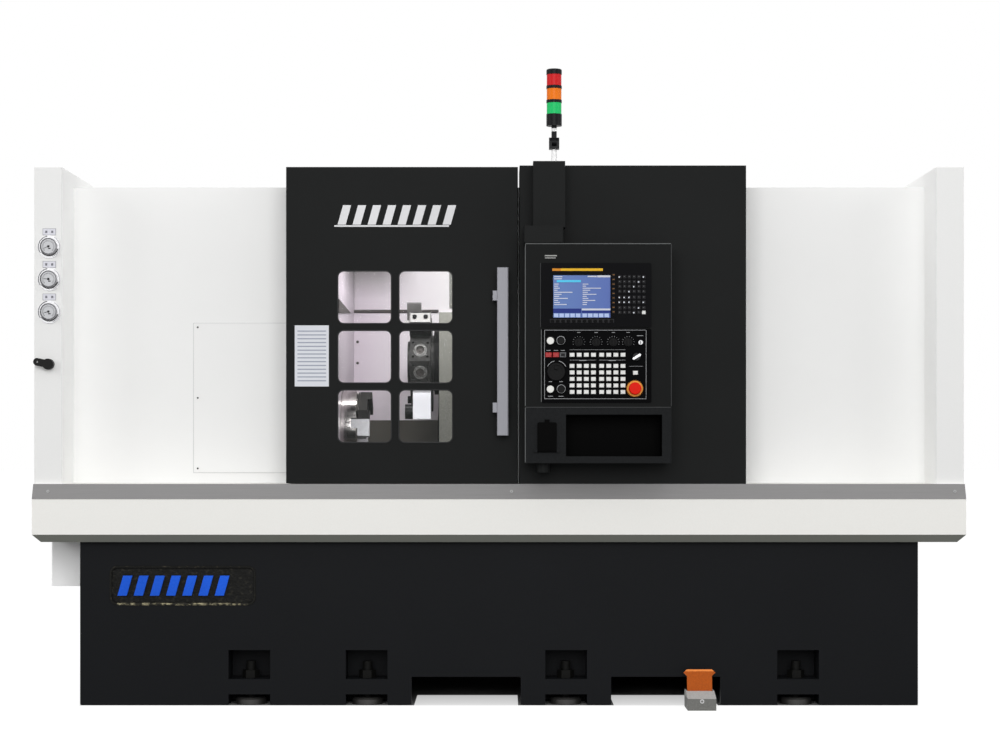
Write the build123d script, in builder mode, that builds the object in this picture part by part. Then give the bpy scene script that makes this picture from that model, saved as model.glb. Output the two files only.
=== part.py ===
"""Slant-bed CNC turning lathe in a closed sheet-metal enclosure.

+X runs along the spindle to the operator's right, +Y to the back and +Z up.
The origin is on the floor, under the middle of the machine. All lengths are in millimetres.
"""

import os
from math import cos, radians, sin, sqrt, tan

from build123d import *

os.makedirs("parts", exist_ok=True)

# Whole machine
LENGTH = 3440.0
FRONT_Y = -840.0
REAR_Y = 640.0
SHEET = 3.0
RUN_GAP = 0.4
CUT_OVERRUN = 5.0

# Cast base
BASE_END_INSET = 165.0
BASE_FRONT_INSET = 20.0
BASE_REAR_INSET = 40.0
BASE_BOTTOM = 3.0
BASE_TOP = 640.0
BASE_WALL = 30.0
BASE_CORNER = 8.0
FOOT_SHARES = (-0.5955, -0.3158, 0.1601, 0.7132)
POCKET_WIDTH = 155.0
POCKET_DEPTH = 130.0
POCKET_BOTTOM = 97.0
POCKET_TOP = 205.0
PAD_RECESS_TOP = 41.0
FORK_SHARES = (-0.0785, 0.3981)
FORK_WIDTH = 406.0
FORK_TOP = 106.0
NAME_RECESS_INSET = 382.0
NAME_RECESS_DROP = 196.0
NAME_RECESS_WIDTH = 534.0
NAME_RECESS_HEIGHT = 138.0
NAME_RECESS_RADIUS = 24.0
NAME_RECESS_DEPTH = 9.0

# Levelling feet
PAD_RADIUS = 58.0
PAD_HEIGHT = 26.0
PAD_CHAMFER = 7.0
STUD_RADIUS = 18.0
STUD_RISE = 62.0
NUT_FLATS = 55.0
NUT_HEIGHT = 29.0
STUD_CLEARANCE = 2.0

# Tray skirt and its stainless strip
SKIRT_OVERHANG = 40.0
SKIRT_LAP = 33.0
SKIRT_HEIGHT = 214.0
SKIRT_WALL = 4.0
SKIRT_BEVEL = 28.0
STRIP_RISE = 55.0
STRIP_LEAN = 26.0
STRIP_THICKNESS = 2.0
SKIRT_FLOOR_LAP = 48.0

# White enclosure
END_COVER_WIDTH = 104.0
COVER_HEIGHT = 1175.0
PANEL_DROP = 53.0
ROOF_DROP = 46.0
RECESS = 221.0
COVER_EDGE_RADIUS = 5.0
OPENING_LEFT_LAP = 83.0
OPENING_RIGHT_LAP = 6.0
HEADER_HEIGHT = 103.0
ACCESS_MARGIN = 25.0
ACCESS_WIDTH = 430.0
ACCESS_LIFT = 39.0
ACCESS_HEIGHT = 568.0
BAR_ENTRY_RADIUS = 52.0

# Sliding door
DOOR_SETOFF = 932.0
DOOR_WIDTH = 858.0
DOOR_FLOOR_GAP = 3.0
DOOR_TOP_DROP = 2.0
DOOR_PANEL_GAP = 21.0
DOOR_EDGE_RADIUS = 4.0
WINDOW_WIDTH = 198.0
WINDOW_HEIGHT = 194.0
WINDOW_RADIUS = 22.0
WINDOW_PITCH_X = 226.5
WINDOW_PITCH_Z = 220.0
WINDOW_OFFSET = 25.0
WINDOW_LIFT = 468.0
GLASS_THICKNESS = 10.0
GLASS_LAP = 28.0
HANDLE_INSET = 56.0
HANDLE_LIFT = 485.5
HANDLE_LENGTH = 617.0
HANDLE_WIDTH = 42.0
HANDLE_THICKNESS = 20.0
HANDLE_REACH = 58.0
HANDLE_BRACKET_SPAN = 412.0
HANDLE_BRACKET_HEIGHT = 36.0
HANDLE_BRACKET_LAP = 16.0
HANDLE_EDGE_RADIUS = 5.0
RAIL_SETBACK = 31.0
RAIL_WIDTH = 28.0
RAIL_HEIGHT = 30.0
RAIL_MARGIN = 12.0
CARRIAGE_LENGTH = 110.0
CARRIAGE_WALL = 9.0
CARRIAGE_DROP = 20.0
CARRIAGE_INSET = 119.0

# Black control cover
DOOR_SIDE_GAP = 6.0
CONTROL_WIDTH = 838.0
CONTROL_PROUD = 5.0
CONTROL_TOP_RISE = 3.0
CONTROL_EDGE_RADIUS = 4.0

# Pendant arm and pivots
PIVOT_INSET = 68.0
PIVOT_REACH = 100.0
ARM_LEFT_REACH = 37.0
ARM_WIDTH = 117.0
ARM_TOP_RISE = 5.0
ARM_DEPTH = 92.0
BRACKET_LEFT_REACH = 71.0
BRACKET_WIDTH = 143.0
BRACKET_HEIGHT = 62.0
BRACKET_GAP = 3.0
BRACKET_FRONT_REACH = 55.0
PIVOT_RADIUS = 20.0
PIVOT_LENGTH = 42.0
PIVOT_CLEARANCE = 0.06
ARM_EDGE_RADIUS = 4.0
LOWER_PIVOT_HEIGHT = 34.0
LOWER_PIVOT_WIDTH = 46.0

# Pendant case and storage box
PENDANT_SETOFF = 18.0
PENDANT_WIDTH = 532.0
PENDANT_FRONT_REACH = 60.0
PENDANT_DEPTH = 118.0
PENDANT_EDGE_RADIUS = 5.0
STORAGE_LIFT = 79.0
STORAGE_HEIGHT = 201.0
STORAGE_GAP = 3.0
STORAGE_WALL = 12.0
POCKET_LEFT_INSET = 150.0
POCKET_RIGHT_INSET = 36.0
POCKET_MARGIN = 26.0
POCKET_BACK_WALL = 14.0
JOINING_BAR_WIDTH = 60.0

# Screen and key unit
UNIT_OFFSET = 8.0
UNIT_WIDTH = 400.0
UNIT_GAP = 6.0
DISPLAY_HEIGHT = 232.0
DISPLAY_MARGIN = 72.0
UNIT_THICKNESS = 7.0
UNIT_CORNER = 6.0
SCREEN_OFFSET = 52.0
SCREEN_DROP = 5.0
SCREEN_WIDTH = 207.0
SCREEN_HEIGHT = 154.0
SCREEN_RECESS = 3.0
SCREEN_THICKNESS = 1.6
SOFT_KEY_COUNT = 12
SOFT_KEY_PITCH = 19.4
SOFT_KEY_WIDTH = 13.0
SOFT_KEY_HEIGHT = 9.0
SOFT_KEY_DROP = 13.0
SIDE_KEY_COUNT = 9
SIDE_KEY_PITCH = 17.4
SIDE_KEY_OFFSET = 13.0
KEY_RISE = 2.2
TYPE_KEY_COLUMNS = 6
TYPE_KEY_ROWS = 8
TYPE_KEY_PITCH = 17.2
TYPE_KEY_SIZE = 13.6
TYPE_KEY_OFFSET = 128.0
TYPE_KEY_LIFT = 4.0

# Operator plate and what it carries, each placed from the plate's middle
PLATE_MARGIN = 15.0
PLATE_HEIGHT = 268.0
PLATE_THICKNESS = 5.0
KEY_LEFT_OFFSET = 87.0
KEY_PITCH_X = 25.9
KEY_GROUP_COLUMNS = 4
KEY_GROUPS = 2
KEY_GROUP_PITCH = 106.0
KEY_WIDTH = 18.0
KEY_HEIGHT = 14.5
KEY_HEAD_RISE = 5.0
KEY_EDGE = 1.2
TOP_ROW_LIFT = 39.0
KEY_ROWS = 5
KEY_ROW_PITCH = 23.5
KEY_BLOCK_DROP = 0.5
LAMP_COUNT = 3
LAMP_LEFT_OFFSET = 170.0
LAMP_PITCH = 25.0
LAMP_WIDTH = 22.0
LAMP_HEIGHT = 18.0
SPARE_KEY_OFFSET = 142.0
SPARE_KEY_DROP = 26.0
BUTTON_RADIUS = 13.0
BUTTON_RISE = 9.0
BUTTON_TRAVEL = 4.0
BUTTON_STEM_RADIUS = 6.0
BUTTON_STEM_LENGTH = 16.0
BUTTON_RING_RADIUS = 16.0
BUTTON_RING_RISE = 4.0
STEM_CLEARANCE = 0.1
BUTTON_LEFT_OFFSET = 166.0
BUTTON_PITCH = 39.0
UPPER_BUTTON_LIFT = 90.0
LOWER_BUTTON_DROP = 85.0
KNOB_SHARES = (-0.1575, 0.0, 0.155, 0.29)
KNOB_LIFT = 85.0
KNOB_RADIUS = 15.0
KNOB_RISE = 17.0
KNOB_GRIP_WIDTH = 9.0
KNOB_GRIP_LENGTH = 27.0
KNOB_SKIRT_RISE = 5.0
LEVER_OFFSET = 146.0
LEVER_LIFT = 32.0
LEVER_BASE_RADIUS = 14.0
LEVER_BASE_RISE = 12.0
LEVER_LENGTH = 34.0
LEVER_WIDTH = 9.0
LEVER_THICKNESS = 8.0
LEVER_ANGLE = 32.0
LOCK_OFFSET = 160.0
LOCK_LIFT = 84.0
LOCK_RADIUS = 9.5
LOCK_RISE = 6.0
STOP_OFFSET = 140.0
STOP_DROP = 83.0
STOP_COLLAR_RADIUS = 30.0
STOP_COLLAR_RISE = 9.0
STOP_NECK_RADIUS = 13.0
STOP_HEAD_RADIUS = 22.0
STOP_HEAD_RISE = 15.0
STOP_TRAVEL = 6.0
STOP_EDGE_RADIUS = 4.0
WHEEL_OFFSET = 145.0
WHEEL_DROP = 22.0
WHEEL_RADIUS = 32.0
WHEEL_RISE = 16.0
WHEEL_DISH = 5.0
WHEEL_RIM = 7.0
CRANK_OFFSET = 21.0
CRANK_RADIUS = 5.5
CRANK_RISE = 20.0

# Interface flap on the storage box
FLAP_INSET = 80.0
FLAP_LIFT = 44.0
FLAP_WIDTH = 70.0
FLAP_HEIGHT = 104.0
FLAP_THICKNESS = 7.0
FLAP_BARREL_RADIUS = 5.0
FLAP_EAR_WIDTH = 12.0
FLAP_PIN_RADIUS = 2.0
FLAP_TAB_WIDTH = 18.0
FLAP_TAB_HEIGHT = 10.0
FLAP_CORNER = 6.0

# Pressure gauges and latch lever on the left end cover
GAUGE_COUNT = 3
GAUGE_SETOFF = 4.5
GAUGE_DROP = 297.0
GAUGE_PITCH = 120.5
GAUGE_FLANGE_RADIUS = 42.5
GAUGE_FLANGE_THICKNESS = 5.0
GAUGE_CASE_RADIUS = 31.5
GAUGE_BEZEL_RISE = 12.0
GAUGE_BEZEL_WALL = 3.0
GAUGE_CASE_DEPTH = 34.0
GAUGE_CLEARANCE = 1.5
LATCH_OFFSET = -0.5
LATCH_DROP = 732.0
LATCH_BOSS_RADIUS = 20.0
LATCH_BOSS_RISE = 30.0
LATCH_ARM_LENGTH = 40.0
LATCH_ARM_RADIUS = 14.0
LATCH_ARM_THICKNESS = 13.0
LATCH_ARM_DEG = 12.0
LATCH_SHAFT_RADIUS = 8.0
LATCH_SHAFT_LENGTH = 24.0
LATCH_HOLE_RADIUS = 4.0

# Signal tower
TOWER_INSET = 130.0
TOWER_SETBACK = 95.0
POLE_RADIUS = 10.0
POLE_HEIGHT = 99.0
POLE_FLANGE_RADIUS = 32.0
POLE_FLANGE_HEIGHT = 8.0
FOLD_WIDTH = 38.0
FOLD_DEPTH = 34.0
FOLD_EAR_WIDTH = 10.0
FOLD_PIN_RADIUS = 5.0
FOLD_EAR_HEIGHT = 44.0
TOWER_RADIUS = 29.0
TOWER_STEM_RISE = 60.0
TOWER_BASE_HEIGHT = 44.0
LENS_COUNT = 3
LENS_HEIGHT = 42.0
LENS_WALL = 4.0
LENS_INSET = 1.5
RING_HEIGHT = 11.0
TOWER_CAP_HEIGHT = 20.0
TOWER_CORE_RADIUS = 11.0
TOWER_EDGE_RADIUS = 5.0

# Box under the tray and foot switch
SERVICE_WIDTH = 157.0
SERVICE_HEIGHT = 182.0
SERVICE_SETBACK = 260.0
SERVICE_LENGTH = 440.0
PEDAL_INSET = 176.0
PEDAL_WIDTH = 104.0
PEDAL_LENGTH = 145.0
PEDAL_BASE_HEIGHT = 63.0
PEDAL_NOSE_HEIGHT = 43.0
PEDAL_NOSE_LENGTH = 80.0
PEDAL_PIN_RADIUS = 5.0
PEDAL_PIN_Z = 36.0
PEDAL_PIN_SETBACK = 95.0
PEDAL_SIDE_WALL = 5.0
TREADLE_ANGLE = 78.0
TREADLE_LENGTH = 104.0
TREADLE_THICKNESS = 7.0
TREADLE_WAIST_WIDTH = 92.0
TREADLE_FLARE_WIDTH = 118.0
TREADLE_LIP = 12.0
TREADLE_HUB_RADIUS = 11.0

# Slant bed
SLANT_DEG = 45.0
SPINDLE_SETBACK = 540.0
SPINDLE_RISE = 209.0
BED_STANDOFF = 440.0
BED_END_INSET = 55.0
BED_SHELF = 58.0
BED_WALL = 36.0
GUIDE_TOE_GAP = 71.5
GUIDE_SPAN = 350.0
GUIDE_WIDTH = 46.0
GUIDE_HEIGHT = 40.0
GUIDE_CLEARANCE = 0.4

# Headstock, spindle and chuck
HEAD_INSET = 320.0
HEAD_LENGTH = 478.0
HEAD_RADIUS = 185.0
HEAD_TOE_GAP = 11.5
SPINDLE_RADIUS = 75.0
SPINDLE_CLEARANCE = 0.08
SPINDLE_TAIL = 60.0
NOSE_RADIUS = 105.0
NOSE_GAP = 2.0
NOSE_THICKNESS = 28.0
BAR_BORE_RADIUS = 40.0
CHUCK_RADIUS = 150.0
CHUCK_BORE_RADIUS = 42.0
CHUCK_LENGTH = 122.0
CHUCK_EDGE = 6.0
CHUCK_BAND_DEPTH = 4.0
CHUCK_BAND_WIDTH = 14.0
JAW_COUNT = 3
JAW_FIRST_DEG = 172.0
JAW_WIDTH = 40.0
TOP_JAW_WIDTH = 100.0
JAW_SLOT_DEPTH = 24.0
JAW_CLEARANCE = 0.4
JAW_INNER_RADIUS = 52.0
JAW_LENGTH = 92.0
JAW_RISE = 47.0
JAW_STEP_LENGTH = 36.0
JAW_STEP_RISE = 30.0

# Inner liner and chip pan
LINER_HEAD_GAP = 87.0
LINER_SETBACK = 660.0
LINER_LEDGE_DROP = 376.0
LINER_LEDGE = 16.0
LINER_END_GAP = 126.0
LINER_FRONT_GAP = 30.0
CHUCK_HOLE_RADIUS = 162.0
PAN_FRONT_RISE = 59.0
PAN_BEND_DROP = 41.0
PAN_FLOOR_THICKNESS = 15.0
PAN_FLOOR_REACH = 80.0
PAN_TOE_GAP = 14.0
PAN_SHEET = 4.0

# Saddle, cross slide and turret
TOOL_ROOM = 300.0
SADDLE_LENGTH = 460.0
SADDLE_LOW_LAP = 50.0
SADDLE_HIGH_LAP = 110.0
SADDLE_LIFT = 18.0
SADDLE_THICKNESS = 122.0
TURRET_U = 379.7
SLIDE_SPAN = 400.0
SLIDE_THICKNESS = 90.0
SLIDE_GAP = 0.5
FLANGE_OVERHANG = 12.0
FLANGE_RADIUS = 130.0
FLANGE_THICKNESS = 22.0
COLUMN_LENGTH = 338.0
COLUMN_DEPTH = 300.0
COLUMN_RISE = 196.0
COLUMN_DROP = 336.0
COLUMN_WALL = 25.0
STATION_COUNT = 12
DISC_INRADIUS = 174.0
DISC_THICKNESS = 82.0
DISC_BOSS_RADIUS = 110.0
DISC_BOSS_RISE = 11.0
DISC_CAP_RADIUS = 86.0
DISC_CAP_RISE = 14.0
STATION_BORE_RADIUS = 27.5
STATION_BORE_DEPTH = 38.0
STATION_BOLT_RADIUS = 5.0
STATION_BOLT_DEPTH = 16.0
STATION_BOLT_SPAN = 58.0
HOLDER_STATIONS = (2, 6, 8, 3, 11)
HOLDER_RISE = 72.0
HOLDER_WIDTH = 74.0
HOLDER_LENGTH = 86.0
HOLDER_EDGE = 4.0
TOOL_WIDTH = 22.0
TOOL_REACH = 20.0
TOOL_PLATE_LENGTH = 57.0
TOOL_PLATE_THICKNESS = 28.0
TOOL_PLATE_OFFSET = 28.0
LIVE_INSET = 15.0
LIVE_REACH = 200.0
LIVE_DEPTH = 72.0
LIVE_TOP_DROP = 126.0
LIVE_BOTTOM_DROP = 231.0
COLLET_DROP = 201.5
COLLET_RADIUS = 30.0
COLLET_REACH = 32.0
HOLDER_BOLT_RADIUS = 9.0
HOLDER_BOLT_RISE = 8.0
HOLDER_BOLT_SPAN = 44.0

# Electrical cabinet
CABINET_END_INSET = 540.0
CABINET_WIDTH = 1040.0
CABINET_DEPTH = 375.0
CABINET_DROP = 136.0
CABINET_PLINTH = 90.0
CABINET_PLINTH_SET = 24.0
CABINET_LIP = 26.0
CABINET_DOOR_THICKNESS = 22.0
CABINET_DOOR_GAP = 2.0
CABINET_DOOR_MARGIN = 6.0
HINGE_RADIUS = 8.0
HINGE_LENGTH = 90.0
HINGE_COUNT = 3
HINGE_PITCH = 640.0
HINGE_PIN_RADIUS = 4.0
CABINET_HANDLE_WIDTH = 26.0
CABINET_HANDLE_HEIGHT = 140.0
CABINET_HANDLE_RISE = 12.0
CABINET_HANDLE_INSET = 60.0

# Places along the machine, worked out from the sizes above
HALF_LENGTH = LENGTH / 2
BASE_LENGTH = LENGTH - 2 * BASE_END_INSET
BED_LENGTH = BASE_LENGTH - 2 * BED_END_INSET
FOOT_XS = [share * BASE_LENGTH / 2 for share in FOOT_SHARES]
FORK_XS = [share * BASE_LENGTH / 2 for share in FORK_SHARES]
NAME_RECESS_X = -BASE_LENGTH / 2 + NAME_RECESS_INSET
INNER_LEFT_X = -HALF_LENGTH + END_COVER_WIDTH
INNER_RIGHT_X = HALF_LENGTH - END_COVER_WIDTH
GAUGE_X = -HALF_LENGTH + END_COVER_WIDTH / 2 + GAUGE_SETOFF
LATCH_X = GAUGE_X + LATCH_OFFSET
DOOR_LEFT_X = -HALF_LENGTH + DOOR_SETOFF
DOOR_RIGHT_X = DOOR_LEFT_X + DOOR_WIDTH
OPENING_LEFT_X = DOOR_LEFT_X + OPENING_LEFT_LAP
OPENING_RIGHT_X = DOOR_RIGHT_X - OPENING_RIGHT_LAP
ACCESS_RIGHT_X = OPENING_LEFT_X - ACCESS_MARGIN
ACCESS_LEFT_X = ACCESS_RIGHT_X - ACCESS_WIDTH
WINDOW_CENTRE_X = (DOOR_LEFT_X + DOOR_RIGHT_X) / 2 - WINDOW_OFFSET
HANDLE_X = DOOR_RIGHT_X - HANDLE_INSET
CONTROL_LEFT_X = DOOR_RIGHT_X + DOOR_SIDE_GAP
CONTROL_RIGHT_X = CONTROL_LEFT_X + CONTROL_WIDTH
PENDANT_LEFT_X = CONTROL_LEFT_X + PENDANT_SETOFF
PENDANT_RIGHT_X = PENDANT_LEFT_X + PENDANT_WIDTH
PIVOT_X = PENDANT_LEFT_X + PIVOT_INSET
ARM_LEFT_X = PIVOT_X - ARM_LEFT_REACH
ARM_RIGHT_X = ARM_LEFT_X + ARM_WIDTH
BRACKET_LEFT_X = PIVOT_X - BRACKET_LEFT_REACH
BRACKET_RIGHT_X = BRACKET_LEFT_X + BRACKET_WIDTH
POCKET_LEFT_X = PENDANT_LEFT_X + POCKET_LEFT_INSET
POCKET_RIGHT_X = PENDANT_RIGHT_X - POCKET_RIGHT_INSET
FLAP_X = PENDANT_LEFT_X + FLAP_INSET
UNIT_X = (PENDANT_LEFT_X + PENDANT_RIGHT_X) / 2 - UNIT_OFFSET
SCREEN_X = UNIT_X - SCREEN_OFFSET
TYPE_KEY_X = UNIT_X + TYPE_KEY_OFFSET
KEY_LEFT_X = UNIT_X - KEY_LEFT_OFFSET
LAMP_XS = [UNIT_X - LAMP_LEFT_OFFSET + i * LAMP_PITCH for i in range(LAMP_COUNT)]
SPARE_KEY_X = UNIT_X + SPARE_KEY_OFFSET
LEFT_BUTTON_X = UNIT_X - BUTTON_LEFT_OFFSET
RIGHT_BUTTON_X = LEFT_BUTTON_X + BUTTON_PITCH
KNOB_XS = [UNIT_X + share * UNIT_WIDTH for share in KNOB_SHARES]
LEVER_X = UNIT_X + LEVER_OFFSET
LOCK_X = UNIT_X + LOCK_OFFSET
STOP_X = UNIT_X + STOP_OFFSET
WHEEL_X = UNIT_X - WHEEL_OFFSET
TOWER_X = CONTROL_LEFT_X + TOWER_INSET
PEDAL_X = CONTROL_RIGHT_X - PEDAL_INSET
HEAD_LEFT_X = -BED_LENGTH / 2 + HEAD_INSET
HEAD_RIGHT_X = HEAD_LEFT_X + HEAD_LENGTH
NOSE_LEFT_X = HEAD_RIGHT_X + NOSE_GAP
CHUCK_LEFT_X = NOSE_LEFT_X + NOSE_THICKNESS
CHUCK_FACE_X = CHUCK_LEFT_X + CHUCK_LENGTH
LINER_X = HEAD_RIGHT_X + LINER_HEAD_GAP
LINER_RIGHT_X = INNER_RIGHT_X - LINER_END_GAP
SADDLE_LEFT_X = CHUCK_FACE_X + TOOL_ROOM
FLANGE_LEFT_X = SADDLE_LEFT_X - FLANGE_OVERHANG
DISC_RIGHT_X = FLANGE_LEFT_X - DISC_BOSS_RISE - RUN_GAP
DISC_LEFT_X = DISC_RIGHT_X - DISC_THICKNESS
CABINET_RIGHT_X = HALF_LENGTH - CABINET_END_INSET
CABINET_LEFT_X = CABINET_RIGHT_X - CABINET_WIDTH

# Places from front to back
BASE_FRONT_Y = FRONT_Y + BASE_FRONT_INSET
BASE_REAR_Y = REAR_Y - BASE_REAR_INSET
SKIRT_FRONT_Y = FRONT_Y - SKIRT_OVERHANG
PANEL_FRONT_Y = FRONT_Y + RECESS
PANEL_BACK_Y = PANEL_FRONT_Y + SHEET
DOOR_DEPTH = RECESS - DOOR_PANEL_GAP
RAIL_Y = PANEL_BACK_Y + RAIL_SETBACK
CONTROL_FRONT_Y = FRONT_Y - CONTROL_PROUD
PIVOT_Y = CONTROL_FRONT_Y - PIVOT_REACH
BRACKET_FRONT_Y = PIVOT_Y - BRACKET_FRONT_REACH
PENDANT_FRONT_Y = PIVOT_Y - PENDANT_FRONT_REACH
PENDANT_BACK_Y = PENDANT_FRONT_Y + PENDANT_DEPTH
PLATE_FACE_Y = PENDANT_FRONT_Y - PLATE_THICKNESS
DISPLAY_FACE_Y = PENDANT_FRONT_Y - UNIT_THICKNESS
TOWER_Y = CONTROL_FRONT_Y + TOWER_SETBACK
SERVICE_FRONT_Y = BASE_FRONT_Y + SERVICE_SETBACK
SERVICE_REAR_Y = SERVICE_FRONT_Y + SERVICE_LENGTH
PEDAL_FRONT_Y = FRONT_Y - PEDAL_LENGTH
SPINDLE_Y = FRONT_Y + SPINDLE_SETBACK
LINER_Y = SPINDLE_Y + LINER_SETBACK
PAN_FLOOR_Y = SPINDLE_Y - PAN_FLOOR_REACH
CABINET_REAR_Y = REAR_Y + CABINET_DEPTH

# Heights
NAME_RECESS_Z = BASE_TOP - NAME_RECESS_DROP
SKIRT_BOTTOM = BASE_TOP - SKIRT_LAP
DECK_Z = SKIRT_BOTTOM + SKIRT_HEIGHT
COVER_TOP = DECK_Z + COVER_HEIGHT
PANEL_TOP = COVER_TOP - PANEL_DROP
ROOF_Z = PANEL_TOP - ROOF_DROP
HEADER_BOTTOM = PANEL_TOP - HEADER_HEIGHT
ACCESS_BOTTOM = DECK_Z + ACCESS_LIFT
ACCESS_TOP = ACCESS_BOTTOM + ACCESS_HEIGHT
DOOR_BOTTOM = DECK_Z + DOOR_FLOOR_GAP
DOOR_TOP = COVER_TOP - DOOR_TOP_DROP
WINDOW_CENTRE_Z = DOOR_BOTTOM + WINDOW_LIFT
HANDLE_Z = DOOR_BOTTOM + HANDLE_LIFT
CONTROL_TOP = COVER_TOP + CONTROL_TOP_RISE
ARM_TOP = CONTROL_TOP + ARM_TOP_RISE
STORAGE_BOTTOM = DECK_Z + STORAGE_LIFT
STORAGE_TOP = STORAGE_BOTTOM + STORAGE_HEIGHT
POCKET_LOW_Z = STORAGE_BOTTOM + POCKET_MARGIN
POCKET_HIGH_Z = STORAGE_TOP - POCKET_MARGIN
FLAP_HINGE_Z = STORAGE_BOTTOM + FLAP_LIFT
PENDANT_BOTTOM = STORAGE_TOP + STORAGE_GAP
PLATE_TOP = PENDANT_BOTTOM + PLATE_MARGIN + PLATE_HEIGHT
PLATE_Z = PLATE_TOP - PLATE_HEIGHT / 2
DISPLAY_Z = PLATE_TOP + UNIT_GAP + DISPLAY_HEIGHT / 2
PENDANT_TOP = DISPLAY_Z + DISPLAY_HEIGHT / 2 + DISPLAY_MARGIN
BRACKET_BOTTOM = PENDANT_TOP + BRACKET_GAP
BRACKET_TOP = BRACKET_BOTTOM + BRACKET_HEIGHT
SCREEN_Z = DISPLAY_Z - SCREEN_DROP
TYPE_KEY_Z = DISPLAY_Z + TYPE_KEY_LIFT
TOP_ROW_Z = PLATE_Z + TOP_ROW_LIFT
KEY_BLOCK_TOP_Z = PLATE_Z - KEY_BLOCK_DROP
SPARE_KEY_Z = PLATE_Z - SPARE_KEY_DROP
UPPER_BUTTON_Z = PLATE_Z + UPPER_BUTTON_LIFT
LOWER_BUTTON_Z = PLATE_Z - LOWER_BUTTON_DROP
KNOB_Z = PLATE_Z + KNOB_LIFT
LEVER_Z = PLATE_Z + LEVER_LIFT
LOCK_Z = PLATE_Z + LOCK_LIFT
STOP_Z = PLATE_Z - STOP_DROP
WHEEL_Z = PLATE_Z - WHEEL_DROP
GAUGE_ZS = [COVER_TOP - GAUGE_DROP - i * GAUGE_PITCH for i in range(GAUGE_COUNT)]
LATCH_Z = COVER_TOP - LATCH_DROP
FOLD_Z = CONTROL_TOP + POLE_HEIGHT
TOWER_STEM_TOP = FOLD_Z + TOWER_STEM_RISE
SERVICE_BOTTOM = SKIRT_BOTTOM - SERVICE_HEIGHT
SPINDLE_Z = DECK_Z + SPINDLE_RISE
LINER_LEDGE_Z = ROOF_Z - LINER_LEDGE_DROP
PAN_FRONT_TOP = DECK_Z + PAN_FRONT_RISE
PAN_BEND_Z = DECK_Z - PAN_BEND_DROP
PAN_FLOOR_Z = BASE_TOP + PAN_FLOOR_THICKNESS
CABINET_TOP = COVER_TOP - CABINET_DROP

# Places on the slanted bed: u runs up the slant and n stands off it, both from the spindle axis
SLANT_COS = cos(radians(SLANT_DEG))
SLANT_SIN = sin(radians(SLANT_DEG))
BED_PLANE_Y = SPINDLE_Y + BED_STANDOFF * SLANT_SIN
BED_PLANE_Z = SPINDLE_Z - BED_STANDOFF * SLANT_COS
BED_TOE_U = (BASE_TOP - BED_PLANE_Z) / SLANT_SIN
GUIDE_LOW_U = BED_TOE_U + GUIDE_TOE_GAP
GUIDE_HIGH_U = GUIDE_LOW_U + GUIDE_SPAN
HEAD_FOOT_LOW_U = BED_TOE_U + HEAD_TOE_GAP
SADDLE_LOW_U = GUIDE_LOW_U - SADDLE_LOW_LAP
SADDLE_HIGH_U = GUIDE_HIGH_U + SADDLE_HIGH_LAP
TURRET_Y = SPINDLE_Y + TURRET_U * SLANT_COS
TURRET_Z = SPINDLE_Z + TURRET_U * SLANT_SIN


def bed_height(y):
    """Height of the slanted bed face at a distance y from the middle of the machine."""
    return BED_PLANE_Z + (y - BED_PLANE_Y) * SLANT_SIN / SLANT_COS


def bed_place(z):
    """Distance y from the middle of the machine at which the slanted bed face is z high."""
    return BED_PLANE_Y + (z - BED_PLANE_Z) * SLANT_COS / SLANT_SIN


def front_plane(y):
    """Upright plane facing the operator: local x is +X, local y is +Z, and its normal is -Y."""
    return Plane(origin=(0, y, 0), x_dir=(1, 0, 0), z_dir=(0, -1, 0))


def side_plane(x):
    """Upright plane across the machine: local x is +Y, local y is +Z, and its normal is +X."""
    return Plane(origin=(x, 0, 0), x_dir=(0, 1, 0), z_dir=(1, 0, 0))


def slant_plane(x):
    """Plane across the spindle axis: local x runs up the slant, local y stands off the bed."""
    return Plane(
        origin=(x, SPINDLE_Y, SPINDLE_Z), x_dir=(0, SLANT_COS, SLANT_SIN), z_dir=(1, 0, 0)
    )


def station_plane(angle, x, radius):
    """Plane on a turret facet: its normal points straight out, and its local x is +X."""
    direction = (0, -cos(radians(angle)), sin(radians(angle)))
    origin = (x, TURRET_Y + radius * direction[1], TURRET_Z + radius * direction[2])
    return Plane(origin=origin, x_dir=(1, 0, 0), z_dir=direction)


def block(xs, ys, zs, mode=Mode.ADD):
    """A plain block between three pairs of limits, in the part that is being built."""
    centre = tuple((low + high) / 2 for low, high in (xs, ys, zs))
    size = tuple(high - low for low, high in (xs, ys, zs))
    with Locations(centre):
        Box(*size, mode=mode)


def profile(points):
    """A closed straight-sided outline, filled, in the sketch that is being built."""
    Polygon(*points, align=None)


def disc(plane, centre, radius, amount, mode=Mode.ADD):
    """A round boss or hole: a circle on a plane, extruded along the plane's normal."""
    with BuildSketch(plane) as outline:
        with Locations(centre):
            Circle(radius)
    extrude(outline.sketch, amount=amount, mode=mode)


def save(builder, name):
    """Labels a finished piece and writes it to its own file."""
    builder.part.label = name
    export_step(builder.part, f"parts/{name}.step")


# Cast base: an open-bottomed box with foot blocks, pockets to reach the levelling nuts, and two fork tunnels
BASE_XS = (-BASE_LENGTH / 2, BASE_LENGTH / 2)
FRONT_POCKET_YS = (BASE_FRONT_Y, BASE_FRONT_Y + POCKET_DEPTH)
REAR_POCKET_YS = (BASE_REAR_Y - POCKET_DEPTH, BASE_REAR_Y)
FOOT_YS = (sum(FRONT_POCKET_YS) / 2, sum(REAR_POCKET_YS) / 2)
FOOT_PLACES = [(x, y) for x in FOOT_XS for y in FOOT_YS]

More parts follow.
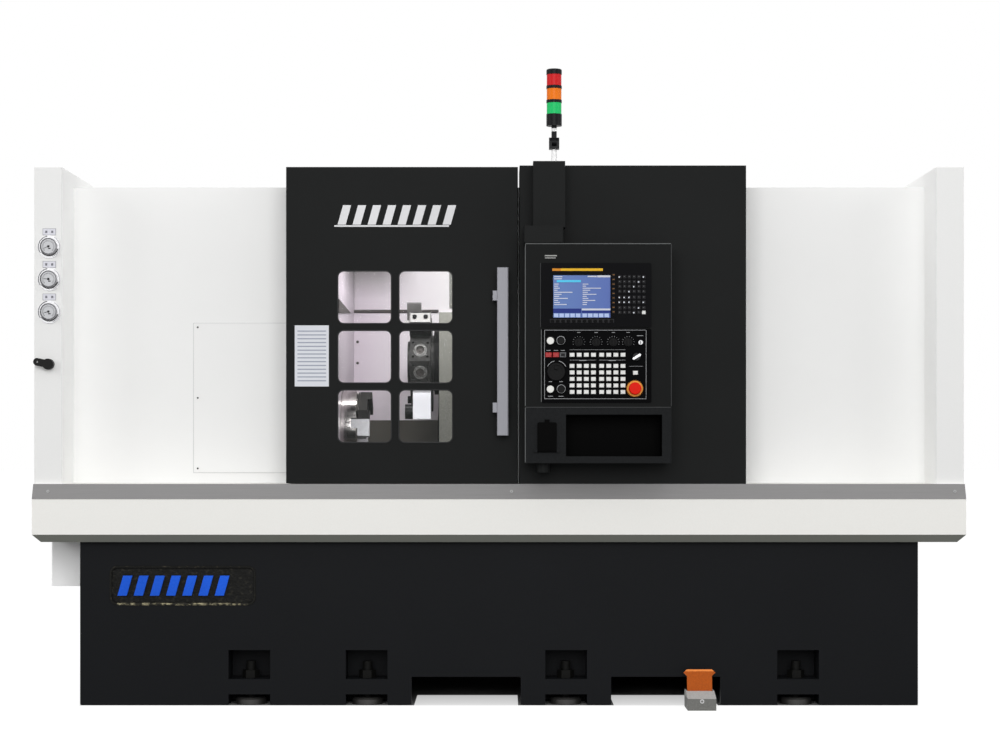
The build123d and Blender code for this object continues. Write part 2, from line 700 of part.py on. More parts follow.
with BuildPart() as bed_base:
    block(BASE_XS, (BASE_FRONT_Y, BASE_REAR_Y), (BASE_BOTTOM, BASE_TOP))
    fillet(bed_base.edges().filter_by(Axis.Z), BASE_CORNER)
    block(
        (BASE_XS[0] + BASE_WALL, BASE_XS[1] - BASE_WALL),
        (BASE_FRONT_Y + BASE_WALL, BASE_REAR_Y - BASE_WALL),
        (BASE_BOTTOM, BASE_TOP - BASE_WALL),
        mode=Mode.SUBTRACT,
    )
    for foot_x in FOOT_XS:
        half_block = POCKET_WIDTH / 2 + BASE_WALL
        foot_xs = (foot_x - half_block, foot_x + half_block)
        foot_zs = (BASE_BOTTOM, POCKET_TOP + BASE_WALL)
        block(foot_xs, (BASE_FRONT_Y + BASE_WALL, FRONT_POCKET_YS[1] + BASE_WALL), foot_zs)
        block(foot_xs, (REAR_POCKET_YS[0] - BASE_WALL, BASE_REAR_Y - BASE_WALL), foot_zs)
        pocket_xs = (foot_x - POCKET_WIDTH / 2, foot_x + POCKET_WIDTH / 2)
        for pocket_ys in (FRONT_POCKET_YS, REAR_POCKET_YS):
            block(pocket_xs, pocket_ys, (POCKET_BOTTOM, POCKET_TOP), mode=Mode.SUBTRACT)
            block(pocket_xs, pocket_ys, (BASE_BOTTOM, PAD_RECESS_TOP), mode=Mode.SUBTRACT)
    for place in FOOT_PLACES:
        disc(
            Plane.XY.offset(PAD_RECESS_TOP),
            place,
            STUD_RADIUS + STUD_CLEARANCE,
            POCKET_BOTTOM - PAD_RECESS_TOP,
            mode=Mode.SUBTRACT,
        )
    for fork_x in FORK_XS:
        block(
            (fork_x - FORK_WIDTH / 2, fork_x + FORK_WIDTH / 2),
            (BASE_FRONT_Y, BASE_REAR_Y),
            (BASE_BOTTOM, FORK_TOP),
            mode=Mode.SUBTRACT,
        )
    with BuildSketch(front_plane(BASE_FRONT_Y)):
        with Locations((NAME_RECESS_X, NAME_RECESS_Z)):
            RectangleRounded(NAME_RECESS_WIDTH, NAME_RECESS_HEIGHT, NAME_RECESS_RADIUS)
    extrude(amount=-NAME_RECESS_DEPTH, mode=Mode.SUBTRACT)
save(bed_base, "bed_base")

# Levelling pads: turned steel discs on the floor, one under each foot
with BuildPart() as levelling_pads:
    with BuildSketch():
        with Locations(*FOOT_PLACES):
            Circle(PAD_RADIUS)
    extrude(amount=PAD_HEIGHT)
    chamfer(levelling_pads.edges().group_by(Axis.Z)[-1], PAD_CHAMFER)
save(levelling_pads, "levelling_pads")

# Levelling studs, each with its lock nut on the pocket floor
with BuildPart() as levelling_screws:
    with BuildSketch(Plane.XY.offset(PAD_HEIGHT)):
        with Locations(*FOOT_PLACES):
            Circle(STUD_RADIUS)
    extrude(amount=POCKET_BOTTOM + STUD_RISE - PAD_HEIGHT)
    with BuildSketch(Plane.XY.offset(POCKET_BOTTOM)):
        with Locations(*FOOT_PLACES):
            RegularPolygon(NUT_FLATS / 2, 6, major_radius=False)
    extrude(amount=NUT_HEIGHT)
save(levelling_screws, "levelling_screws")

# Slant bed: a hollow wedge on the base, with two hardened guideways along its face
BED_TOE_Y = bed_place(BASE_TOP)
BED_CREST_Y = BASE_REAR_Y - BED_SHELF
BED_TOP = bed_height(BED_CREST_Y)
BED_LEFT_X = -BED_LENGTH / 2

with BuildPart() as slant_bed:
    with BuildSketch(side_plane(BED_LEFT_X)):
        profile(
            [
                (BED_TOE_Y, BASE_TOP),
                (BED_CREST_Y, BED_TOP),
                (BASE_REAR_Y, BED_TOP),
                (BASE_REAR_Y, BASE_TOP),
            ]
        )
    extrude(amount=BED_LENGTH)
    wall_along_y = BED_WALL / SLANT_SIN
    with BuildSketch(side_plane(BED_LEFT_X + BED_WALL)):
        profile(
            [
                (BED_TOE_Y + wall_along_y, BASE_TOP),
                (bed_place(BED_TOP - BED_WALL) + wall_along_y, BED_TOP - BED_WALL),
                (BASE_REAR_Y - BED_WALL, BED_TOP - BED_WALL),
                (BASE_REAR_Y - BED_WALL, BASE_TOP),
            ]
        )
    extrude(amount=BED_LENGTH - 2 * BED_WALL, mode=Mode.SUBTRACT)
    with BuildSketch(slant_plane(BED_LEFT_X)):
        guide_n = GUIDE_HEIGHT / 2 - BED_STANDOFF
        with Locations((GUIDE_LOW_U, guide_n), (GUIDE_HIGH_U, guide_n)):
            Rectangle(GUIDE_WIDTH, GUIDE_HEIGHT)
    extrude(amount=BED_LENGTH)
save(slant_bed, "slant_bed")

# Tray skirt: a front length and two end lengths, bevelled underneath and leaning back at the front
SKIRT_INNER_X = HALF_LENGTH - END_COVER_WIDTH
DECK_INNER_Y = PANEL_BACK_Y
FLOOR_FRONT_Y = BASE_FRONT_Y + SKIRT_FLOOR_LAP
FLOOR_END_X = BASE_LENGTH / 2 - SKIRT_FLOOR_LAP


def skirt_block(inset, bottom, top):
    """The skirt's outer form, or its hollow when inset by the wall."""
    with BuildPart() as form:
        block(
            (-HALF_LENGTH + inset, HALF_LENGTH - inset),
            (SKIRT_FRONT_Y + inset, REAR_Y - inset),
            (bottom, top),
        )
        chamfer(form.edges().group_by(Axis.Z)[0], SKIRT_BEVEL)
        with BuildSketch(side_plane(-HALF_LENGTH)):
            profile(
                [
                    (SKIRT_FRONT_Y + inset, top),
                    (SKIRT_FRONT_Y + inset + STRIP_LEAN, top),
                    (SKIRT_FRONT_Y + inset, top - STRIP_RISE),
                ]
            )
        extrude(amount=LENGTH, mode=Mode.SUBTRACT)
    return form.part


SKIRT_FORM = skirt_block(0, SKIRT_BOTTOM, DECK_Z)
SKIRT_HOLLOW = skirt_block(SKIRT_WALL, SKIRT_BOTTOM, DECK_Z - SKIRT_WALL)

with BuildPart() as tray_skirt:
    add(SKIRT_FORM)
    add(SKIRT_HOLLOW, mode=Mode.SUBTRACT)
    block(
        (-HALF_LENGTH + SKIRT_WALL, HALF_LENGTH - SKIRT_WALL),
        (SKIRT_FRONT_Y + SKIRT_WALL, REAR_Y - SKIRT_WALL),
        (BASE_TOP, BASE_TOP + SKIRT_WALL),
    )
    block(
        (-SKIRT_INNER_X, SKIRT_INNER_X),
        (DECK_INNER_Y, REAR_Y),
        (DECK_Z - SKIRT_WALL, DECK_Z),
        mode=Mode.SUBTRACT,
    )
    block(
        (-FLOOR_END_X, FLOOR_END_X),
        (FLOOR_FRONT_Y, REAR_Y),
        (SKIRT_BOTTOM, BASE_TOP + SKIRT_WALL),
        mode=Mode.SUBTRACT,
    )
    block(
        (-SKIRT_INNER_X, SKIRT_INNER_X),
        (REAR_Y - SKIRT_BEVEL - SKIRT_WALL, REAR_Y),
        (SKIRT_BOTTOM, DECK_Z),
        mode=Mode.SUBTRACT,
    )
    split(bisect_by=Plane.XZ.offset(-DECK_INNER_Y), keep=Keep.BOTH)
save(tray_skirt, "tray_skirt")

# Stainless strip on the leaning front edge of the tray
LEAN_LENGTH = sqrt(STRIP_RISE**2 + STRIP_LEAN**2)
STRIP_STEP_Y = STRIP_THICKNESS * STRIP_RISE / LEAN_LENGTH
STRIP_STEP_Z = STRIP_THICKNESS * STRIP_LEAN / LEAN_LENGTH

with BuildPart() as steel_strip:
    with BuildSketch(side_plane(-HALF_LENGTH)):
        profile(
            [
                (SKIRT_FRONT_Y, DECK_Z - STRIP_RISE),
                (SKIRT_FRONT_Y + STRIP_LEAN, DECK_Z),
                (SKIRT_FRONT_Y + STRIP_LEAN - STRIP_STEP_Y, DECK_Z + STRIP_STEP_Z),
                (SKIRT_FRONT_Y - STRIP_STEP_Y, DECK_Z - STRIP_RISE + STRIP_STEP_Z),
            ]
        )
    extrude(amount=LENGTH)
save(steel_strip, "steel_strip")


def end_cover(left_x):
    """A folded end cover, open underneath, standing on the tray deck."""
    with BuildPart() as cover:
        block((left_x, left_x + END_COVER_WIDTH), (FRONT_Y, REAR_Y), (DECK_Z, COVER_TOP))
        fillet(cover.edges().filter_by(Axis.Z), COVER_EDGE_RADIUS)
        fillet(cover.edges().group_by(Axis.Z)[-1], COVER_EDGE_RADIUS)
        offset(amount=-SHEET, openings=cover.faces().sort_by(Axis.Z)[0])
    return cover.part


# Left end cover, holed for the gauges, the latch shaft and long bars fed into the spindle
with BuildPart() as left_end_cover:
    add(end_cover(-HALF_LENGTH))
    for gauge_z in GAUGE_ZS:
        disc(
            front_plane(FRONT_Y),
            (GAUGE_X, gauge_z),
            GAUGE_CASE_RADIUS + GAUGE_CLEARANCE,
            -SHEET,
            mode=Mode.SUBTRACT,
        )
    disc(
        front_plane(FRONT_Y),
        (LATCH_X, LATCH_Z),
        LATCH_SHAFT_RADIUS + PIVOT_CLEARANCE,
        -SHEET,
        mode=Mode.SUBTRACT,
    )
    disc(
        side_plane(-HALF_LENGTH),
        (SPINDLE_Y, SPINDLE_Z),
        BAR_ENTRY_RADIUS,
        END_COVER_WIDTH,
        mode=Mode.SUBTRACT,
    )
save(left_end_cover, "left_end_cover")

# Right end cover
with BuildPart() as right_end_cover:
    add(end_cover(INNER_RIGHT_X))
save(right_end_cover, "right_end_cover")

# Recessed left front panel, with the header that runs over the door opening
with BuildPart() as left_front_panel:
    block((INNER_LEFT_X, OPENING_LEFT_X), (PANEL_FRONT_Y, PANEL_BACK_Y), (DECK_Z, PANEL_TOP))
    block((OPENING_LEFT_X, OPENING_RIGHT_X), (PANEL_FRONT_Y, PANEL_BACK_Y), (HEADER_BOTTOM, PANEL_TOP))
save(left_front_panel, "left_front_panel")

# Recessed right front panel, from the door opening to the right end cover
with BuildPart() as right_front_panel:
    block((OPENING_RIGHT_X, INNER_RIGHT_X), (PANEL_FRONT_Y, PANEL_BACK_Y), (DECK_Z, PANEL_TOP))
save(right_front_panel, "right_front_panel")

# Screwed access cover on the left front panel
with BuildPart() as access_cover:
    block(
        (ACCESS_LEFT_X, ACCESS_RIGHT_X),
        (PANEL_FRONT_Y - SHEET, PANEL_FRONT_Y),
        (ACCESS_BOTTOM, ACCESS_TOP),
    )
    fillet(access_cover.edges().filter_by(Axis.Y), COVER_EDGE_RADIUS)
save(access_cover, "access_cover")

# Roof sheet, sunk between the end covers
with BuildPart() as roof_panel:
    block((INNER_LEFT_X, INNER_RIGHT_X), (PANEL_BACK_Y, REAR_Y - SHEET), (ROOF_Z, ROOF_Z + SHEET))
save(roof_panel, "roof_panel")

# Rear sheet, standing behind the base between the end covers
with BuildPart() as rear_panel:
    block((INNER_LEFT_X, INNER_RIGHT_X), (REAR_Y - SHEET, REAR_Y), (SKIRT_BOTTOM, PANEL_TOP))
save(rear_panel, "rear_panel")

# Door rail on the roof, hidden behind the front panels
RAIL_ZS = (ROOF_Z + SHEET, ROOF_Z + SHEET + RAIL_HEIGHT)
with BuildPart() as door_rail:
    block(
        (INNER_LEFT_X + RAIL_MARGIN, CONTROL_LEFT_X - RAIL_MARGIN),
        (RAIL_Y - RAIL_WIDTH / 2, RAIL_Y + RAIL_WIDTH / 2),
        RAIL_ZS,
    )
save(door_rail, "door_rail")

# Door: a deep folded pan with six windows and a top flange that reaches back over the panels to the rail
DOOR_BACK_Y = FRONT_Y + DOOR_DEPTH
FLANGE_BACK_Y = RAIL_Y + RAIL_WIDTH / 2 + CARRIAGE_WALL

with BuildPart() as door_panel:
    block((DOOR_LEFT_X, DOOR_RIGHT_X), (FRONT_Y, DOOR_BACK_Y), (DOOR_BOTTOM, DOOR_TOP))
    fillet(door_panel.edges().filter_by(Axis.Z).group_by(Axis.Y)[0], DOOR_EDGE_RADIUS)
    offset(amount=-SHEET, openings=door_panel.faces().sort_by(Axis.Y)[-1])
    with BuildSketch(front_plane(FRONT_Y)):
        with Locations((WINDOW_CENTRE_X, WINDOW_CENTRE_Z)):
            with GridLocations(WINDOW_PITCH_X, WINDOW_PITCH_Z, 2, 3):
                RectangleRounded(WINDOW_WIDTH, WINDOW_HEIGHT, WINDOW_RADIUS)
    extrude(amount=-SHEET, mode=Mode.SUBTRACT)
    block((DOOR_LEFT_X, DOOR_RIGHT_X), (DOOR_BACK_Y, FLANGE_BACK_Y), (DOOR_TOP - SHEET, DOOR_TOP))
save(door_panel, "door_panel")

# Door carriages: slide blocks that hang the door's top flange on the rail
CARRIAGE_XS = (DOOR_LEFT_X + CARRIAGE_INSET, DOOR_RIGHT_X - CARRIAGE_INSET)
CARRIAGE_BOTTOM = RAIL_ZS[1] - CARRIAGE_DROP
with BuildPart() as door_carriages:
    for middle in CARRIAGE_XS:
        carriage_xs = (middle - CARRIAGE_LENGTH / 2, middle + CARRIAGE_LENGTH / 2)
        outer = RAIL_WIDTH / 2 + CARRIAGE_WALL
        inner = RAIL_WIDTH / 2 + RUN_GAP
        block(carriage_xs, (RAIL_Y - outer, RAIL_Y + outer), (CARRIAGE_BOTTOM, DOOR_TOP - SHEET))
        block(
            carriage_xs,
            (RAIL_Y - inner, RAIL_Y + inner),
            (CARRIAGE_BOTTOM, RAIL_ZS[1] + RUN_GAP),
            mode=Mode.SUBTRACT,
        )
save(door_carriages, "door_carriages")

# Door glass: one laminated pane behind all six windows
with BuildPart() as door_glass:
    glass_half_x = (WINDOW_PITCH_X + WINDOW_WIDTH) / 2 + GLASS_LAP
    glass_half_z = (2 * WINDOW_PITCH_Z + WINDOW_HEIGHT) / 2 + GLASS_LAP
    block(
        (WINDOW_CENTRE_X - glass_half_x, WINDOW_CENTRE_X + glass_half_x),
        (FRONT_Y + SHEET, FRONT_Y + SHEET + GLASS_THICKNESS),
        (WINDOW_CENTRE_Z - glass_half_z, WINDOW_CENTRE_Z + glass_half_z),
    )
save(door_glass, "door_glass")

# Door handle: a long aluminium bar on two brackets that stand out to its left
with BuildPart() as door_handle:
    bar_xs = (HANDLE_X - HANDLE_WIDTH / 2, HANDLE_X + HANDLE_WIDTH / 2)
    bar_ys = (FRONT_Y - HANDLE_REACH, FRONT_Y - HANDLE_REACH + HANDLE_THICKNESS)
    block(bar_xs, bar_ys, (HANDLE_Z - HANDLE_LENGTH / 2, HANDLE_Z + HANDLE_LENGTH / 2))
    fillet(door_handle.edges().filter_by(Axis.Z), HANDLE_EDGE_RADIUS)
    for side in (-1, 1):
        bracket_z = HANDLE_Z + side * HANDLE_BRACKET_SPAN / 2
        block(
            (bar_xs[0] - HANDLE_BRACKET_LAP, HANDLE_X),
            (bar_ys[0] + HANDLE_THICKNESS / 2, FRONT_Y),
            (bracket_z - HANDLE_BRACKET_HEIGHT / 2, bracket_z + HANDLE_BRACKET_HEIGHT / 2),
        )
save(door_handle, "door_handle")

# Black control cover: a deep folded pan, with the bracket of the pendant's lower pivot welded on
LOWER_PIVOT_TOP = STORAGE_BOTTOM - RUN_GAP
with BuildPart() as control_cover:
    block((CONTROL_LEFT_X, CONTROL_RIGHT_X), (CONTROL_FRONT_Y, PANEL_FRONT_Y), (DECK_Z, CONTROL_TOP))
    fillet(control_cover.edges().filter_by(Axis.Z).group_by(Axis.Y)[0], CONTROL_EDGE_RADIUS)
    offset(amount=-SHEET, openings=control_cover.faces().sort_by(Axis.Y)[-1])
    block(
        (PIVOT_X - LOWER_PIVOT_WIDTH / 2, PIVOT_X + LOWER_PIVOT_WIDTH / 2),
        (PIVOT_Y, CONTROL_FRONT_Y),
        (LOWER_PIVOT_TOP - LOWER_PIVOT_HEIGHT, LOWER_PIVOT_TOP),
    )
    disc(
        Plane.XY.offset(LOWER_PIVOT_TOP - LOWER_PIVOT_HEIGHT),
        (PIVOT_X, PIVOT_Y),
        LOWER_PIVOT_WIDTH / 2,
        LOWER_PIVOT_HEIGHT,
    )
    disc(Plane.XY.offset(LOWER_PIVOT_TOP), (PIVOT_X, PIVOT_Y), PIVOT_RADIUS / 2, STORAGE_WALL)
save(control_cover, "control_cover")

# Pendant arm: a cable duct on the control cover, with the pivot bracket at its lower end
with BuildPart() as pendant_arm:
    block((ARM_LEFT_X, ARM_RIGHT_X), (CONTROL_FRONT_Y - ARM_DEPTH, CONTROL_FRONT_Y), (BRACKET_TOP, ARM_TOP))
    block(
        (BRACKET_LEFT_X, BRACKET_RIGHT_X),
        (BRACKET_FRONT_Y, CONTROL_FRONT_Y),
        (BRACKET_BOTTOM, BRACKET_TOP),
    )
    fillet(pendant_arm.edges().filter_by(Axis.Z).group_by(Axis.Y)[0], ARM_EDGE_RADIUS)
    disc(
        Plane.XY.offset(BRACKET_BOTTOM),
        (PIVOT_X, PIVOT_Y),
        PIVOT_RADIUS + PIVOT_CLEARANCE,
        PIVOT_LENGTH + RUN_GAP,
        mode=Mode.SUBTRACT,
    )
save(pendant_arm, "pendant_arm")


def stem_hole(x, z, radius):
    """A hole through a plate and the case behind it for the stem of a button or switch."""
    reach = BUTTON_STEM_LENGTH + STOP_TRAVEL + CUT_OVERRUN
    disc(front_plane(PLATE_FACE_Y), (x, z), radius + STEM_CLEARANCE, -reach, mode=Mode.SUBTRACT)


BUTTON_PLACES = {
    "power_on_button": (LEFT_BUTTON_X, UPPER_BUTTON_Z),
    "power_off_button": (RIGHT_BUTTON_X, UPPER_BUTTON_Z),
    "start_button": (LEFT_BUTTON_X, LOWER_BUTTON_Z),
    "hold_button": (RIGHT_BUTTON_X, LOWER_BUTTON_Z),
}
KNOB_NAMES = ("mode_knob", "spindle_knob", "feed_knob", "rapid_knob")
KNOB_PLACES = [(x, KNOB_Z) for x in KNOB_XS]
SWITCH_PLACES = [(LEVER_X, LEVER_Z), (WHEEL_X, WHEEL_Z), (STOP_X, STOP_Z)]
STEM_PLACES = [*BUTTON_PLACES.values(), *KNOB_PLACES, *SWITCH_PLACES]

# Pendant case: a folded box, open at the back, with the pivot pin on top
with BuildPart() as pendant_case:
    block(
        (PENDANT_LEFT_X, PENDANT_RIGHT_X),
        (PENDANT_FRONT_Y, PENDANT_BACK_Y),
        (PENDANT_BOTTOM, PENDANT_TOP),
    )
    fillet(pendant_case.edges().filter_by(Axis.Z).group_by(Axis.Y)[0], PENDANT_EDGE_RADIUS)
    offset(amount=-SHEET, openings=pendant_case.faces().sort_by(Axis.Y)[-1])
    disc(
        Plane.XY.offset(PENDANT_TOP - SHEET),
        (PIVOT_X, PIVOT_Y),
        PIVOT_RADIUS,
        SHEET + BRACKET_BOTTOM - PENDANT_TOP + PIVOT_LENGTH,
    )
    for stem_place in STEM_PLACES:
        stem_hole(*stem_place, BUTTON_STEM_RADIUS)
save(pendant_case, "pendant_case")

# Storage box under the case: an open pocket on the right and the interface recess on the left
with BuildPart() as storage_box:
    block(
        (PENDANT_LEFT_X, PENDANT_RIGHT_X),
        (PENDANT_FRONT_Y, PENDANT_BACK_Y),
        (STORAGE_BOTTOM, STORAGE_TOP),
    )
    fillet(storage_box.edges().filter_by(Axis.Z).group_by(Axis.Y)[0], PENDANT_EDGE_RADIUS)
    block(
        (POCKET_LEFT_X, POCKET_RIGHT_X),
        (PENDANT_FRONT_Y, PENDANT_BACK_Y - POCKET_BACK_WALL),
        (POCKET_LOW_Z, POCKET_HIGH_Z),
        mode=Mode.SUBTRACT,
    )
    block(
        (PENDANT_LEFT_X + STORAGE_WALL, POCKET_LEFT_X - STORAGE_WALL),
        (PENDANT_FRONT_Y + STORAGE_WALL, PENDANT_BACK_Y),
        (STORAGE_BOTTOM + STORAGE_WALL, STORAGE_TOP - STORAGE_WALL),
        mode=Mode.SUBTRACT,
    )
    disc(
        Plane.XY.offset(STORAGE_BOTTOM),
        (PIVOT_X, PIVOT_Y),
        PIVOT_RADIUS / 2 + PIVOT_CLEARANCE,
        STORAGE_WALL,
        mode=Mode.SUBTRACT,
    )
    block(
        (UNIT_X - JOINING_BAR_WIDTH, UNIT_X + JOINING_BAR_WIDTH),
        (PENDANT_FRONT_Y + STORAGE_WALL, PENDANT_BACK_Y - STORAGE_WALL),
        (STORAGE_TOP, PENDANT_BOTTOM),
    )
    for side in (-1, 1):
        ear_x = FLAP_X + side * (FLAP_WIDTH / 2 + FLAP_EAR_WIDTH / 2 + RUN_GAP)
        block(
            (ear_x - FLAP_EAR_WIDTH / 2, ear_x + FLAP_EAR_WIDTH / 2),
            (PENDANT_FRONT_Y - 2 * FLAP_BARREL_RADIUS, PENDANT_FRONT_Y),
            (FLAP_HINGE_Z - FLAP_BARREL_RADIUS, FLAP_HINGE_Z + FLAP_BARREL_RADIUS),
        )
        disc(
            side_plane(ear_x),
            (PENDANT_FRONT_Y - FLAP_BARREL_RADIUS, FLAP_HINGE_Z),
            FLAP_PIN_RADIUS,
            -side * (FLAP_EAR_WIDTH + RUN_GAP),
        )
save(storage_box, "storage_box")

# Interface flap: a moulded cover, hinged on two pins at its lower edge, with a finger tab on top
with BuildPart() as interface_cover:
    flap_top = FLAP_HINGE_Z + FLAP_HEIGHT
    flap_back_y = PENDANT_FRONT_Y - RUN_GAP
    flap_xs = (FLAP_X - FLAP_WIDTH / 2, FLAP_X + FLAP_WIDTH / 2)
    block(flap_xs, (flap_back_y - FLAP_THICKNESS, flap_back_y), (FLAP_HINGE_Z, flap_top))
    fillet(
        interface_cover.edges().filter_by(Axis.Y).group_by(Axis.Z)[-1],
        FLAP_CORNER,
    )
    block(
        (FLAP_X - FLAP_TAB_WIDTH / 2, FLAP_X + FLAP_TAB_WIDTH / 2),
        (flap_back_y - FLAP_THICKNESS, flap_back_y),
        (flap_top, flap_top + FLAP_TAB_HEIGHT),
    )
    barrel_place = (PENDANT_FRONT_Y - FLAP_BARREL_RADIUS, FLAP_HINGE_Z)
    disc(side_plane(flap_xs[0]), barrel_place, FLAP_BARREL_RADIUS - RUN_GAP, FLAP_WIDTH)
    pin_bore = FLAP_PIN_RADIUS + PIVOT_CLEARANCE
    disc(side_plane(flap_xs[0]), barrel_place, pin_bore, FLAP_WIDTH, mode=Mode.SUBTRACT)
save(interface_cover, "interface_cover")

# Screen and key unit: a flat bezel with a sunk screen, soft keys round it and typing keys beside it
DISPLAY_FRONT = front_plane(DISPLAY_FACE_Y)
SOFT_KEY_Z = SCREEN_Z - SCREEN_HEIGHT / 2 - SOFT_KEY_DROP
SIDE_KEY_X = SCREEN_X + SCREEN_WIDTH / 2 + SIDE_KEY_OFFSET

with BuildPart() as display_unit:
    with BuildSketch(front_plane(PENDANT_FRONT_Y)):
        with Locations((UNIT_X, DISPLAY_Z)):
            RectangleRounded(UNIT_WIDTH, DISPLAY_HEIGHT, UNIT_CORNER)
    extrude(amount=UNIT_THICKNESS)
    with BuildSketch(DISPLAY_FRONT):
        with Locations((SCREEN_X, SCREEN_Z)):
            Rectangle(SCREEN_WIDTH, SCREEN_HEIGHT)
    extrude(amount=-SCREEN_RECESS, mode=Mode.SUBTRACT)
    with BuildSketch(DISPLAY_FRONT):
        with Locations((SCREEN_X, SOFT_KEY_Z)):
            with GridLocations(SOFT_KEY_PITCH, SOFT_KEY_PITCH, SOFT_KEY_COUNT, 1):
                Rectangle(SOFT_KEY_WIDTH, SOFT_KEY_HEIGHT)
        with Locations((SIDE_KEY_X, SCREEN_Z)):
            with GridLocations(SIDE_KEY_PITCH, SIDE_KEY_PITCH, 1, SIDE_KEY_COUNT):
                Rectangle(SOFT_KEY_HEIGHT, SOFT_KEY_WIDTH)
        with Locations((TYPE_KEY_X, TYPE_KEY_Z)):
            with GridLocations(TYPE_KEY_PITCH, TYPE_KEY_PITCH, TYPE_KEY_COLUMNS, TYPE_KEY_ROWS):
                Rectangle(TYPE_KEY_SIZE, TYPE_KEY_SIZE)
    extrude(amount=KEY_RISE)
save(display_unit, "display_unit")

# Screen glass in the bezel's recess
with BuildPart() as display_screen:
    with BuildSketch(front_plane(DISPLAY_FACE_Y + SCREEN_RECESS)):
        with Locations((SCREEN_X, SCREEN_Z)):
            Rectangle(SCREEN_WIDTH, SCREEN_HEIGHT)
    extrude(amount=SCREEN_THICKNESS)
save(display_screen, "display_screen")

# Operator plate, with the rings round its buttons, the key lock and the collar of the emergency stop
PLATE_FRONT = front_plane(PLATE_FACE_Y)
with BuildPart() as operator_plate:
    with BuildSketch(front_plane(PENDANT_FRONT_Y)):
        with Locations((UNIT_X, PLATE_Z)):
            RectangleRounded(UNIT_WIDTH, PLATE_HEIGHT, UNIT_CORNER)
    extrude(amount=PLATE_THICKNESS)
    with BuildSketch(PLATE_FRONT):
        with Locations(*BUTTON_PLACES.values()):
            Circle(BUTTON_RING_RADIUS)
            Circle(BUTTON_RADIUS + RUN_GAP, mode=Mode.SUBTRACT)
    extrude(amount=BUTTON_RING_RISE)
    disc(PLATE_FRONT, (LOCK_X, LOCK_Z), LOCK_RADIUS, LOCK_RISE)
    disc(PLATE_FRONT, (STOP_X, STOP_Z), STOP_COLLAR_RADIUS, STOP_COLLAR_RISE)
    disc(PLATE_FRONT, (STOP_X, STOP_Z), STOP_NECK_RADIUS + RUN_GAP, STOP_COLLAR_RISE, mode=Mode.SUBTRACT)
    for stem_place in STEM_PLACES:
        stem_hole(*stem_place, BUTTON_STEM_RADIUS)
save(operator_plate, "operator_plate")

# Panel keys: two blocks of lit keys, the top row, a spare key and three indicator lamps
KEY_TABLE_X = KEY_LEFT_X + (KEY_GROUP_COLUMNS - 1) * KEY_PITCH_X / 2
KEY_BLOCK_Z = KEY_BLOCK_TOP_Z - (KEY_ROWS - 1) * KEY_ROW_PITCH / 2
with BuildPart() as panel_keys:
    with BuildSketch(PLATE_FRONT):
        for group in range(KEY_GROUPS):
            group_x = KEY_TABLE_X + group * KEY_GROUP_PITCH
            with Locations((group_x, KEY_BLOCK_Z)):
                with GridLocations(KEY_PITCH_X, KEY_ROW_PITCH, KEY_GROUP_COLUMNS, KEY_ROWS):
                    Rectangle(KEY_WIDTH, KEY_HEIGHT)
            with Locations((group_x, TOP_ROW_Z)):
                with GridLocations(KEY_PITCH_X, KEY_ROW_PITCH, KEY_GROUP_COLUMNS, 1):
                    Rectangle(KEY_WIDTH, KEY_HEIGHT)
        with Locations((SPARE_KEY_X, SPARE_KEY_Z)):
            Rectangle(KEY_WIDTH, KEY_HEIGHT)
        with Locations(*[(x, TOP_ROW_Z) for x in LAMP_XS]):
            Rectangle(LAMP_WIDTH, LAMP_HEIGHT)
    extrude(amount=KEY_HEAD_RISE)
    chamfer(panel_keys.edges().group_by(Axis.Y)[0], KEY_EDGE)
save(panel_keys, "panel_keys")


def stem(x, z):
    """The stem behind a button or switch, from the plate's face back into the case."""
    disc(PLATE_FRONT, (x, z), BUTTON_STEM_RADIUS, -BUTTON_STEM_LENGTH)


# Push buttons: round heads that stand off the plate by their travel
for button_name, (button_x, button_z) in BUTTON_PLACES.items():
    with BuildPart() as push_button:
        head_plane = front_plane(PLATE_FACE_Y - BUTTON_TRAVEL - RUN_GAP)
        disc(head_plane, (button_x, button_z), BUTTON_RADIUS, BUTTON_RISE)
        chamfer(push_button.edges().group_by(Axis.Y)[0], KEY_EDGE)
        disc(PLATE_FRONT, (button_x, button_z), BUTTON_STEM_RADIUS, BUTTON_TRAVEL + RUN_GAP)
        stem(button_x, button_z)
    save(push_button, button_name)

# Emergency stop button: a mushroom head on a neck that slides in the collar
with BuildPart() as estop_button:
    head_y = PLATE_FACE_Y - STOP_COLLAR_RISE - STOP_TRAVEL - RUN_GAP
    disc(front_plane(head_y), (STOP_X, STOP_Z), STOP_HEAD_RADIUS, STOP_HEAD_RISE)
    fillet(estop_button.edges().group_by(Axis.Y)[0], STOP_EDGE_RADIUS)
    neck_start = front_plane(PLATE_FACE_Y - STOP_TRAVEL - RUN_GAP)
    disc(neck_start, (STOP_X, STOP_Z), STOP_NECK_RADIUS, STOP_COLLAR_RISE)
    disc(PLATE_FRONT, (STOP_X, STOP_Z), BUTTON_STEM_RADIUS, STOP_TRAVEL + RUN_GAP)
    stem(STOP_X, STOP_Z)
save(estop_button, "estop_button")

# Rotary selector knobs: a round skirt with a straight grip across it
for knob_name, (knob_x, knob_z) in zip(KNOB_NAMES, KNOB_PLACES):
    with BuildPart() as selector_knob:
        knob_start = front_plane(PLATE_FACE_Y - RUN_GAP)
        disc(knob_start, (knob_x, knob_z), KNOB_RADIUS, KNOB_SKIRT_RISE)
        with BuildSketch(knob_start):
            with Locations((knob_x, knob_z)):
                SlotOverall(KNOB_GRIP_LENGTH, KNOB_GRIP_WIDTH, rotation=90)
        extrude(amount=KNOB_RISE)
        chamfer(selector_knob.edges().group_by(Axis.Y)[0], KEY_EDGE)
        disc(PLATE_FRONT, (knob_x, knob_z), BUTTON_STEM_RADIUS, RUN_GAP)
        stem(knob_x, knob_z)
    save(selector_knob, knob_name)

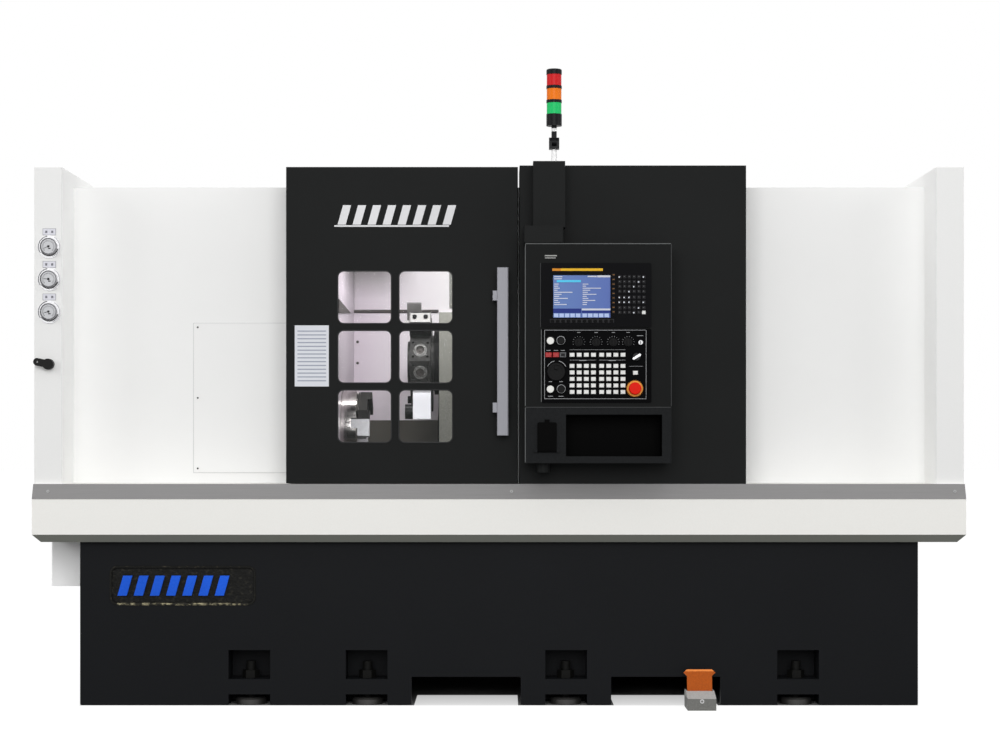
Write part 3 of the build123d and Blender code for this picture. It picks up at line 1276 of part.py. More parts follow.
# Lever switch: a round base with a bright lever that points up to the right
with BuildPart() as lever_switch:
    lever_start = front_plane(PLATE_FACE_Y - RUN_GAP)
    disc(lever_start, (LEVER_X, LEVER_Z), LEVER_BASE_RADIUS, LEVER_BASE_RISE)
    chamfer(lever_switch.edges().group_by(Axis.Y)[0], KEY_EDGE)
    with BuildSketch(front_plane(PLATE_FACE_Y - RUN_GAP - LEVER_BASE_RISE)):
        with Locations(Location((LEVER_X, LEVER_Z), LEVER_ANGLE)):
            SlotOverall(LEVER_LENGTH, LEVER_WIDTH)
    extrude(amount=LEVER_THICKNESS)
    disc(PLATE_FRONT, (LEVER_X, LEVER_Z), BUTTON_STEM_RADIUS, RUN_GAP)
    stem(LEVER_X, LEVER_Z)
save(lever_switch, "lever_switch")

# Handwheel: a dished disc with a crank knob near its rim
with BuildPart() as handwheel:
    wheel_start = front_plane(PLATE_FACE_Y - RUN_GAP)
    wheel_face = front_plane(PLATE_FACE_Y - RUN_GAP - WHEEL_RISE)
    disc(wheel_start, (WHEEL_X, WHEEL_Z), WHEEL_RADIUS, WHEEL_RISE)
    fillet(handwheel.edges().group_by(Axis.Y)[0], WHEEL_RIM / 3)
    disc(wheel_face, (WHEEL_X, WHEEL_Z), WHEEL_RADIUS - WHEEL_RIM, -WHEEL_DISH, mode=Mode.SUBTRACT)
    crank_start = front_plane(PLATE_FACE_Y - RUN_GAP - WHEEL_RISE + WHEEL_DISH)
    disc(crank_start, (WHEEL_X, WHEEL_Z + CRANK_OFFSET - WHEEL_RIM), CRANK_RADIUS, CRANK_RISE)
    disc(PLATE_FRONT, (WHEEL_X, WHEEL_Z), BUTTON_STEM_RADIUS, RUN_GAP)
    stem(WHEEL_X, WHEEL_Z)
save(handwheel, "handwheel")

# Pressure gauges: flanged cases through the end cover, each with a raised bezel round a sunk dial
with BuildPart() as pressure_gauges:
    for gauge_z in GAUGE_ZS:
        place = (GAUGE_X, gauge_z)
        disc(front_plane(FRONT_Y), place, GAUGE_FLANGE_RADIUS, GAUGE_FLANGE_THICKNESS)
        disc(front_plane(FRONT_Y - GAUGE_FLANGE_THICKNESS), place, GAUGE_CASE_RADIUS, GAUGE_BEZEL_RISE)
        bezel_face = front_plane(FRONT_Y - GAUGE_FLANGE_THICKNESS - GAUGE_BEZEL_RISE)
        dial_radius = GAUGE_CASE_RADIUS - GAUGE_BEZEL_WALL
        disc(bezel_face, place, dial_radius, -GAUGE_BEZEL_WALL, mode=Mode.SUBTRACT)
        disc(front_plane(FRONT_Y), place, GAUGE_CASE_RADIUS, -GAUGE_CASE_DEPTH)
save(pressure_gauges, "pressure_gauges")

# Latch lever: a boss on a shaft through the end cover, with an arm that points left and a little up
ARM_RUN = LATCH_ARM_LENGTH * cos(radians(LATCH_ARM_DEG))
ARM_CLIMB = LATCH_ARM_LENGTH * sin(radians(LATCH_ARM_DEG))
with BuildPart() as latch_lever:
    latch_start = front_plane(FRONT_Y - RUN_GAP)
    disc(latch_start, (LATCH_X, LATCH_Z), LATCH_BOSS_RADIUS, LATCH_BOSS_RISE)
    chamfer(latch_lever.edges().group_by(Axis.Y)[0], KEY_EDGE)
    with BuildSketch(front_plane(FRONT_Y - RUN_GAP - LATCH_BOSS_RISE + LATCH_ARM_THICKNESS)):
        with Locations(Location((LATCH_X - ARM_RUN / 2, LATCH_Z + ARM_CLIMB / 2), -LATCH_ARM_DEG)):
            SlotCenterToCenter(LATCH_ARM_LENGTH, 2 * LATCH_ARM_RADIUS)
    extrude(amount=LATCH_ARM_THICKNESS)
    hole_plane = front_plane(FRONT_Y - RUN_GAP - LATCH_BOSS_RISE)
    disc(
        hole_plane,
        (LATCH_X - ARM_RUN, LATCH_Z + ARM_CLIMB),
        LATCH_HOLE_RADIUS,
        -LATCH_ARM_THICKNESS,
        mode=Mode.SUBTRACT,
    )
    disc(latch_start, (LATCH_X, LATCH_Z), LATCH_SHAFT_RADIUS, -LATCH_SHAFT_LENGTH)
save(latch_lever, "latch_lever")

# Signal tower pole: a flanged tube on the control cover, ending in the lower half of the folding joint
EAR_GAP_X = FOLD_WIDTH / 2 - FOLD_EAR_WIDTH
FOLD_BASE_Z = FOLD_Z - FOLD_DEPTH / 2 - RUN_GAP
with BuildPart() as stack_pole:
    disc(Plane.XY.offset(CONTROL_TOP), (TOWER_X, TOWER_Y), POLE_FLANGE_RADIUS, POLE_FLANGE_HEIGHT)
    disc(Plane.XY.offset(CONTROL_TOP), (TOWER_X, TOWER_Y), POLE_RADIUS, FOLD_BASE_Z - CONTROL_TOP)
    block(
        (TOWER_X - FOLD_WIDTH / 2, TOWER_X + FOLD_WIDTH / 2),
        (TOWER_Y - FOLD_DEPTH / 2, TOWER_Y + FOLD_DEPTH / 2),
        (FOLD_BASE_Z - FOLD_EAR_WIDTH, FOLD_BASE_Z),
    )
    for side in (-1, 1):
        ear_low, ear_high = sorted((TOWER_X + side * EAR_GAP_X, TOWER_X + side * FOLD_WIDTH / 2))
        block(
            (ear_low, ear_high),
            (TOWER_Y - FOLD_DEPTH / 2, TOWER_Y + FOLD_DEPTH / 2),
            (FOLD_BASE_Z, FOLD_Z),
        )
        disc(side_plane(ear_low), (TOWER_Y, FOLD_Z), FOLD_DEPTH / 2, FOLD_EAR_WIDTH)
    disc(side_plane(TOWER_X - FOLD_WIDTH / 2), (TOWER_Y, FOLD_Z), FOLD_PIN_RADIUS, FOLD_WIDTH)
save(stack_pole, "stack_pole")

# Signal tower body: folding tongue, stem, base, rings between the lenses, core and cap
TOWER_BASE_TOP = TOWER_STEM_TOP + TOWER_BASE_HEIGHT
LENS_BOTTOMS = [TOWER_BASE_TOP + i * (LENS_HEIGHT + RING_HEIGHT) for i in range(LENS_COUNT)]
TOWER_CAP_BOTTOM = LENS_BOTTOMS[-1] + LENS_HEIGHT
TOWER_PLACE = (TOWER_X, TOWER_Y)

with BuildPart() as stack_body:
    tongue = EAR_GAP_X - RUN_GAP
    disc(side_plane(TOWER_X - tongue), (TOWER_Y, FOLD_Z), FOLD_DEPTH / 2, 2 * tongue)
    block(
        (TOWER_X - tongue, TOWER_X + tongue),
        (TOWER_Y - tongue, TOWER_Y + tongue),
        (FOLD_Z, FOLD_Z + FOLD_EAR_HEIGHT),
    )
    disc(
        side_plane(TOWER_X - tongue),
        (TOWER_Y, FOLD_Z),
        FOLD_PIN_RADIUS + PIVOT_CLEARANCE,
        2 * tongue,
        mode=Mode.SUBTRACT,
    )
    stem_start = FOLD_Z + FOLD_DEPTH / 2
    disc(Plane.XY.offset(stem_start), TOWER_PLACE, POLE_RADIUS, TOWER_STEM_TOP - stem_start)
    disc(Plane.XY.offset(TOWER_STEM_TOP), TOWER_PLACE, TOWER_RADIUS, TOWER_BASE_HEIGHT)
    for lens_bottom in LENS_BOTTOMS[1:]:
        disc(Plane.XY.offset(lens_bottom - RING_HEIGHT), TOWER_PLACE, TOWER_RADIUS, RING_HEIGHT)
    disc(Plane.XY.offset(TOWER_CAP_BOTTOM), TOWER_PLACE, TOWER_RADIUS, TOWER_CAP_HEIGHT)
    fillet(stack_body.edges().group_by(Axis.Z)[-1], TOWER_EDGE_RADIUS)
    disc(
        Plane.XY.offset(TOWER_BASE_TOP),
        TOWER_PLACE,
        TOWER_CORE_RADIUS,
        TOWER_CAP_BOTTOM - TOWER_BASE_TOP,
    )
save(stack_body, "stack_body")

# Signal lenses: three moulded rings between the base and the cap
with BuildPart() as stack_lenses:
    for lens_bottom in LENS_BOTTOMS:
        with BuildSketch(Plane.XY.offset(lens_bottom)):
            with Locations(TOWER_PLACE):
                Circle(TOWER_RADIUS - LENS_INSET)
                Circle(TOWER_RADIUS - LENS_INSET - LENS_WALL, mode=Mode.SUBTRACT)
        extrude(amount=LENS_HEIGHT)
save(stack_lenses, "stack_lenses")

# Service box on the left end of the base, under the tray
with BuildPart() as service_box:
    block(
        (BASE_XS[0] - SERVICE_WIDTH, BASE_XS[0]),
        (SERVICE_FRONT_Y, SERVICE_REAR_Y),
        (SERVICE_BOTTOM, SKIRT_BOTTOM),
    )
    fillet(service_box.edges().filter_by(Axis.Z).group_by(Axis.X)[0], COVER_EDGE_RADIUS)
    offset(amount=-SHEET, openings=service_box.faces().sort_by(Axis.X)[-1])
save(service_box, "service_box")

# Foot switch housing: a low metal base with side cheeks that hold the treadle's pin
PEDAL_XS = (PEDAL_X - PEDAL_WIDTH / 2, PEDAL_X + PEDAL_WIDTH / 2)
PEDAL_PIN_Y = PEDAL_FRONT_Y + PEDAL_PIN_SETBACK
PEDAL_FLOOR = PEDAL_PIN_Z - TREADLE_HUB_RADIUS - RUN_GAP
with BuildPart() as pedal_housing:
    with BuildSketch(side_plane(PEDAL_XS[0])):
        profile(
            [
                (PEDAL_FRONT_Y, 0),
                (PEDAL_FRONT_Y, PEDAL_NOSE_HEIGHT),
                (PEDAL_FRONT_Y + PEDAL_NOSE_LENGTH, PEDAL_BASE_HEIGHT),
                (PEDAL_FRONT_Y + PEDAL_LENGTH, PEDAL_BASE_HEIGHT),
                (PEDAL_FRONT_Y + PEDAL_LENGTH, 0),
            ]
        )
    extrude(amount=PEDAL_WIDTH)
    block(
        (PEDAL_XS[0] + PEDAL_SIDE_WALL, PEDAL_XS[1] - PEDAL_SIDE_WALL),
        (PEDAL_FRONT_Y + PEDAL_NOSE_LENGTH, PEDAL_FRONT_Y + PEDAL_LENGTH),
        (PEDAL_FLOOR, PEDAL_BASE_HEIGHT),
        mode=Mode.SUBTRACT,
    )
    disc(side_plane(PEDAL_XS[0]), (PEDAL_PIN_Y, PEDAL_PIN_Z), PEDAL_PIN_RADIUS, PEDAL_WIDTH)
save(pedal_housing, "pedal_housing")

# Treadle: a steep plate on a hub round the pin, waisted and flared at its top edge
TREADLE_PLANE = Plane(
    origin=(PEDAL_X, PEDAL_PIN_Y, PEDAL_PIN_Z),
    x_dir=(1, 0, 0),
    z_dir=(0, -sin(radians(TREADLE_ANGLE)), cos(radians(TREADLE_ANGLE))),
)
with BuildPart() as pedal_plate:
    with BuildSketch(TREADLE_PLANE):
        half_waist = TREADLE_WAIST_WIDTH / 2
        half_flare = TREADLE_FLARE_WIDTH / 2
        flare_foot = TREADLE_LENGTH - 2 * TREADLE_LIP
        flare_top = TREADLE_LENGTH - TREADLE_LIP
        profile(
            [
                (-half_waist, 0),
                (half_waist, 0),
                (half_waist, flare_foot),
                (half_flare, flare_top),
                (half_waist, TREADLE_LENGTH),
                (-half_waist, TREADLE_LENGTH),
                (-half_flare, flare_top),
                (-half_waist, flare_foot),
            ]
        )
    extrude(amount=TREADLE_THICKNESS)
    disc(
        side_plane(PEDAL_X - half_waist),
        (PEDAL_PIN_Y, PEDAL_PIN_Z),
        TREADLE_HUB_RADIUS,
        TREADLE_WAIST_WIDTH,
    )
    disc(
        side_plane(PEDAL_X - half_waist),
        (PEDAL_PIN_Y, PEDAL_PIN_Z),
        PEDAL_PIN_RADIUS + PIVOT_CLEARANCE,
        TREADLE_WAIST_WIDTH,
        mode=Mode.SUBTRACT,
    )
save(pedal_plate, "pedal_plate")

# Headstock: a cast housing on the slant bed, bored for the spindle
with BuildPart() as headstock:
    with BuildSketch(slant_plane(HEAD_LEFT_X)):
        Circle(HEAD_RADIUS)
        with Locations(((HEAD_FOOT_LOW_U + HEAD_RADIUS) / 2, -BED_STANDOFF / 2)):
            Rectangle(HEAD_RADIUS - HEAD_FOOT_LOW_U, BED_STANDOFF)
        channel_height = GUIDE_HEIGHT + GUIDE_CLEARANCE
        with Locations((GUIDE_LOW_U, channel_height / 2 - BED_STANDOFF)):
            Rectangle(GUIDE_WIDTH + 2 * GUIDE_CLEARANCE, channel_height, mode=Mode.SUBTRACT)
        Circle(SPINDLE_RADIUS + SPINDLE_CLEARANCE, mode=Mode.SUBTRACT)
    extrude(amount=HEAD_RIGHT_X - HEAD_LEFT_X)
save(headstock, "headstock")

# Spindle: a hollow shaft with a flanged nose in front of the headstock
SPINDLE_LEFT_X = HEAD_LEFT_X - SPINDLE_TAIL
with BuildPart() as spindle_shaft:
    with BuildSketch(slant_plane(SPINDLE_LEFT_X)):
        Circle(SPINDLE_RADIUS)
    extrude(amount=NOSE_LEFT_X - SPINDLE_LEFT_X)
    with BuildSketch(slant_plane(NOSE_LEFT_X)):
        Circle(NOSE_RADIUS)
    extrude(amount=NOSE_THICKNESS)
    with BuildSketch(slant_plane(SPINDLE_LEFT_X)):
        Circle(BAR_BORE_RADIUS)
    extrude(amount=CHUCK_LEFT_X - SPINDLE_LEFT_X, mode=Mode.SUBTRACT)
save(spindle_shaft, "spindle_shaft")

# Jaw directions, measured from +Y towards +Z; the first jaw faces the operator
JAW_ANGLES = [JAW_FIRST_DEG + i * 360 / JAW_COUNT for i in range(JAW_COUNT)]


def jaw_plane(angle, x):
    """Plane across the chuck at x: local x points out along a jaw, and its normal is +X."""
    return Plane(
        origin=(x, SPINDLE_Y, SPINDLE_Z),
        x_dir=(0, cos(radians(angle)), sin(radians(angle))),
        z_dir=(1, 0, 0),
    )


# Chuck body: a turned drum with a bar hole and three jaw slots
with BuildPart() as chuck_body:
    with BuildSketch(slant_plane(CHUCK_LEFT_X)):
        Circle(CHUCK_RADIUS)
    extrude(amount=CHUCK_LENGTH)
    chamfer(chuck_body.edges(), CHUCK_EDGE)
    with BuildSketch(slant_plane(CHUCK_LEFT_X + CHUCK_LENGTH / 2 - CHUCK_BAND_WIDTH / 2)):
        Circle(CHUCK_RADIUS)
        Circle(CHUCK_RADIUS - CHUCK_BAND_DEPTH, mode=Mode.SUBTRACT)
    extrude(amount=CHUCK_BAND_WIDTH, mode=Mode.SUBTRACT)
    with BuildSketch(slant_plane(CHUCK_LEFT_X)):
        Circle(CHUCK_BORE_RADIUS)
    extrude(amount=CHUCK_LENGTH, mode=Mode.SUBTRACT)
    for jaw_angle in JAW_ANGLES:
        with BuildSketch(jaw_plane(jaw_angle, CHUCK_FACE_X)):
            with Locations(((BAR_BORE_RADIUS + CHUCK_RADIUS + JAW_WIDTH) / 2, 0)):
                Rectangle(CHUCK_RADIUS - BAR_BORE_RADIUS + JAW_WIDTH, JAW_WIDTH)
        extrude(amount=-JAW_SLOT_DEPTH, mode=Mode.SUBTRACT)
save(chuck_body, "chuck_body")

# Chuck jaws: wide stepped top jaws on narrower feet that slide in the slots
for jaw_number, jaw_angle in enumerate(JAW_ANGLES, start=1):
    with BuildPart() as chuck_jaw:
        with BuildSketch(jaw_plane(jaw_angle, CHUCK_FACE_X - JAW_SLOT_DEPTH + JAW_CLEARANCE)):
            with Locations((JAW_INNER_RADIUS + JAW_LENGTH / 2, 0)):
                Rectangle(JAW_LENGTH, JAW_WIDTH - 2 * JAW_CLEARANCE)
        extrude(amount=JAW_SLOT_DEPTH)
        with BuildSketch(jaw_plane(jaw_angle, CHUCK_FACE_X + JAW_CLEARANCE)):
            with Locations((JAW_INNER_RADIUS + JAW_LENGTH / 2, 0)):
                Rectangle(JAW_LENGTH, TOP_JAW_WIDTH)
        extrude(amount=JAW_STEP_RISE)
        with BuildSketch(jaw_plane(jaw_angle, CHUCK_FACE_X + JAW_CLEARANCE + JAW_STEP_RISE)):
            with Locations((JAW_INNER_RADIUS + JAW_LENGTH - JAW_STEP_LENGTH / 2, 0)):
                Rectangle(JAW_STEP_LENGTH, TOP_JAW_WIDTH)
        extrude(amount=JAW_RISE - JAW_STEP_RISE)
    save(chuck_jaw, f"chuck_jaw_{jaw_number}")

# Inner liner: the headstock wall with the chuck hole and the rear wall with a ledge, in one sheet
LINER_TOP = ROOF_Z
LINER_FRONT_Y = PANEL_BACK_Y + LINER_FRONT_GAP
LINER_BACK_Y = LINER_Y + SHEET
with BuildPart() as inner_liner:
    with BuildSketch(side_plane(LINER_X - SHEET)):
        profile(
            [
                (LINER_FRONT_Y, PAN_FRONT_TOP),
                (bed_place(PAN_FRONT_TOP), PAN_FRONT_TOP),
                (LINER_BACK_Y, bed_height(LINER_BACK_Y)),
                (LINER_BACK_Y, LINER_TOP),
                (LINER_FRONT_Y, LINER_TOP),
            ]
        )
        with Locations((SPINDLE_Y, SPINDLE_Z)):
            Circle(CHUCK_HOLE_RADIUS, mode=Mode.SUBTRACT)
        guide_y = BED_PLANE_Y + GUIDE_HIGH_U * SLANT_COS
        guide_z = BED_PLANE_Z + GUIDE_HIGH_U * SLANT_SIN
        with Locations(Location((guide_y, guide_z), SLANT_DEG)):
            Rectangle(GUIDE_WIDTH + 2 * SHEET, 2 * (GUIDE_HEIGHT + SHEET), mode=Mode.SUBTRACT)
    extrude(amount=SHEET)
    with BuildSketch(side_plane(LINER_X)):
        profile(
            [
                (LINER_Y, bed_height(LINER_Y)),
                (LINER_BACK_Y, bed_height(LINER_BACK_Y)),
                (LINER_BACK_Y, LINER_LEDGE_Z),
                (LINER_BACK_Y + LINER_LEDGE, LINER_LEDGE_Z),
                (LINER_BACK_Y + LINER_LEDGE, LINER_TOP),
                (LINER_Y + LINER_LEDGE, LINER_TOP),
                (LINER_Y + LINER_LEDGE, LINER_LEDGE_Z + SHEET),
                (LINER_Y, LINER_LEDGE_Z + SHEET),
            ]
        )
    extrude(amount=LINER_RIGHT_X - LINER_X)
save(inner_liner, "inner_liner")

# Chip pan: a folded trough in front of the slant bed, resting on the base
with BuildPart() as chip_pan:
    pan_left_x = -BED_LENGTH / 2
    pan_front_y = PANEL_BACK_Y
    pan_toe_y = BED_TOE_Y - PAN_TOE_GAP
    with BuildSketch(side_plane(pan_left_x)):
        profile(
            [
                (pan_front_y, PAN_FRONT_TOP),
                (pan_front_y, PAN_BEND_Z),
                (PAN_FLOOR_Y, BASE_TOP),
                (pan_toe_y, BASE_TOP),
                (pan_toe_y, PAN_FLOOR_Z),
                (PAN_FLOOR_Y, PAN_FLOOR_Z),
                (pan_front_y + PAN_SHEET, PAN_BEND_Z + PAN_SHEET),
                (pan_front_y + PAN_SHEET, PAN_FRONT_TOP),
            ]
        )
    extrude(amount=BED_LENGTH)
save(chip_pan, "chip_pan")

# Saddle: a plate that straddles the two guideways on the slant bed
SADDLE_BOTTOM_N = SADDLE_LIFT - BED_STANDOFF
SADDLE_TOP_N = SADDLE_BOTTOM_N + SADDLE_THICKNESS
with BuildPart() as saddle:
    with BuildSketch(slant_plane(SADDLE_LEFT_X)):
        with Locations(((SADDLE_LOW_U + SADDLE_HIGH_U) / 2, (SADDLE_BOTTOM_N + SADDLE_TOP_N) / 2)):
            Rectangle(SADDLE_HIGH_U - SADDLE_LOW_U, SADDLE_THICKNESS)
        groove_height = GUIDE_HEIGHT - SADDLE_LIFT + GUIDE_CLEARANCE
        groove_n = SADDLE_BOTTOM_N + groove_height / 2
        with Locations((GUIDE_LOW_U, groove_n), (GUIDE_HIGH_U, groove_n)):
            Rectangle(GUIDE_WIDTH + 2 * GUIDE_CLEARANCE, groove_height, mode=Mode.SUBTRACT)
    extrude(amount=SADDLE_LENGTH)
save(saddle, "saddle")

# Cross slide: a plate on the saddle with an upright hollow column and a round turret flange
SLIDE_BOTTOM_N = SADDLE_TOP_N + SLIDE_GAP
SLIDE_TOP_N = SLIDE_BOTTOM_N + SLIDE_THICKNESS
SLIDE_LIFT = (BED_STANDOFF + SLIDE_TOP_N) / SLANT_COS
COLUMN_LEFT_X = FLANGE_LEFT_X + FLANGE_THICKNESS
COLUMN_YS = (TURRET_Y - COLUMN_DEPTH / 2, TURRET_Y + COLUMN_DEPTH / 2)
COLUMN_ZS = (TURRET_Z - COLUMN_DROP, TURRET_Z + COLUMN_RISE)
COLUMN_SEAT_Z = bed_height(COLUMN_YS[1]) + SLIDE_LIFT

with BuildPart() as cross_slide:
    with BuildSketch(slant_plane(SADDLE_LEFT_X)):
        with Locations((TURRET_U, (SLIDE_BOTTOM_N + SLIDE_TOP_N) / 2)):
            Rectangle(SLIDE_SPAN, SLIDE_THICKNESS)
    extrude(amount=SADDLE_LENGTH)
    with BuildSketch(side_plane(COLUMN_LEFT_X)):
        profile(
            [
                (COLUMN_YS[0], COLUMN_ZS[0]),
                (bed_place(COLUMN_ZS[0] - SLIDE_LIFT), COLUMN_ZS[0]),
                (COLUMN_YS[1], COLUMN_SEAT_Z),
                (COLUMN_YS[1], COLUMN_ZS[1]),
                (COLUMN_YS[0], COLUMN_ZS[1]),
            ]
        )
    extrude(amount=COLUMN_LENGTH)
    block(
        (COLUMN_LEFT_X + COLUMN_WALL, COLUMN_LEFT_X + COLUMN_LENGTH),
        (COLUMN_YS[0] + COLUMN_WALL, COLUMN_YS[1] - COLUMN_WALL),
        (COLUMN_SEAT_Z + COLUMN_WALL, COLUMN_ZS[1] - COLUMN_WALL),
        mode=Mode.SUBTRACT,
    )
    disc(side_plane(FLANGE_LEFT_X), (TURRET_Y, TURRET_Z), FLANGE_RADIUS, FLANGE_THICKNESS)
save(cross_slide, "cross_slide")

# Turret disc: a flat-sided disc with a bored and tapped mounting face at every station
STATION_STEP = 360 / STATION_COUNT
STATION_ANGLES = [(i - 1 / 2) * STATION_STEP for i in range(STATION_COUNT)]
STATION_X = (DISC_LEFT_X + DISC_RIGHT_X) / 2

with BuildPart() as turret_disc:
    with BuildSketch(slant_plane(DISC_LEFT_X)):
        with Locations((TURRET_U, 0)):
            RegularPolygon(DISC_INRADIUS, STATION_COUNT, major_radius=False, rotation=-SLANT_DEG)
    extrude(amount=DISC_THICKNESS)
    with BuildSketch(slant_plane(DISC_RIGHT_X)):
        with Locations((TURRET_U, 0)):
            Circle(DISC_BOSS_RADIUS)
    extrude(amount=DISC_BOSS_RISE)
    with BuildSketch(slant_plane(DISC_LEFT_X)):
        with Locations((TURRET_U, 0)):
            Circle(DISC_CAP_RADIUS)
    extrude(amount=-DISC_CAP_RISE)
    for station_angle in STATION_ANGLES:
        facet = station_plane(station_angle, STATION_X, DISC_INRADIUS)
        with BuildSketch(facet):
            Circle(STATION_BORE_RADIUS)
        extrude(amount=-STATION_BORE_DEPTH, mode=Mode.SUBTRACT)
        with BuildSketch(facet):
            with GridLocations(STATION_BOLT_SPAN, STATION_BOLT_SPAN, 2, 2):
                Circle(STATION_BOLT_RADIUS)
        extrude(amount=-STATION_BOLT_DEPTH, mode=Mode.SUBTRACT)
save(turret_disc, "turret_disc")


def tool_plane(angle, x, radius):
    """Plane across the turret at x that faces the chuck: local x points out along a station."""
    base = station_plane(angle, x, radius)
    return Plane(origin=base.origin, x_dir=base.z_dir, z_dir=(-1, 0, 0))


def facet_corner(angle, side):
    """Place across the machine of one end of a turret facet's mounting width."""
    run = side * HOLDER_WIDTH / 2
    y = TURRET_Y - DISC_INRADIUS * cos(radians(angle)) + run * sin(radians(angle))
    z = TURRET_Z + DISC_INRADIUS * sin(radians(angle)) + run * cos(radians(angle))
    return y, z


# Tool holders on five stations: three blocks with a square tool, a plate and a live head with a collet nut
*BLOCK_STATIONS, PLATE_STATION, LIVE_STATION = HOLDER_STATIONS
HOLDER_LEFT_X = STATION_X - HOLDER_LENGTH / 2
TOOL_RADIUS = DISC_INRADIUS + HOLDER_RISE / 2
LIVE_ANGLE = STATION_ANGLES[LIVE_STATION]
LIVE_YS = (TURRET_Y - LIVE_REACH, TURRET_Y - LIVE_REACH + LIVE_DEPTH)
LIVE_LEFT_X = HOLDER_LEFT_X + LIVE_INSET
with BuildPart() as tool_holders:
    for station in BLOCK_STATIONS:
        angle = STATION_ANGLES[station]
        with BuildSketch(station_plane(angle, STATION_X, DISC_INRADIUS)):
            Rectangle(HOLDER_LENGTH, HOLDER_WIDTH)
        extrude(amount=HOLDER_RISE)
        chamfer(tool_holders.edges(Select.LAST), HOLDER_EDGE)
        with BuildSketch(station_plane(angle, STATION_X, DISC_INRADIUS + HOLDER_RISE)):
            with GridLocations(HOLDER_BOLT_SPAN, HOLDER_BOLT_SPAN, 2, 1):
                Circle(HOLDER_BOLT_RADIUS)
        extrude(amount=HOLDER_BOLT_RISE)
        with BuildSketch(tool_plane(angle, HOLDER_LEFT_X, TOOL_RADIUS)):
            Rectangle(TOOL_WIDTH, TOOL_WIDTH)
        extrude(amount=TOOL_REACH)
    with BuildSketch(station_plane(STATION_ANGLES[PLATE_STATION], STATION_X, DISC_INRADIUS)):
        with Locations((-TOOL_PLATE_OFFSET, 0)):
            Rectangle(TOOL_PLATE_LENGTH, TOOL_PLATE_THICKNESS)
    extrude(amount=HOLDER_RISE)
    with BuildSketch(side_plane(LIVE_LEFT_X)):
        profile(
            [
                facet_corner(LIVE_ANGLE, 1),
                (LIVE_YS[0], TURRET_Z - LIVE_TOP_DROP),
                (LIVE_YS[0], TURRET_Z - LIVE_BOTTOM_DROP),
                (LIVE_YS[1], TURRET_Z - LIVE_BOTTOM_DROP),
                facet_corner(LIVE_ANGLE, -1),
            ]
        )
    extrude(amount=HOLDER_LENGTH - LIVE_INSET)
    with BuildSketch(side_plane(LIVE_LEFT_X)):
        with Locations((sum(LIVE_YS) / 2, TURRET_Z - COLLET_DROP)):
            Circle(COLLET_RADIUS)
    extrude(amount=-COLLET_REACH)
save(tool_holders, "tool_holders")

# Electrical cabinet behind the machine: a folded case on a plinth, open to the rear, with hinge pins
HINGE_X = CABINET_RIGHT_X + HINGE_RADIUS
HINGE_Y = CABINET_REAR_Y + CABINET_DOOR_GAP + CABINET_DOOR_THICKNESS / 2
HINGE_MIDDLE_Z = (CABINET_PLINTH + CABINET_TOP) / 2
HINGE_ZS = [HINGE_MIDDLE_Z + (i - (HINGE_COUNT - 1) / 2) * HINGE_PITCH for i in range(HINGE_COUNT)]
KNUCKLE_LENGTH = HINGE_LENGTH / 2 - RUN_GAP

with BuildPart() as electrical_cabinet:
    cabinet_xs = (CABINET_LEFT_X, CABINET_RIGHT_X)
    cabinet_ys = (REAR_Y, CABINET_REAR_Y)
    block(cabinet_xs, cabinet_ys, (CABINET_PLINTH, CABINET_TOP))
    block(
        (cabinet_xs[0] + SHEET, cabinet_xs[1] - SHEET),
        (cabinet_ys[0] + SHEET, cabinet_ys[1] - SHEET),
        (CABINET_PLINTH + SHEET, CABINET_TOP - SHEET),
        mode=Mode.SUBTRACT,
    )
    block(
        (cabinet_xs[0] + CABINET_LIP, cabinet_xs[1] - CABINET_LIP),
        (cabinet_ys[1] - SHEET, cabinet_ys[1]),
        (CABINET_PLINTH + CABINET_LIP, CABINET_TOP - CABINET_LIP),
        mode=Mode.SUBTRACT,
    )
    plinth_xs = (cabinet_xs[0] + CABINET_PLINTH_SET, cabinet_xs[1] - CABINET_PLINTH_SET)
    plinth_ys = (cabinet_ys[0] + CABINET_PLINTH_SET, cabinet_ys[1] - CABINET_PLINTH_SET)
    block(plinth_xs, plinth_ys, (0, CABINET_PLINTH))
    block(
        (plinth_xs[0] + SHEET, plinth_xs[1] - SHEET),
        (plinth_ys[0] + SHEET, plinth_ys[1] - SHEET),
        (0, CABINET_PLINTH),
        mode=Mode.SUBTRACT,
    )
    for hinge_z in HINGE_ZS:
        hinge_bottom = hinge_z - HINGE_LENGTH / 2
        block(
            (CABINET_RIGHT_X, HINGE_X),
            (CABINET_REAR_Y - CABINET_LIP, HINGE_Y),
            (hinge_bottom, hinge_bottom + KNUCKLE_LENGTH),
        )
        disc(Plane.XY.offset(hinge_bottom), (HINGE_X, HINGE_Y), HINGE_RADIUS, KNUCKLE_LENGTH)
        disc(Plane.XY.offset(hinge_bottom), (HINGE_X, HINGE_Y), HINGE_PIN_RADIUS, HINGE_LENGTH)
save(electrical_cabinet, "electrical_cabinet")

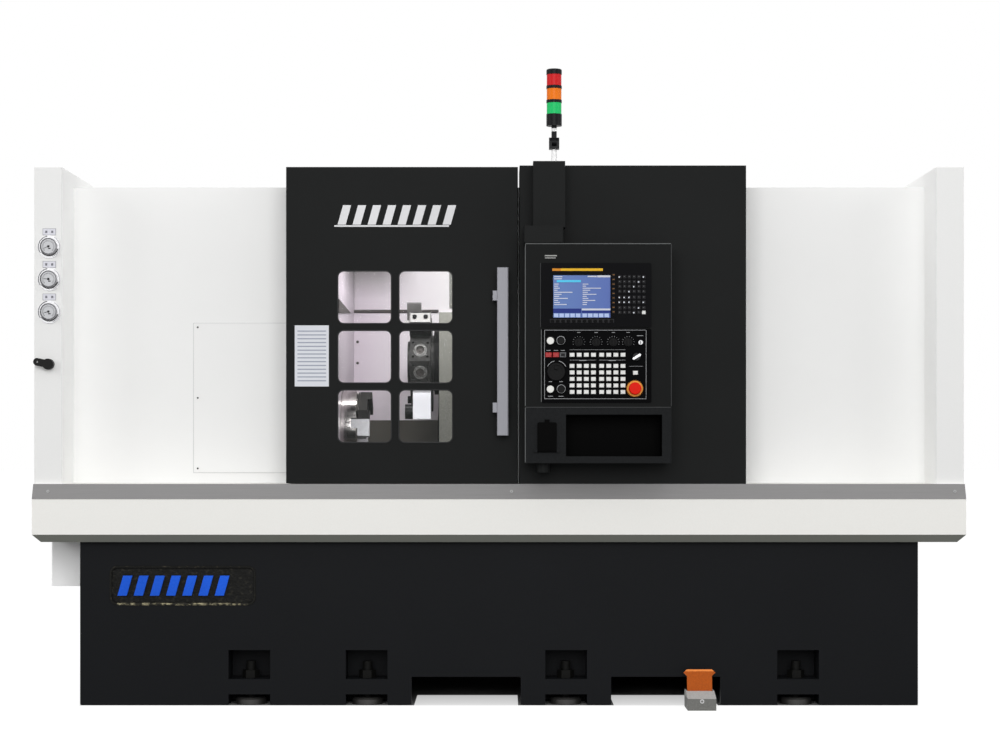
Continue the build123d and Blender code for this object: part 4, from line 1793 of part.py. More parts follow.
# Cabinet door: a folded pan with knuckles that drop over the hinge pins, and a flat swing handle
CABINET_DOOR_FRONT_Y = CABINET_REAR_Y + CABINET_DOOR_GAP
CABINET_DOOR_REAR_Y = CABINET_DOOR_FRONT_Y + CABINET_DOOR_THICKNESS
with BuildPart() as cabinet_door:
    door_xs = (CABINET_LEFT_X + CABINET_DOOR_MARGIN, CABINET_RIGHT_X - CABINET_DOOR_MARGIN)
    block(
        door_xs,
        (CABINET_DOOR_FRONT_Y, CABINET_DOOR_REAR_Y),
        (CABINET_PLINTH + CABINET_DOOR_MARGIN, CABINET_TOP - CABINET_DOOR_MARGIN),
    )
    offset(amount=-SHEET, openings=cabinet_door.faces().sort_by(Axis.Y)[0])
    for hinge_z in HINGE_ZS:
        knuckle_bottom = hinge_z + RUN_GAP
        block(
            (door_xs[1], HINGE_X),
            (HINGE_Y - SHEET / 2, HINGE_Y + SHEET / 2),
            (knuckle_bottom, knuckle_bottom + KNUCKLE_LENGTH),
        )
        knuckle_plane = Plane.XY.offset(knuckle_bottom)
        disc(knuckle_plane, (HINGE_X, HINGE_Y), HINGE_RADIUS, KNUCKLE_LENGTH)
        pin_bore = HINGE_PIN_RADIUS + PIVOT_CLEARANCE
        disc(knuckle_plane, (HINGE_X, HINGE_Y), pin_bore, KNUCKLE_LENGTH, mode=Mode.SUBTRACT)
    handle_x = door_xs[0] + CABINET_HANDLE_INSET
    block(
        (handle_x - CABINET_HANDLE_WIDTH / 2, handle_x + CABINET_HANDLE_WIDTH / 2),
        (CABINET_DOOR_REAR_Y, CABINET_DOOR_REAR_Y + CABINET_HANDLE_RISE),
        (HINGE_MIDDLE_Z - CABINET_HANDLE_HEIGHT / 2, HINGE_MIDDLE_Z + CABINET_HANDLE_HEIGHT / 2),
    )
save(cabinet_door, "cabinet_door")
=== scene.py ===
"""Looks of a slant-bed turning lathe in a closed sheet-metal enclosure.

Metres, with +X to the operator's right, +Y to the back and +Z up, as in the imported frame.
"""

import math

import bmesh
import bpy
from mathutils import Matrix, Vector


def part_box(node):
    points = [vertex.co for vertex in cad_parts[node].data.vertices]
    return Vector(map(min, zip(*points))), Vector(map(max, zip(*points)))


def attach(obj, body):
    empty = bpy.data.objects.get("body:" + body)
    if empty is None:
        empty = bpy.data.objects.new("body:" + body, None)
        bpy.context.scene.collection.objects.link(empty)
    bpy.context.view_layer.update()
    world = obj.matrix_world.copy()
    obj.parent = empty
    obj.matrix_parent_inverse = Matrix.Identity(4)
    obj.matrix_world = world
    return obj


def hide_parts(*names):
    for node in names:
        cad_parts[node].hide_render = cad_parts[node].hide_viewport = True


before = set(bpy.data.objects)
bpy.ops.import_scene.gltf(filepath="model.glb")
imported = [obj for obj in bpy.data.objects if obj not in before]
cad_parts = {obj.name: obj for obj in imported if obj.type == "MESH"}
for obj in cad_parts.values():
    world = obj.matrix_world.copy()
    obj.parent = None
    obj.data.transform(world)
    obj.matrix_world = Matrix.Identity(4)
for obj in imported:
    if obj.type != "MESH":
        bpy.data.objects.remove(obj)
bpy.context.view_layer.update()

# Cast base: a heavy iron casting in smooth black machine paint.
# It stands open underneath on eight pads, with pockets for the levelling nuts.


def shade(red, green, blue):
    """A measured screen colour, 0 to 255, as a linear colour for a shader."""
    channels = [value / 255 for value in (red, green, blue)]
    linear = [c / 12.92 if c <= 0.04045 else ((c + 0.055) / 1.055) ** 2.4 for c in channels]
    return (*linear, 1.0)


def scaled(colour, factor):
    """A colour made lighter or darker by one factor."""
    return (*[min(1.0, channel * factor) for channel in colour[:3]], 1.0)


def surface(name, roughness, metallic=0.0, shine=0.5):
    """A new material with its shader, its node list and a link maker."""
    material = bpy.data.materials.new(name)
    material.use_nodes = True
    nodes = material.node_tree.nodes
    shader = nodes["Principled BSDF"]
    for label, value in (("Roughness", roughness), ("Metallic", metallic), ("Specular IOR Level", shine)):
        shader.inputs[label].default_value = value
    return material, shader, nodes, material.node_tree.links.new


def noise_on(nodes, link, size, stretch=(1, 1, 1), detail=3.0):
    """Noise in object space with features of about the given size; stretch divides each axis."""
    place = nodes.new("ShaderNodeTexCoord")
    mapping = nodes.new("ShaderNodeMapping")
    mapping.inputs["Scale"].default_value = [1 / s for s in stretch]
    noise = nodes.new("ShaderNodeTexNoise")
    noise.inputs["Scale"].default_value = 1 / size
    noise.inputs["Detail"].default_value = detail
    link(place.outputs["Object"], mapping.inputs["Vector"])
    link(mapping.outputs["Vector"], noise.inputs["Vector"])
    return noise.outputs["Fac"]


def ramp_between(nodes, link, factor, low, high, start=0.3, end=0.7):
    """A colour ramp between two colours, driven by a factor."""
    ramp = nodes.new("ShaderNodeValToRGB")
    ramp.color_ramp.elements[0].position = start
    ramp.color_ramp.elements[0].color = low
    ramp.color_ramp.elements[1].position = end
    ramp.color_ramp.elements[1].color = high
    link(factor, ramp.inputs["Fac"])
    return ramp.outputs["Color"]


def toned(nodes, link, factor, colour, mottle):
    """One colour that drifts a little darker and lighter with a factor."""
    return ramp_between(nodes, link, factor, scaled(colour, 1 - mottle), scaled(colour, 1 + mottle))


def bump_on(nodes, link, shader, height, distance):
    """Fine relief on a surface from a height factor."""
    bump = nodes.new("ShaderNodeBump")
    bump.inputs["Distance"].default_value = distance
    bump.inputs["Strength"].default_value = 1.0
    link(height, bump.inputs["Height"])
    link(bump.outputs["Normal"], shader.inputs["Normal"])


def rough_about(nodes, link, shader, factor, middle, spread):
    """Roughness that varies over the surface about a middle value."""
    span = nodes.new("ShaderNodeMapRange")
    span.inputs["To Min"].default_value = middle - spread
    span.inputs["To Max"].default_value = middle + spread
    link(factor, span.inputs["Value"])
    link(span.outputs["Result"], shader.inputs["Roughness"])


PAINT_DRIFT = 0.35
PAINT_ROUGH_SPREAD = 0.06


def paint(name, colour, roughness, mottle=0.05, grain_size=0.002, grain_depth=0.00012, shine=0.3):
    """Sprayed machine paint: a faint drift of tone and a fine orange-peel grain."""
    material, shader, nodes, link = surface(name, roughness, shine=shine)
    drift = noise_on(nodes, link, PAINT_DRIFT)
    link(toned(nodes, link, drift, colour, mottle), shader.inputs["Base Color"])
    grain = noise_on(nodes, link, grain_size, detail=2.0)
    rough_about(nodes, link, shader, grain, roughness, PAINT_ROUGH_SPREAD)
    bump_on(nodes, link, shader, grain, grain_depth)
    return material


def dress(material, *names):
    """Gives CAD nodes a finish."""
    for name in names:
        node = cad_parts[name]
        for place in node.material_slots:
            place.material = material


base_paint = paint("base_black", shade(21, 22, 24), 0.45, grain_size=0.006, grain_depth=0.0003, shine=0.05)
dress(base_paint, "bed_base")

# Name field of the base: a rough as-cast ground inside a rounded rim, with slanted bars in blue paint.
# Ground, rim and bars belong to the casting, and the worn high spots show paler.
base_low, base_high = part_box("bed_base")
FIELD_INSET = 0.382
FIELD_DROP = 0.196
FIELD_WIDTH = 0.534
FIELD_HEIGHT = 0.138
FIELD_CORNER = 0.024
FIELD_DEPTH = 0.009
GROUND_RELIEF = 0.0045
GROUND_STEPS = (150, 42)
COARSE_WAVES = (190, 310)
COARSE_BENDS = ((3, 230), (2, 140))
FINE_WAVES = ((610, 420), (-380, 700))
FINE_SHARE = 0.6
RELIEF_MIDDLE = 0.5
RELIEF_SWING = 0.28
RIM_RADIUS = 0.0045
RIM_SEAT = 0.3
FOOT_SWELL = 1.08
RIM_ARC_STEPS = 8
field_x = base_low[0] + FIELD_INSET
field_z = base_high[2] - FIELD_DROP
field_y = base_low[1] + FIELD_DEPTH


def piece(mesh, body, material=None):
    """A finished object from a mesh: named as it is, placed at the origin, riding on its body."""
    made = bpy.data.objects.new(mesh.name, mesh)
    bpy.context.scene.collection.objects.link(made)
    if material is not None:
        mesh.materials.clear()
        mesh.materials.append(material)
    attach(made, body)
    return made


def mesh_from(name, build, smooth=False):
    """A mesh made by a bmesh routine, with its faces turned outwards."""
    mesh = bpy.data.meshes.new(name)
    work = bmesh.new()
    build(work)
    bmesh.ops.recalc_face_normals(work, faces=work.faces)
    work.to_mesh(mesh)
    work.free()
    if smooth:
        mesh.shade_smooth()
    return mesh


def cast_ground(work):
    """A sheet in the recess whose face rises and falls as rough casting does."""
    columns, rows = GROUND_STEPS
    grid = bmesh.ops.create_grid(work, x_segments=columns, y_segments=rows, size=0.5)
    half_height = FIELD_HEIGHT / 2
    half_width = FIELD_WIDTH / 2
    for vert in grid["verts"]:
        x, z = vert.co.x * FIELD_WIDTH, vert.co.y * FIELD_HEIGHT
        inside = max(abs(x) - half_width + FIELD_CORNER, 0), max(abs(z) - half_height + FIELD_CORNER, 0)
        reach = math.hypot(*inside)
        if reach > FIELD_CORNER:
            x -= math.copysign(inside[0] * (1 - FIELD_CORNER / reach), x)
            z -= math.copysign(inside[1] * (1 - FIELD_CORNER / reach), z)
        bends = [size * math.sin(along * rate) for (size, rate), along in zip(COARSE_BENDS, (z, x))]
        wave = math.sin(x * COARSE_WAVES[0] + bends[0]) * math.sin(z * COARSE_WAVES[1] + bends[1])
        wave += FINE_SHARE * math.prod(math.sin(x * rate_x + z * rate_z) for rate_x, rate_z in FINE_WAVES)
        relief = GROUND_RELIEF * (RELIEF_MIDDLE + RELIEF_SWING * wave)
        vert.co = Vector((field_x + x, field_y - relief, field_z + z))


def ring_way(degrees):
    """The way out from a centre on a face towards the operator, at an angle from the right."""
    angle = math.radians(degrees)
    return Vector((math.cos(angle), 0, math.sin(angle)))


def rounded_loop(centre, size, corner, y, steps):
    """Points round a rectangle with round corners, on a face towards the operator."""
    points = []
    for quarter, (side_x, side_z) in enumerate(((1, 1), (-1, 1), (-1, -1), (1, -1))):
        pivot_x = centre[0] + side_x * (size[0] / 2 - corner)
        pivot_z = centre[1] + side_z * (size[1] / 2 - corner)
        ways = [ring_way(90 * (quarter + step / steps)) for step in range(steps + 1)]
        points += [tuple(Vector((pivot_x, y, pivot_z)) + way * corner) for way in ways]
    return points


def round_rod(name, points, radius, closed=False, resolution=3):
    """A round rod along points, made as a bevelled curve and turned into a mesh."""
    curve = bpy.data.curves.new(name, "CURVE")
    curve.dimensions = "3D"
    curve.bevel_depth = radius
    curve.bevel_resolution = resolution
    curve.use_fill_caps = not closed
    spline = curve.splines.new("POLY")
    spline.points.add(len(points) - 1)
    for point, place in zip(spline.points, points):
        point.co = (*place, 1)
    spline.use_cyclic_u = closed
    holder = bpy.data.objects.new(name, curve)
    mesh = bpy.data.meshes.new_from_object(holder)
    bpy.data.objects.remove(holder)
    bpy.data.curves.remove(curve)
    mesh.shade_smooth()
    return mesh


WORN_SPOTS = 0.011
WORN_STRETCH = (1.6, 1, 1)
WORN_GRAIN = 0.004
WORN_DEPTH = 0.0012


def worn_casting(name, colour, worn, low, high):
    """Rough casting in thin paint, paler where the high spots have rubbed bare."""
    material, shader, nodes, link = surface(name, 0.5, shine=0.08)
    spots = noise_on(nodes, link, WORN_SPOTS, WORN_STRETCH, detail=6.0)
    link(ramp_between(nodes, link, spots, colour, worn, low, high), shader.inputs["Base Color"])
    bump_on(nodes, link, shader, noise_on(nodes, link, WORN_GRAIN, detail=4.0), WORN_DEPTH)
    return material


ground_finish = worn_casting("cast_ground", shade(19, 19, 18), shade(58, 56, 49), 0.55, 0.82)
rim_finish = worn_casting("cast_rim", shade(22, 22, 20), shade(66, 62, 52), 0.58, 0.78)
foot_finish = worn_casting("cast_foot", shade(40, 39, 35), shade(168, 160, 130), 0.46, 0.64)
piece(mesh_from("name_ground", cast_ground, smooth=True), "machine", ground_finish)
rim_y = base_low[1] + RIM_RADIUS * RIM_SEAT
field_size = (FIELD_WIDTH, FIELD_HEIGHT)
rim_points = rounded_loop((field_x, field_z), field_size, FIELD_CORNER, rim_y, RIM_ARC_STEPS)
piece(round_rod("name_rim", rim_points, RIM_RADIUS, True), "machine", rim_finish)
foot_run = FIELD_WIDTH / 2 - FIELD_CORNER
foot_points = [(field_x + side * foot_run, rim_y, field_z - FIELD_HEIGHT / 2) for side in (-1, 1)]
foot_radius = RIM_RADIUS * FOOT_SWELL
piece(round_rod("name_rim_foot", foot_points, foot_radius), "machine", foot_finish)


def tree_with(name, inputs):
    """A new geometry tree with named inputs; returns the tree and the identifiers of the inputs."""
    tree = bpy.data.node_groups.new(name, "GeometryNodeTree")
    tree.interface.new_socket("Geometry", in_out="INPUT", socket_type="NodeSocketGeometry")
    sockets = {}
    for label, kind in inputs.items():
        made = tree.interface.new_socket(label, in_out="INPUT", socket_type=f"NodeSocket{kind}")
        sockets[label] = made.identifier
    tree.interface.new_socket("Geometry", in_out="OUTPUT", socket_type="NodeSocketGeometry")
    entry = tree.nodes.new("NodeGroupInput")
    leave = tree.nodes.new("NodeGroupOutput")
    return tree, sockets, entry.outputs, leave.inputs["Geometry"]


def wire(tree, *pairs):
    """Joins outputs to inputs in a tree; a pair with no output is passed over."""
    for source, target in pairs:
        if source is not None:
            tree.links.new(source, target)


def copy_on_points(tree, entry, leave, shape, scale=None, turn=None):
    """Ends a tree in copies of a shape on its points, made real and given their finish."""
    copies = tree.nodes.new("GeometryNodeInstanceOnPoints")
    real = tree.nodes.new("GeometryNodeRealizeInstances")
    dressed = tree.nodes.new("GeometryNodeSetMaterial")
    wire(
        tree,
        (entry["Geometry"], copies.inputs["Points"]),
        (shape, copies.inputs["Instance"]),
        (scale, copies.inputs["Scale"]),
        (turn, copies.inputs["Rotation"]),
        (copies.outputs["Instances"], real.inputs["Geometry"]),
        (real.outputs["Geometry"], dressed.inputs["Geometry"]),
        (entry["Finish"], dressed.inputs["Material"]),
        (dressed.outputs["Geometry"], leave),
    )


def grown(name, start, tree, sockets, values, body):
    """Runs a geometry tree on a start mesh and keeps the result as a plain mesh piece."""
    holder = bpy.data.objects.new(f"{name}_start", start)
    bpy.context.scene.collection.objects.link(holder)
    modifier = holder.modifiers.new("growth", "NODES")
    modifier.node_group = tree
    for label, value in values.items():
        modifier[sockets[label]] = value
    ready = holder.evaluated_get(bpy.context.evaluated_depsgraph_get())
    mesh = bpy.data.meshes.new_from_object(ready)
    holder.modifiers.remove(modifier)
    bpy.data.objects.remove(holder)
    mesh.name = name
    return piece(mesh, body, None)


def points_mesh(name, places, facing=(0, -1, 0), sizes=None):
    """A mesh of loose points, each with the way it faces and a size, to grow things on."""
    mesh = bpy.data.meshes.new(name)
    mesh.from_pydata([tuple(place) for place in places], [], [])
    ways = mesh.attributes.new("facing", "FLOAT_VECTOR", "POINT")
    extents = mesh.attributes.new("extent", "FLOAT_VECTOR", "POINT")
    for index in range(len(places)):
        way = facing if isinstance(facing[0], (int, float)) else facing[index]
        ways.data[index].vector = way
        extents.data[index].vector = (1, 1, 1) if sizes is None else sizes[index]
    return mesh


def named_vector(tree, label):
    """Reads a vector stored on the points."""
    reader = tree.nodes.new("GeometryNodeInputNamedAttribute")
    reader.data_type = "FLOAT_VECTOR"
    reader.inputs["Name"].default_value = label
    return reader.outputs["Attribute"]


def sum_node(nodes, link, operation, first, second=0.0):
    """One arithmetic node; each side is a number or an output."""
    made = nodes.new("ShaderNodeMath")
    made.operation = operation
    for socket, value in zip(made.inputs, (first, second)):
        if isinstance(value, (int, float)):
            socket.default_value = value
        else:
            link(value, socket)
    return made.outputs["Value"]


bar_tree, bar_sockets, bar_in, bar_out = tree_with(
    "slanted_bars",
    {"Size": "Vector", "Slant": "Float", "Finish": "Material"},
)
bar_block = bar_tree.nodes.new("GeometryNodeMeshCube")
bar_place = bar_tree.nodes.new("GeometryNodeInputPosition")
bar_split = bar_tree.nodes.new("ShaderNodeSeparateXYZ")
bar_lean = sum_node(bar_tree.nodes, bar_tree.links.new, "MULTIPLY", bar_split.outputs["Z"], bar_in["Slant"])
bar_shift = bar_tree.nodes.new("ShaderNodeCombineXYZ")
bar_shear = bar_tree.nodes.new("GeometryNodeSetPosition")
wire(
    bar_tree,
    (bar_in["Size"], bar_block.inputs["Size"]),
    (bar_place.outputs["Position"], bar_split.inputs["Vector"]),
    (bar_lean, bar_shift.inputs["X"]),
    (bar_block.outputs["Mesh"], bar_shear.inputs["Geometry"]),
    (bar_shift.outputs["Vector"], bar_shear.inputs["Offset"]),
)
copy_on_points(bar_tree, bar_in, bar_out, bar_shear.outputs["Geometry"], named_vector(bar_tree, "extent"))
BAR_SLANT = 0.28


def slanted_bars(name, places, size, finish, body):
    """Slanted bars of one size, centred at places."""
    values = {"Size": size, "Slant": BAR_SLANT, "Finish": finish}
    return grown(name, points_mesh(f"{name}_points", places), bar_tree, bar_sockets, values, body)


NAME_BAR_COUNT = 7
NAME_BAR_PITCH = 0.060
NAME_BAR_SHIFT = -0.034
NAME_BAR_SIZE = (0.034, 0.012, 0.074)
blue_paint = paint("name_blue", shade(26, 86, 206), 0.45, mottle=0.22, grain_size=0.008, grain_depth=0.0012,
                   shine=0.1)
name_bar_left = field_x + NAME_BAR_SHIFT - (NAME_BAR_COUNT - 1) / 2 * NAME_BAR_PITCH
name_bar_y = field_y - NAME_BAR_SIZE[1] / 2
name_bar_places = [(name_bar_left + i * NAME_BAR_PITCH, name_bar_y, field_z) for i in range(NAME_BAR_COUNT)]
slanted_bars("name_bars", name_bar_places, NAME_BAR_SIZE, blue_paint, "machine")

# Levelling feet: turned steel pads on the floor, with threaded studs and lock nuts in the base's pockets.
# The pads are dull dark steel, and the studs are painted nearly black, which is painted shade for their
# dark pockets.
STEEL_ROUGH_SPREAD = 0.08
STEEL_DEPTH = 0.00008


def steel(name, colour, roughness, grain=(1, 1, 1), contrast=0.12, grain_size=0.004, metallic=1.0,
          shine=0.5):
    """Bare metal with fine tool marks drawn out along the grain."""
    material, shader, nodes, link = surface(name, roughness, metallic, shine)
    tooling = noise_on(nodes, link, grain_size, stretch=grain, detail=4.0)
    link(toned(nodes, link, tooling, colour, contrast), shader.inputs["Base Color"])
    rough_about(nodes, link, shader, tooling, roughness, STEEL_ROUGH_SPREAD)
    bump_on(nodes, link, shader, tooling, STEEL_DEPTH)
    return material


dark_steel = steel("dark_steel", shade(72, 70, 68), 0.45, metallic=0.6)
plain_steel = steel("plain_steel", shade(176, 176, 176), 0.32)
dress(steel("pad_steel", shade(44, 43, 42), 0.5, metallic=0.3), "levelling_pads")
# The studs' near-black colour and low shine stand in for the shade in the pockets: painted shade.
dress(steel("stud_steel_painted_shade", shade(16, 16, 15), 0.6, metallic=0.0, shine=0.08), "levelling_screws")

# Tray skirt: folded sheet in white paint round the machine's waist, bevelled underneath.
# A brushed stainless strip is screwed along its leaning front edge.
white_paint = paint("white_paint", shade(241, 241, 240), 0.5, mottle=0.008)
stainless = steel("stainless", shade(127, 126, 126), 0.5, (60, 1, 1), 0.05, 0.003, metallic=0.15)
dress(stainless, "steel_strip")
BEVEL_RISE = 0.0285
SPLIT_GRAIN = 0.006
FINE_DEPTH = 0.0001


def axes_on(nodes, link):
    """The three axes of a surface point, in object space."""
    place = nodes.new("ShaderNodeTexCoord")
    axes = nodes.new("ShaderNodeSeparateXYZ")
    link(place.outputs["Object"], axes.inputs["Vector"])
    return axes.outputs


def mixed(nodes, link, factor, first, second):
    """Two colours blended by a factor; each is a colour or an output."""
    blend = nodes.new("ShaderNodeMix")
    blend.data_type = "RGBA"
    sockets = (blend.inputs["Factor"], blend.inputs[6], blend.inputs[7])
    for socket, source in zip(sockets, (factor, first, second)):
        if isinstance(source, tuple):
            socket.default_value = source
        else:
            link(source, socket)
    return blend.outputs[2]


def split_finish(name, test, below, above, roughness=0.4, metallic=0.8, shine=0.1, mottle=0.12):
    """One finish on each side of a limit; test builds the factor, which is 0 or 1."""
    material, shader, nodes, link = surface(name, roughness, metallic, shine)
    factor = test(nodes, link, axes_on(nodes, link))
    grain = noise_on(nodes, link, SPLIT_GRAIN, detail=4.0)
    tones = [toned(nodes, link, grain, colour, mottle) for colour in (below, above)]
    link(mixed(nodes, link, factor, *tones), shader.inputs["Base Color"])
    bump_on(nodes, link, shader, grain, FINE_DEPTH)
    return material


def past(axis, limit):
    """A test that is 1 where one axis is past a limit."""

    def test(nodes, link, axes):
        return sum_node(nodes, link, "GREATER_THAN", axes[axis], limit)

    return test


skirt_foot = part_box("tray_skirt")[0][2]
# Below the bevel's rise the skirt is painted grey: painted shade on its underside.
skirt_with_shaded_bevel = split_finish("skirt_white_shaded_bevel", past("Z", skirt_foot + BEVEL_RISE), shade(124, 126, 119),
                            shade(236, 235, 231), 0.5, 0.0, 0.2, 0.01)
dress(skirt_with_shaded_bevel, "tray_skirt")


def turn_along(tree, axis):
    """The turn that brings an axis to the way stored on the points."""
    turn = tree.nodes.new("FunctionNodeAlignRotationToVector")
    turn.axis = axis
    wire(tree, (named_vector(tree, "facing"), turn.inputs["Vector"]))
    return turn.outputs["Rotation"]


SCREW_SIDES = 12
SCREW_SOCKET = 0.5
SCREW_SINK = -0.6
screw_tree, screw_sockets, screw_in, screw_out = tree_with(
    "socket_screws",
    {"Radius": "Float", "Height": "Float", "Finish": "Material"},
)
screw_head = screw_tree.nodes.new("GeometryNodeMeshCylinder")
screw_head.inputs["Vertices"].default_value = SCREW_SIDES
screw_inset = screw_tree.nodes.new("GeometryNodeExtrudeMesh")
screw_inset.inputs["Offset Scale"].default_value = 0.0
screw_inset.inputs["Individual"].default_value = False
screw_mouth = screw_tree.nodes.new("GeometryNodeScaleElements")
screw_mouth.inputs["Scale"].default_value = SCREW_SOCKET
screw_socket = screw_tree.nodes.new("GeometryNodeExtrudeMesh")
screw_socket.inputs["Individual"].default_value = False
screw_sink = sum_node(screw_tree.nodes, screw_tree.links.new, "MULTIPLY", screw_in["Height"], SCREW_SINK)
wire(
    screw_tree,
    (screw_in["Radius"], screw_head.inputs["Radius"]),
    (screw_in["Height"], screw_head.inputs["Depth"]),
    (screw_head.outputs["Mesh"], screw_inset.inputs["Mesh"]),
    (screw_head.outputs["Top"], screw_inset.inputs["Selection"]),
    (screw_inset.outputs["Mesh"], screw_mouth.inputs["Geometry"]),
    (screw_inset.outputs["Top"], screw_mouth.inputs["Selection"]),
    (screw_mouth.outputs["Geometry"], screw_socket.inputs["Mesh"]),
    (screw_inset.outputs["Top"], screw_socket.inputs["Selection"]),
    (screw_sink, screw_socket.inputs["Offset Scale"]),
)
screw_turn = turn_along(screw_tree, "Z")
copy_on_points(screw_tree, screw_in, screw_out, screw_socket.outputs["Mesh"], turn=screw_turn)


def screws(name, places, facing, radius, height, finish, body):
    """A set of socket screws of one size, seated at places and facing one way."""
    values = {"Radius": radius, "Height": height, "Finish": finish}
    seats = points_mesh(f"{name}_points", places, facing)
    return grown(name, seats, screw_tree, screw_sockets, values, body)


STRIP_SCREW_SHARES = (-0.9665, 0.027, 0.977)
STRIP_SCREW_RADIUS = 0.0055
STRIP_SCREW_HEIGHT = 0.004
strip_low, strip_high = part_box("steel_strip")
strip_rise = strip_high[2] - strip_low[2]
strip_lean = strip_high[1] - strip_low[1]
strip_facing = Vector((0, -strip_rise, strip_lean)).normalized()
strip_middle = Vector((0, (strip_low[1] + strip_high[1]) / 2, (strip_low[2] + strip_high[2]) / 2))
strip_screw_places = [
    strip_middle + Vector((share * strip_high[0], 0, 0)) + strip_facing * STRIP_SCREW_HEIGHT / 3
    for share in STRIP_SCREW_SHARES
]
screws("strip_screws", strip_screw_places, tuple(strip_facing), STRIP_SCREW_RADIUS, STRIP_SCREW_HEIGHT,
       plain_steel, "machine")

# Enclosure: folded sheet-steel covers and panels in white paint, with the front panels set back.
# The access cover on the left front panel is held by small dark screws down its sides.
dress(white_paint, "left_front_panel", "right_front_panel", "access_cover", "roof_panel", "rear_panel")
# The end covers' front faces are painted a darker white and their sides a brighter one: painted shade and
# painted light on one paint.
COVER_EDGE = 0.002
cover_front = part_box("left_end_cover")[0][1]
cover_lit_and_shaded = split_finish("cover_paint_lit_and_shaded", past("Y", cover_front + COVER_EDGE), shade(230, 230, 229),
                            shade(252, 252, 251), 0.5, 0.0, 0.3, 0.008)
dress(cover_lit_and_shaded, "left_end_cover", "right_end_cover")
dress(plain_steel, "door_rail")
ACCESS_SCREW_INSET = 0.016
ACCESS_SCREW_RADIUS = 0.0036
ACCESS_SCREW_HEIGHT = 0.003
ACCESS_SCREW_ROWS = 3
access_low, access_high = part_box("access_cover")
access_step = (access_high[2] - access_low[2] - 2 * ACCESS_SCREW_INSET) / (ACCESS_SCREW_ROWS - 1)
black_oxide = steel("black_oxide", shade(70, 70, 70), 0.5, metallic=0.4)
access_screw_places = [
    (x, access_low[1] - ACCESS_SCREW_HEIGHT / 3, access_low[2] + ACCESS_SCREW_INSET + row * access_step)
    for x in (access_low[0] + ACCESS_SCREW_INSET, access_high[0] - ACCESS_SCREW_INSET)
    for row in range(ACCESS_SCREW_ROWS)
]
FRONTWARD = (0, -1, 0)
screws("access_screws", access_screw_places, FRONTWARD, ACCESS_SCREW_RADIUS, ACCESS_SCREW_HEIGHT,
       black_oxide, "machine")
SEAM_RADIUS = 0.0008
access_sides = (access_low[0], access_high[0], access_high[0], access_low[0])
access_heights = (access_low[2], access_low[2], access_high[2], access_high[2])
access_corners = [(x, access_low[1], z) for x, z in zip(access_sides, access_heights)]
piece(round_rod("access_seam", access_corners, SEAM_RADIUS, True), "machine",
      paint("seam_grey", shade(176, 177, 178), 0.5))

# Rear and roof sheets: the same white sheet steel, screwed round its edges.
# The heads are painted over with the panels.
SHEET_SCREW_RADIUS = 0.008
SHEET_SCREW_HEIGHT = 0.005
SHEET_SCREW_INSET = 0.025
REAR_SCREW_SPACES = 9
rear_low, rear_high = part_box("rear_panel")
roof_low, roof_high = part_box("roof_panel")
rear_step = (rear_high[0] - rear_low[0] - 2 * SHEET_SCREW_INSET) / REAR_SCREW_SPACES
sheet_columns = [rear_low[0] + SHEET_SCREW_INSET + i * rear_step for i in range(REAR_SCREW_SPACES + 1)]
cabinet_low, cabinet_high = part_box("electrical_cabinet")
rear_screw_places = [
    (x, rear_high[1] + SHEET_SCREW_HEIGHT / 4, z)
    for x in sheet_columns
    for z in (rear_low[2] + SHEET_SCREW_INSET, rear_high[2] - SHEET_SCREW_INSET)
    if z > cabinet_high[2] or not cabinet_low[0] < x < cabinet_high[0]
]
screws("rear_screws", rear_screw_places, (0, 1, 0), SHEET_SCREW_RADIUS, SHEET_SCREW_HEIGHT, white_paint,
       "machine")
roof_screw_places = [
    (x, y, roof_high[2] + SHEET_SCREW_HEIGHT / 4)
    for x in sheet_columns
    for y in (roof_low[1] + 4 * SHEET_SCREW_INSET, roof_high[1] - SHEET_SCREW_INSET)
]
screws("roof_screws", roof_screw_places, (0, 0, 1), SHEET_SCREW_RADIUS, SHEET_SCREW_HEIGHT, white_paint,
       "machine")

# Slant bed and headstock: machined iron castings in grey machine paint, behind the guards.
# The headstock carries the bored steel spindle, in line with the bar entry of the left end cover.
CAST_GRAIN = {"mottle": 0.06, "grain_size": 0.004, "grain_depth": 0.0003}
cast_grey = paint("cast_grey", shade(120, 124, 122), 0.5, **CAST_GRAIN)
bed_grey = paint("bed_grey", shade(73, 71, 65), 0.5, shine=0.1, **CAST_GRAIN)
dress(cast_grey, "headstock")
dress(bed_grey, "slant_bed", "saddle")
dress(plain_steel, "spindle_shaft")

# Chuck: a turned steel power chuck with three stepped jaws in radial slots.
# The body is polished by turning, and each jaw is near-black along its top.
JAW_BLACK_DROP = 0.034
turned_steel = steel("turned_steel", shade(212, 208, 206), 0.16, (1, 900, 900), 0.04, 0.012)
dress(turned_steel, "chuck_body")
jaw_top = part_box("chuck_jaw_1")[1][2]
jaw_finish = split_finish("chuck_jaw", past("Z", jaw_top - JAW_BLACK_DROP), shade(168, 168, 171),
                          shade(26, 25, 24), 0.4, 0.5)
dress(jaw_finish, "chuck_jaw_1", "chuck_jaw_2", "chuck_jaw_3")

# Inner guards: pale sheet-steel liners round the working space, with a chip pan under it.
# A dark ledge, a gusset plate whose dark grey is painted shade, and a screwed seam show through the door's
# windows.
LINER_LEFT = -0.615
LINER_BACK = 0.360
LINER_UPPER_BACK = 0.376
LINER_SPAN = (-0.62, -0.22)
LINER_SHADE_HEIGHTS = (1.58, 1.72)
LINER_SHADE_SPAN = (-0.50, -0.34)
LINER_ROUGHNESS = 0.42
LINER_GRAIN = 0.003


def spread(nodes, link, value, start, end):
    """A share from 0 to 1 as a value goes from start to end."""
    span = nodes.new("ShaderNodeMapRange")
    span.inputs["From Min"].default_value = start
    span.inputs["From Max"].default_value = end
    link(value, span.inputs["Value"])
    return span.outputs["Result"]


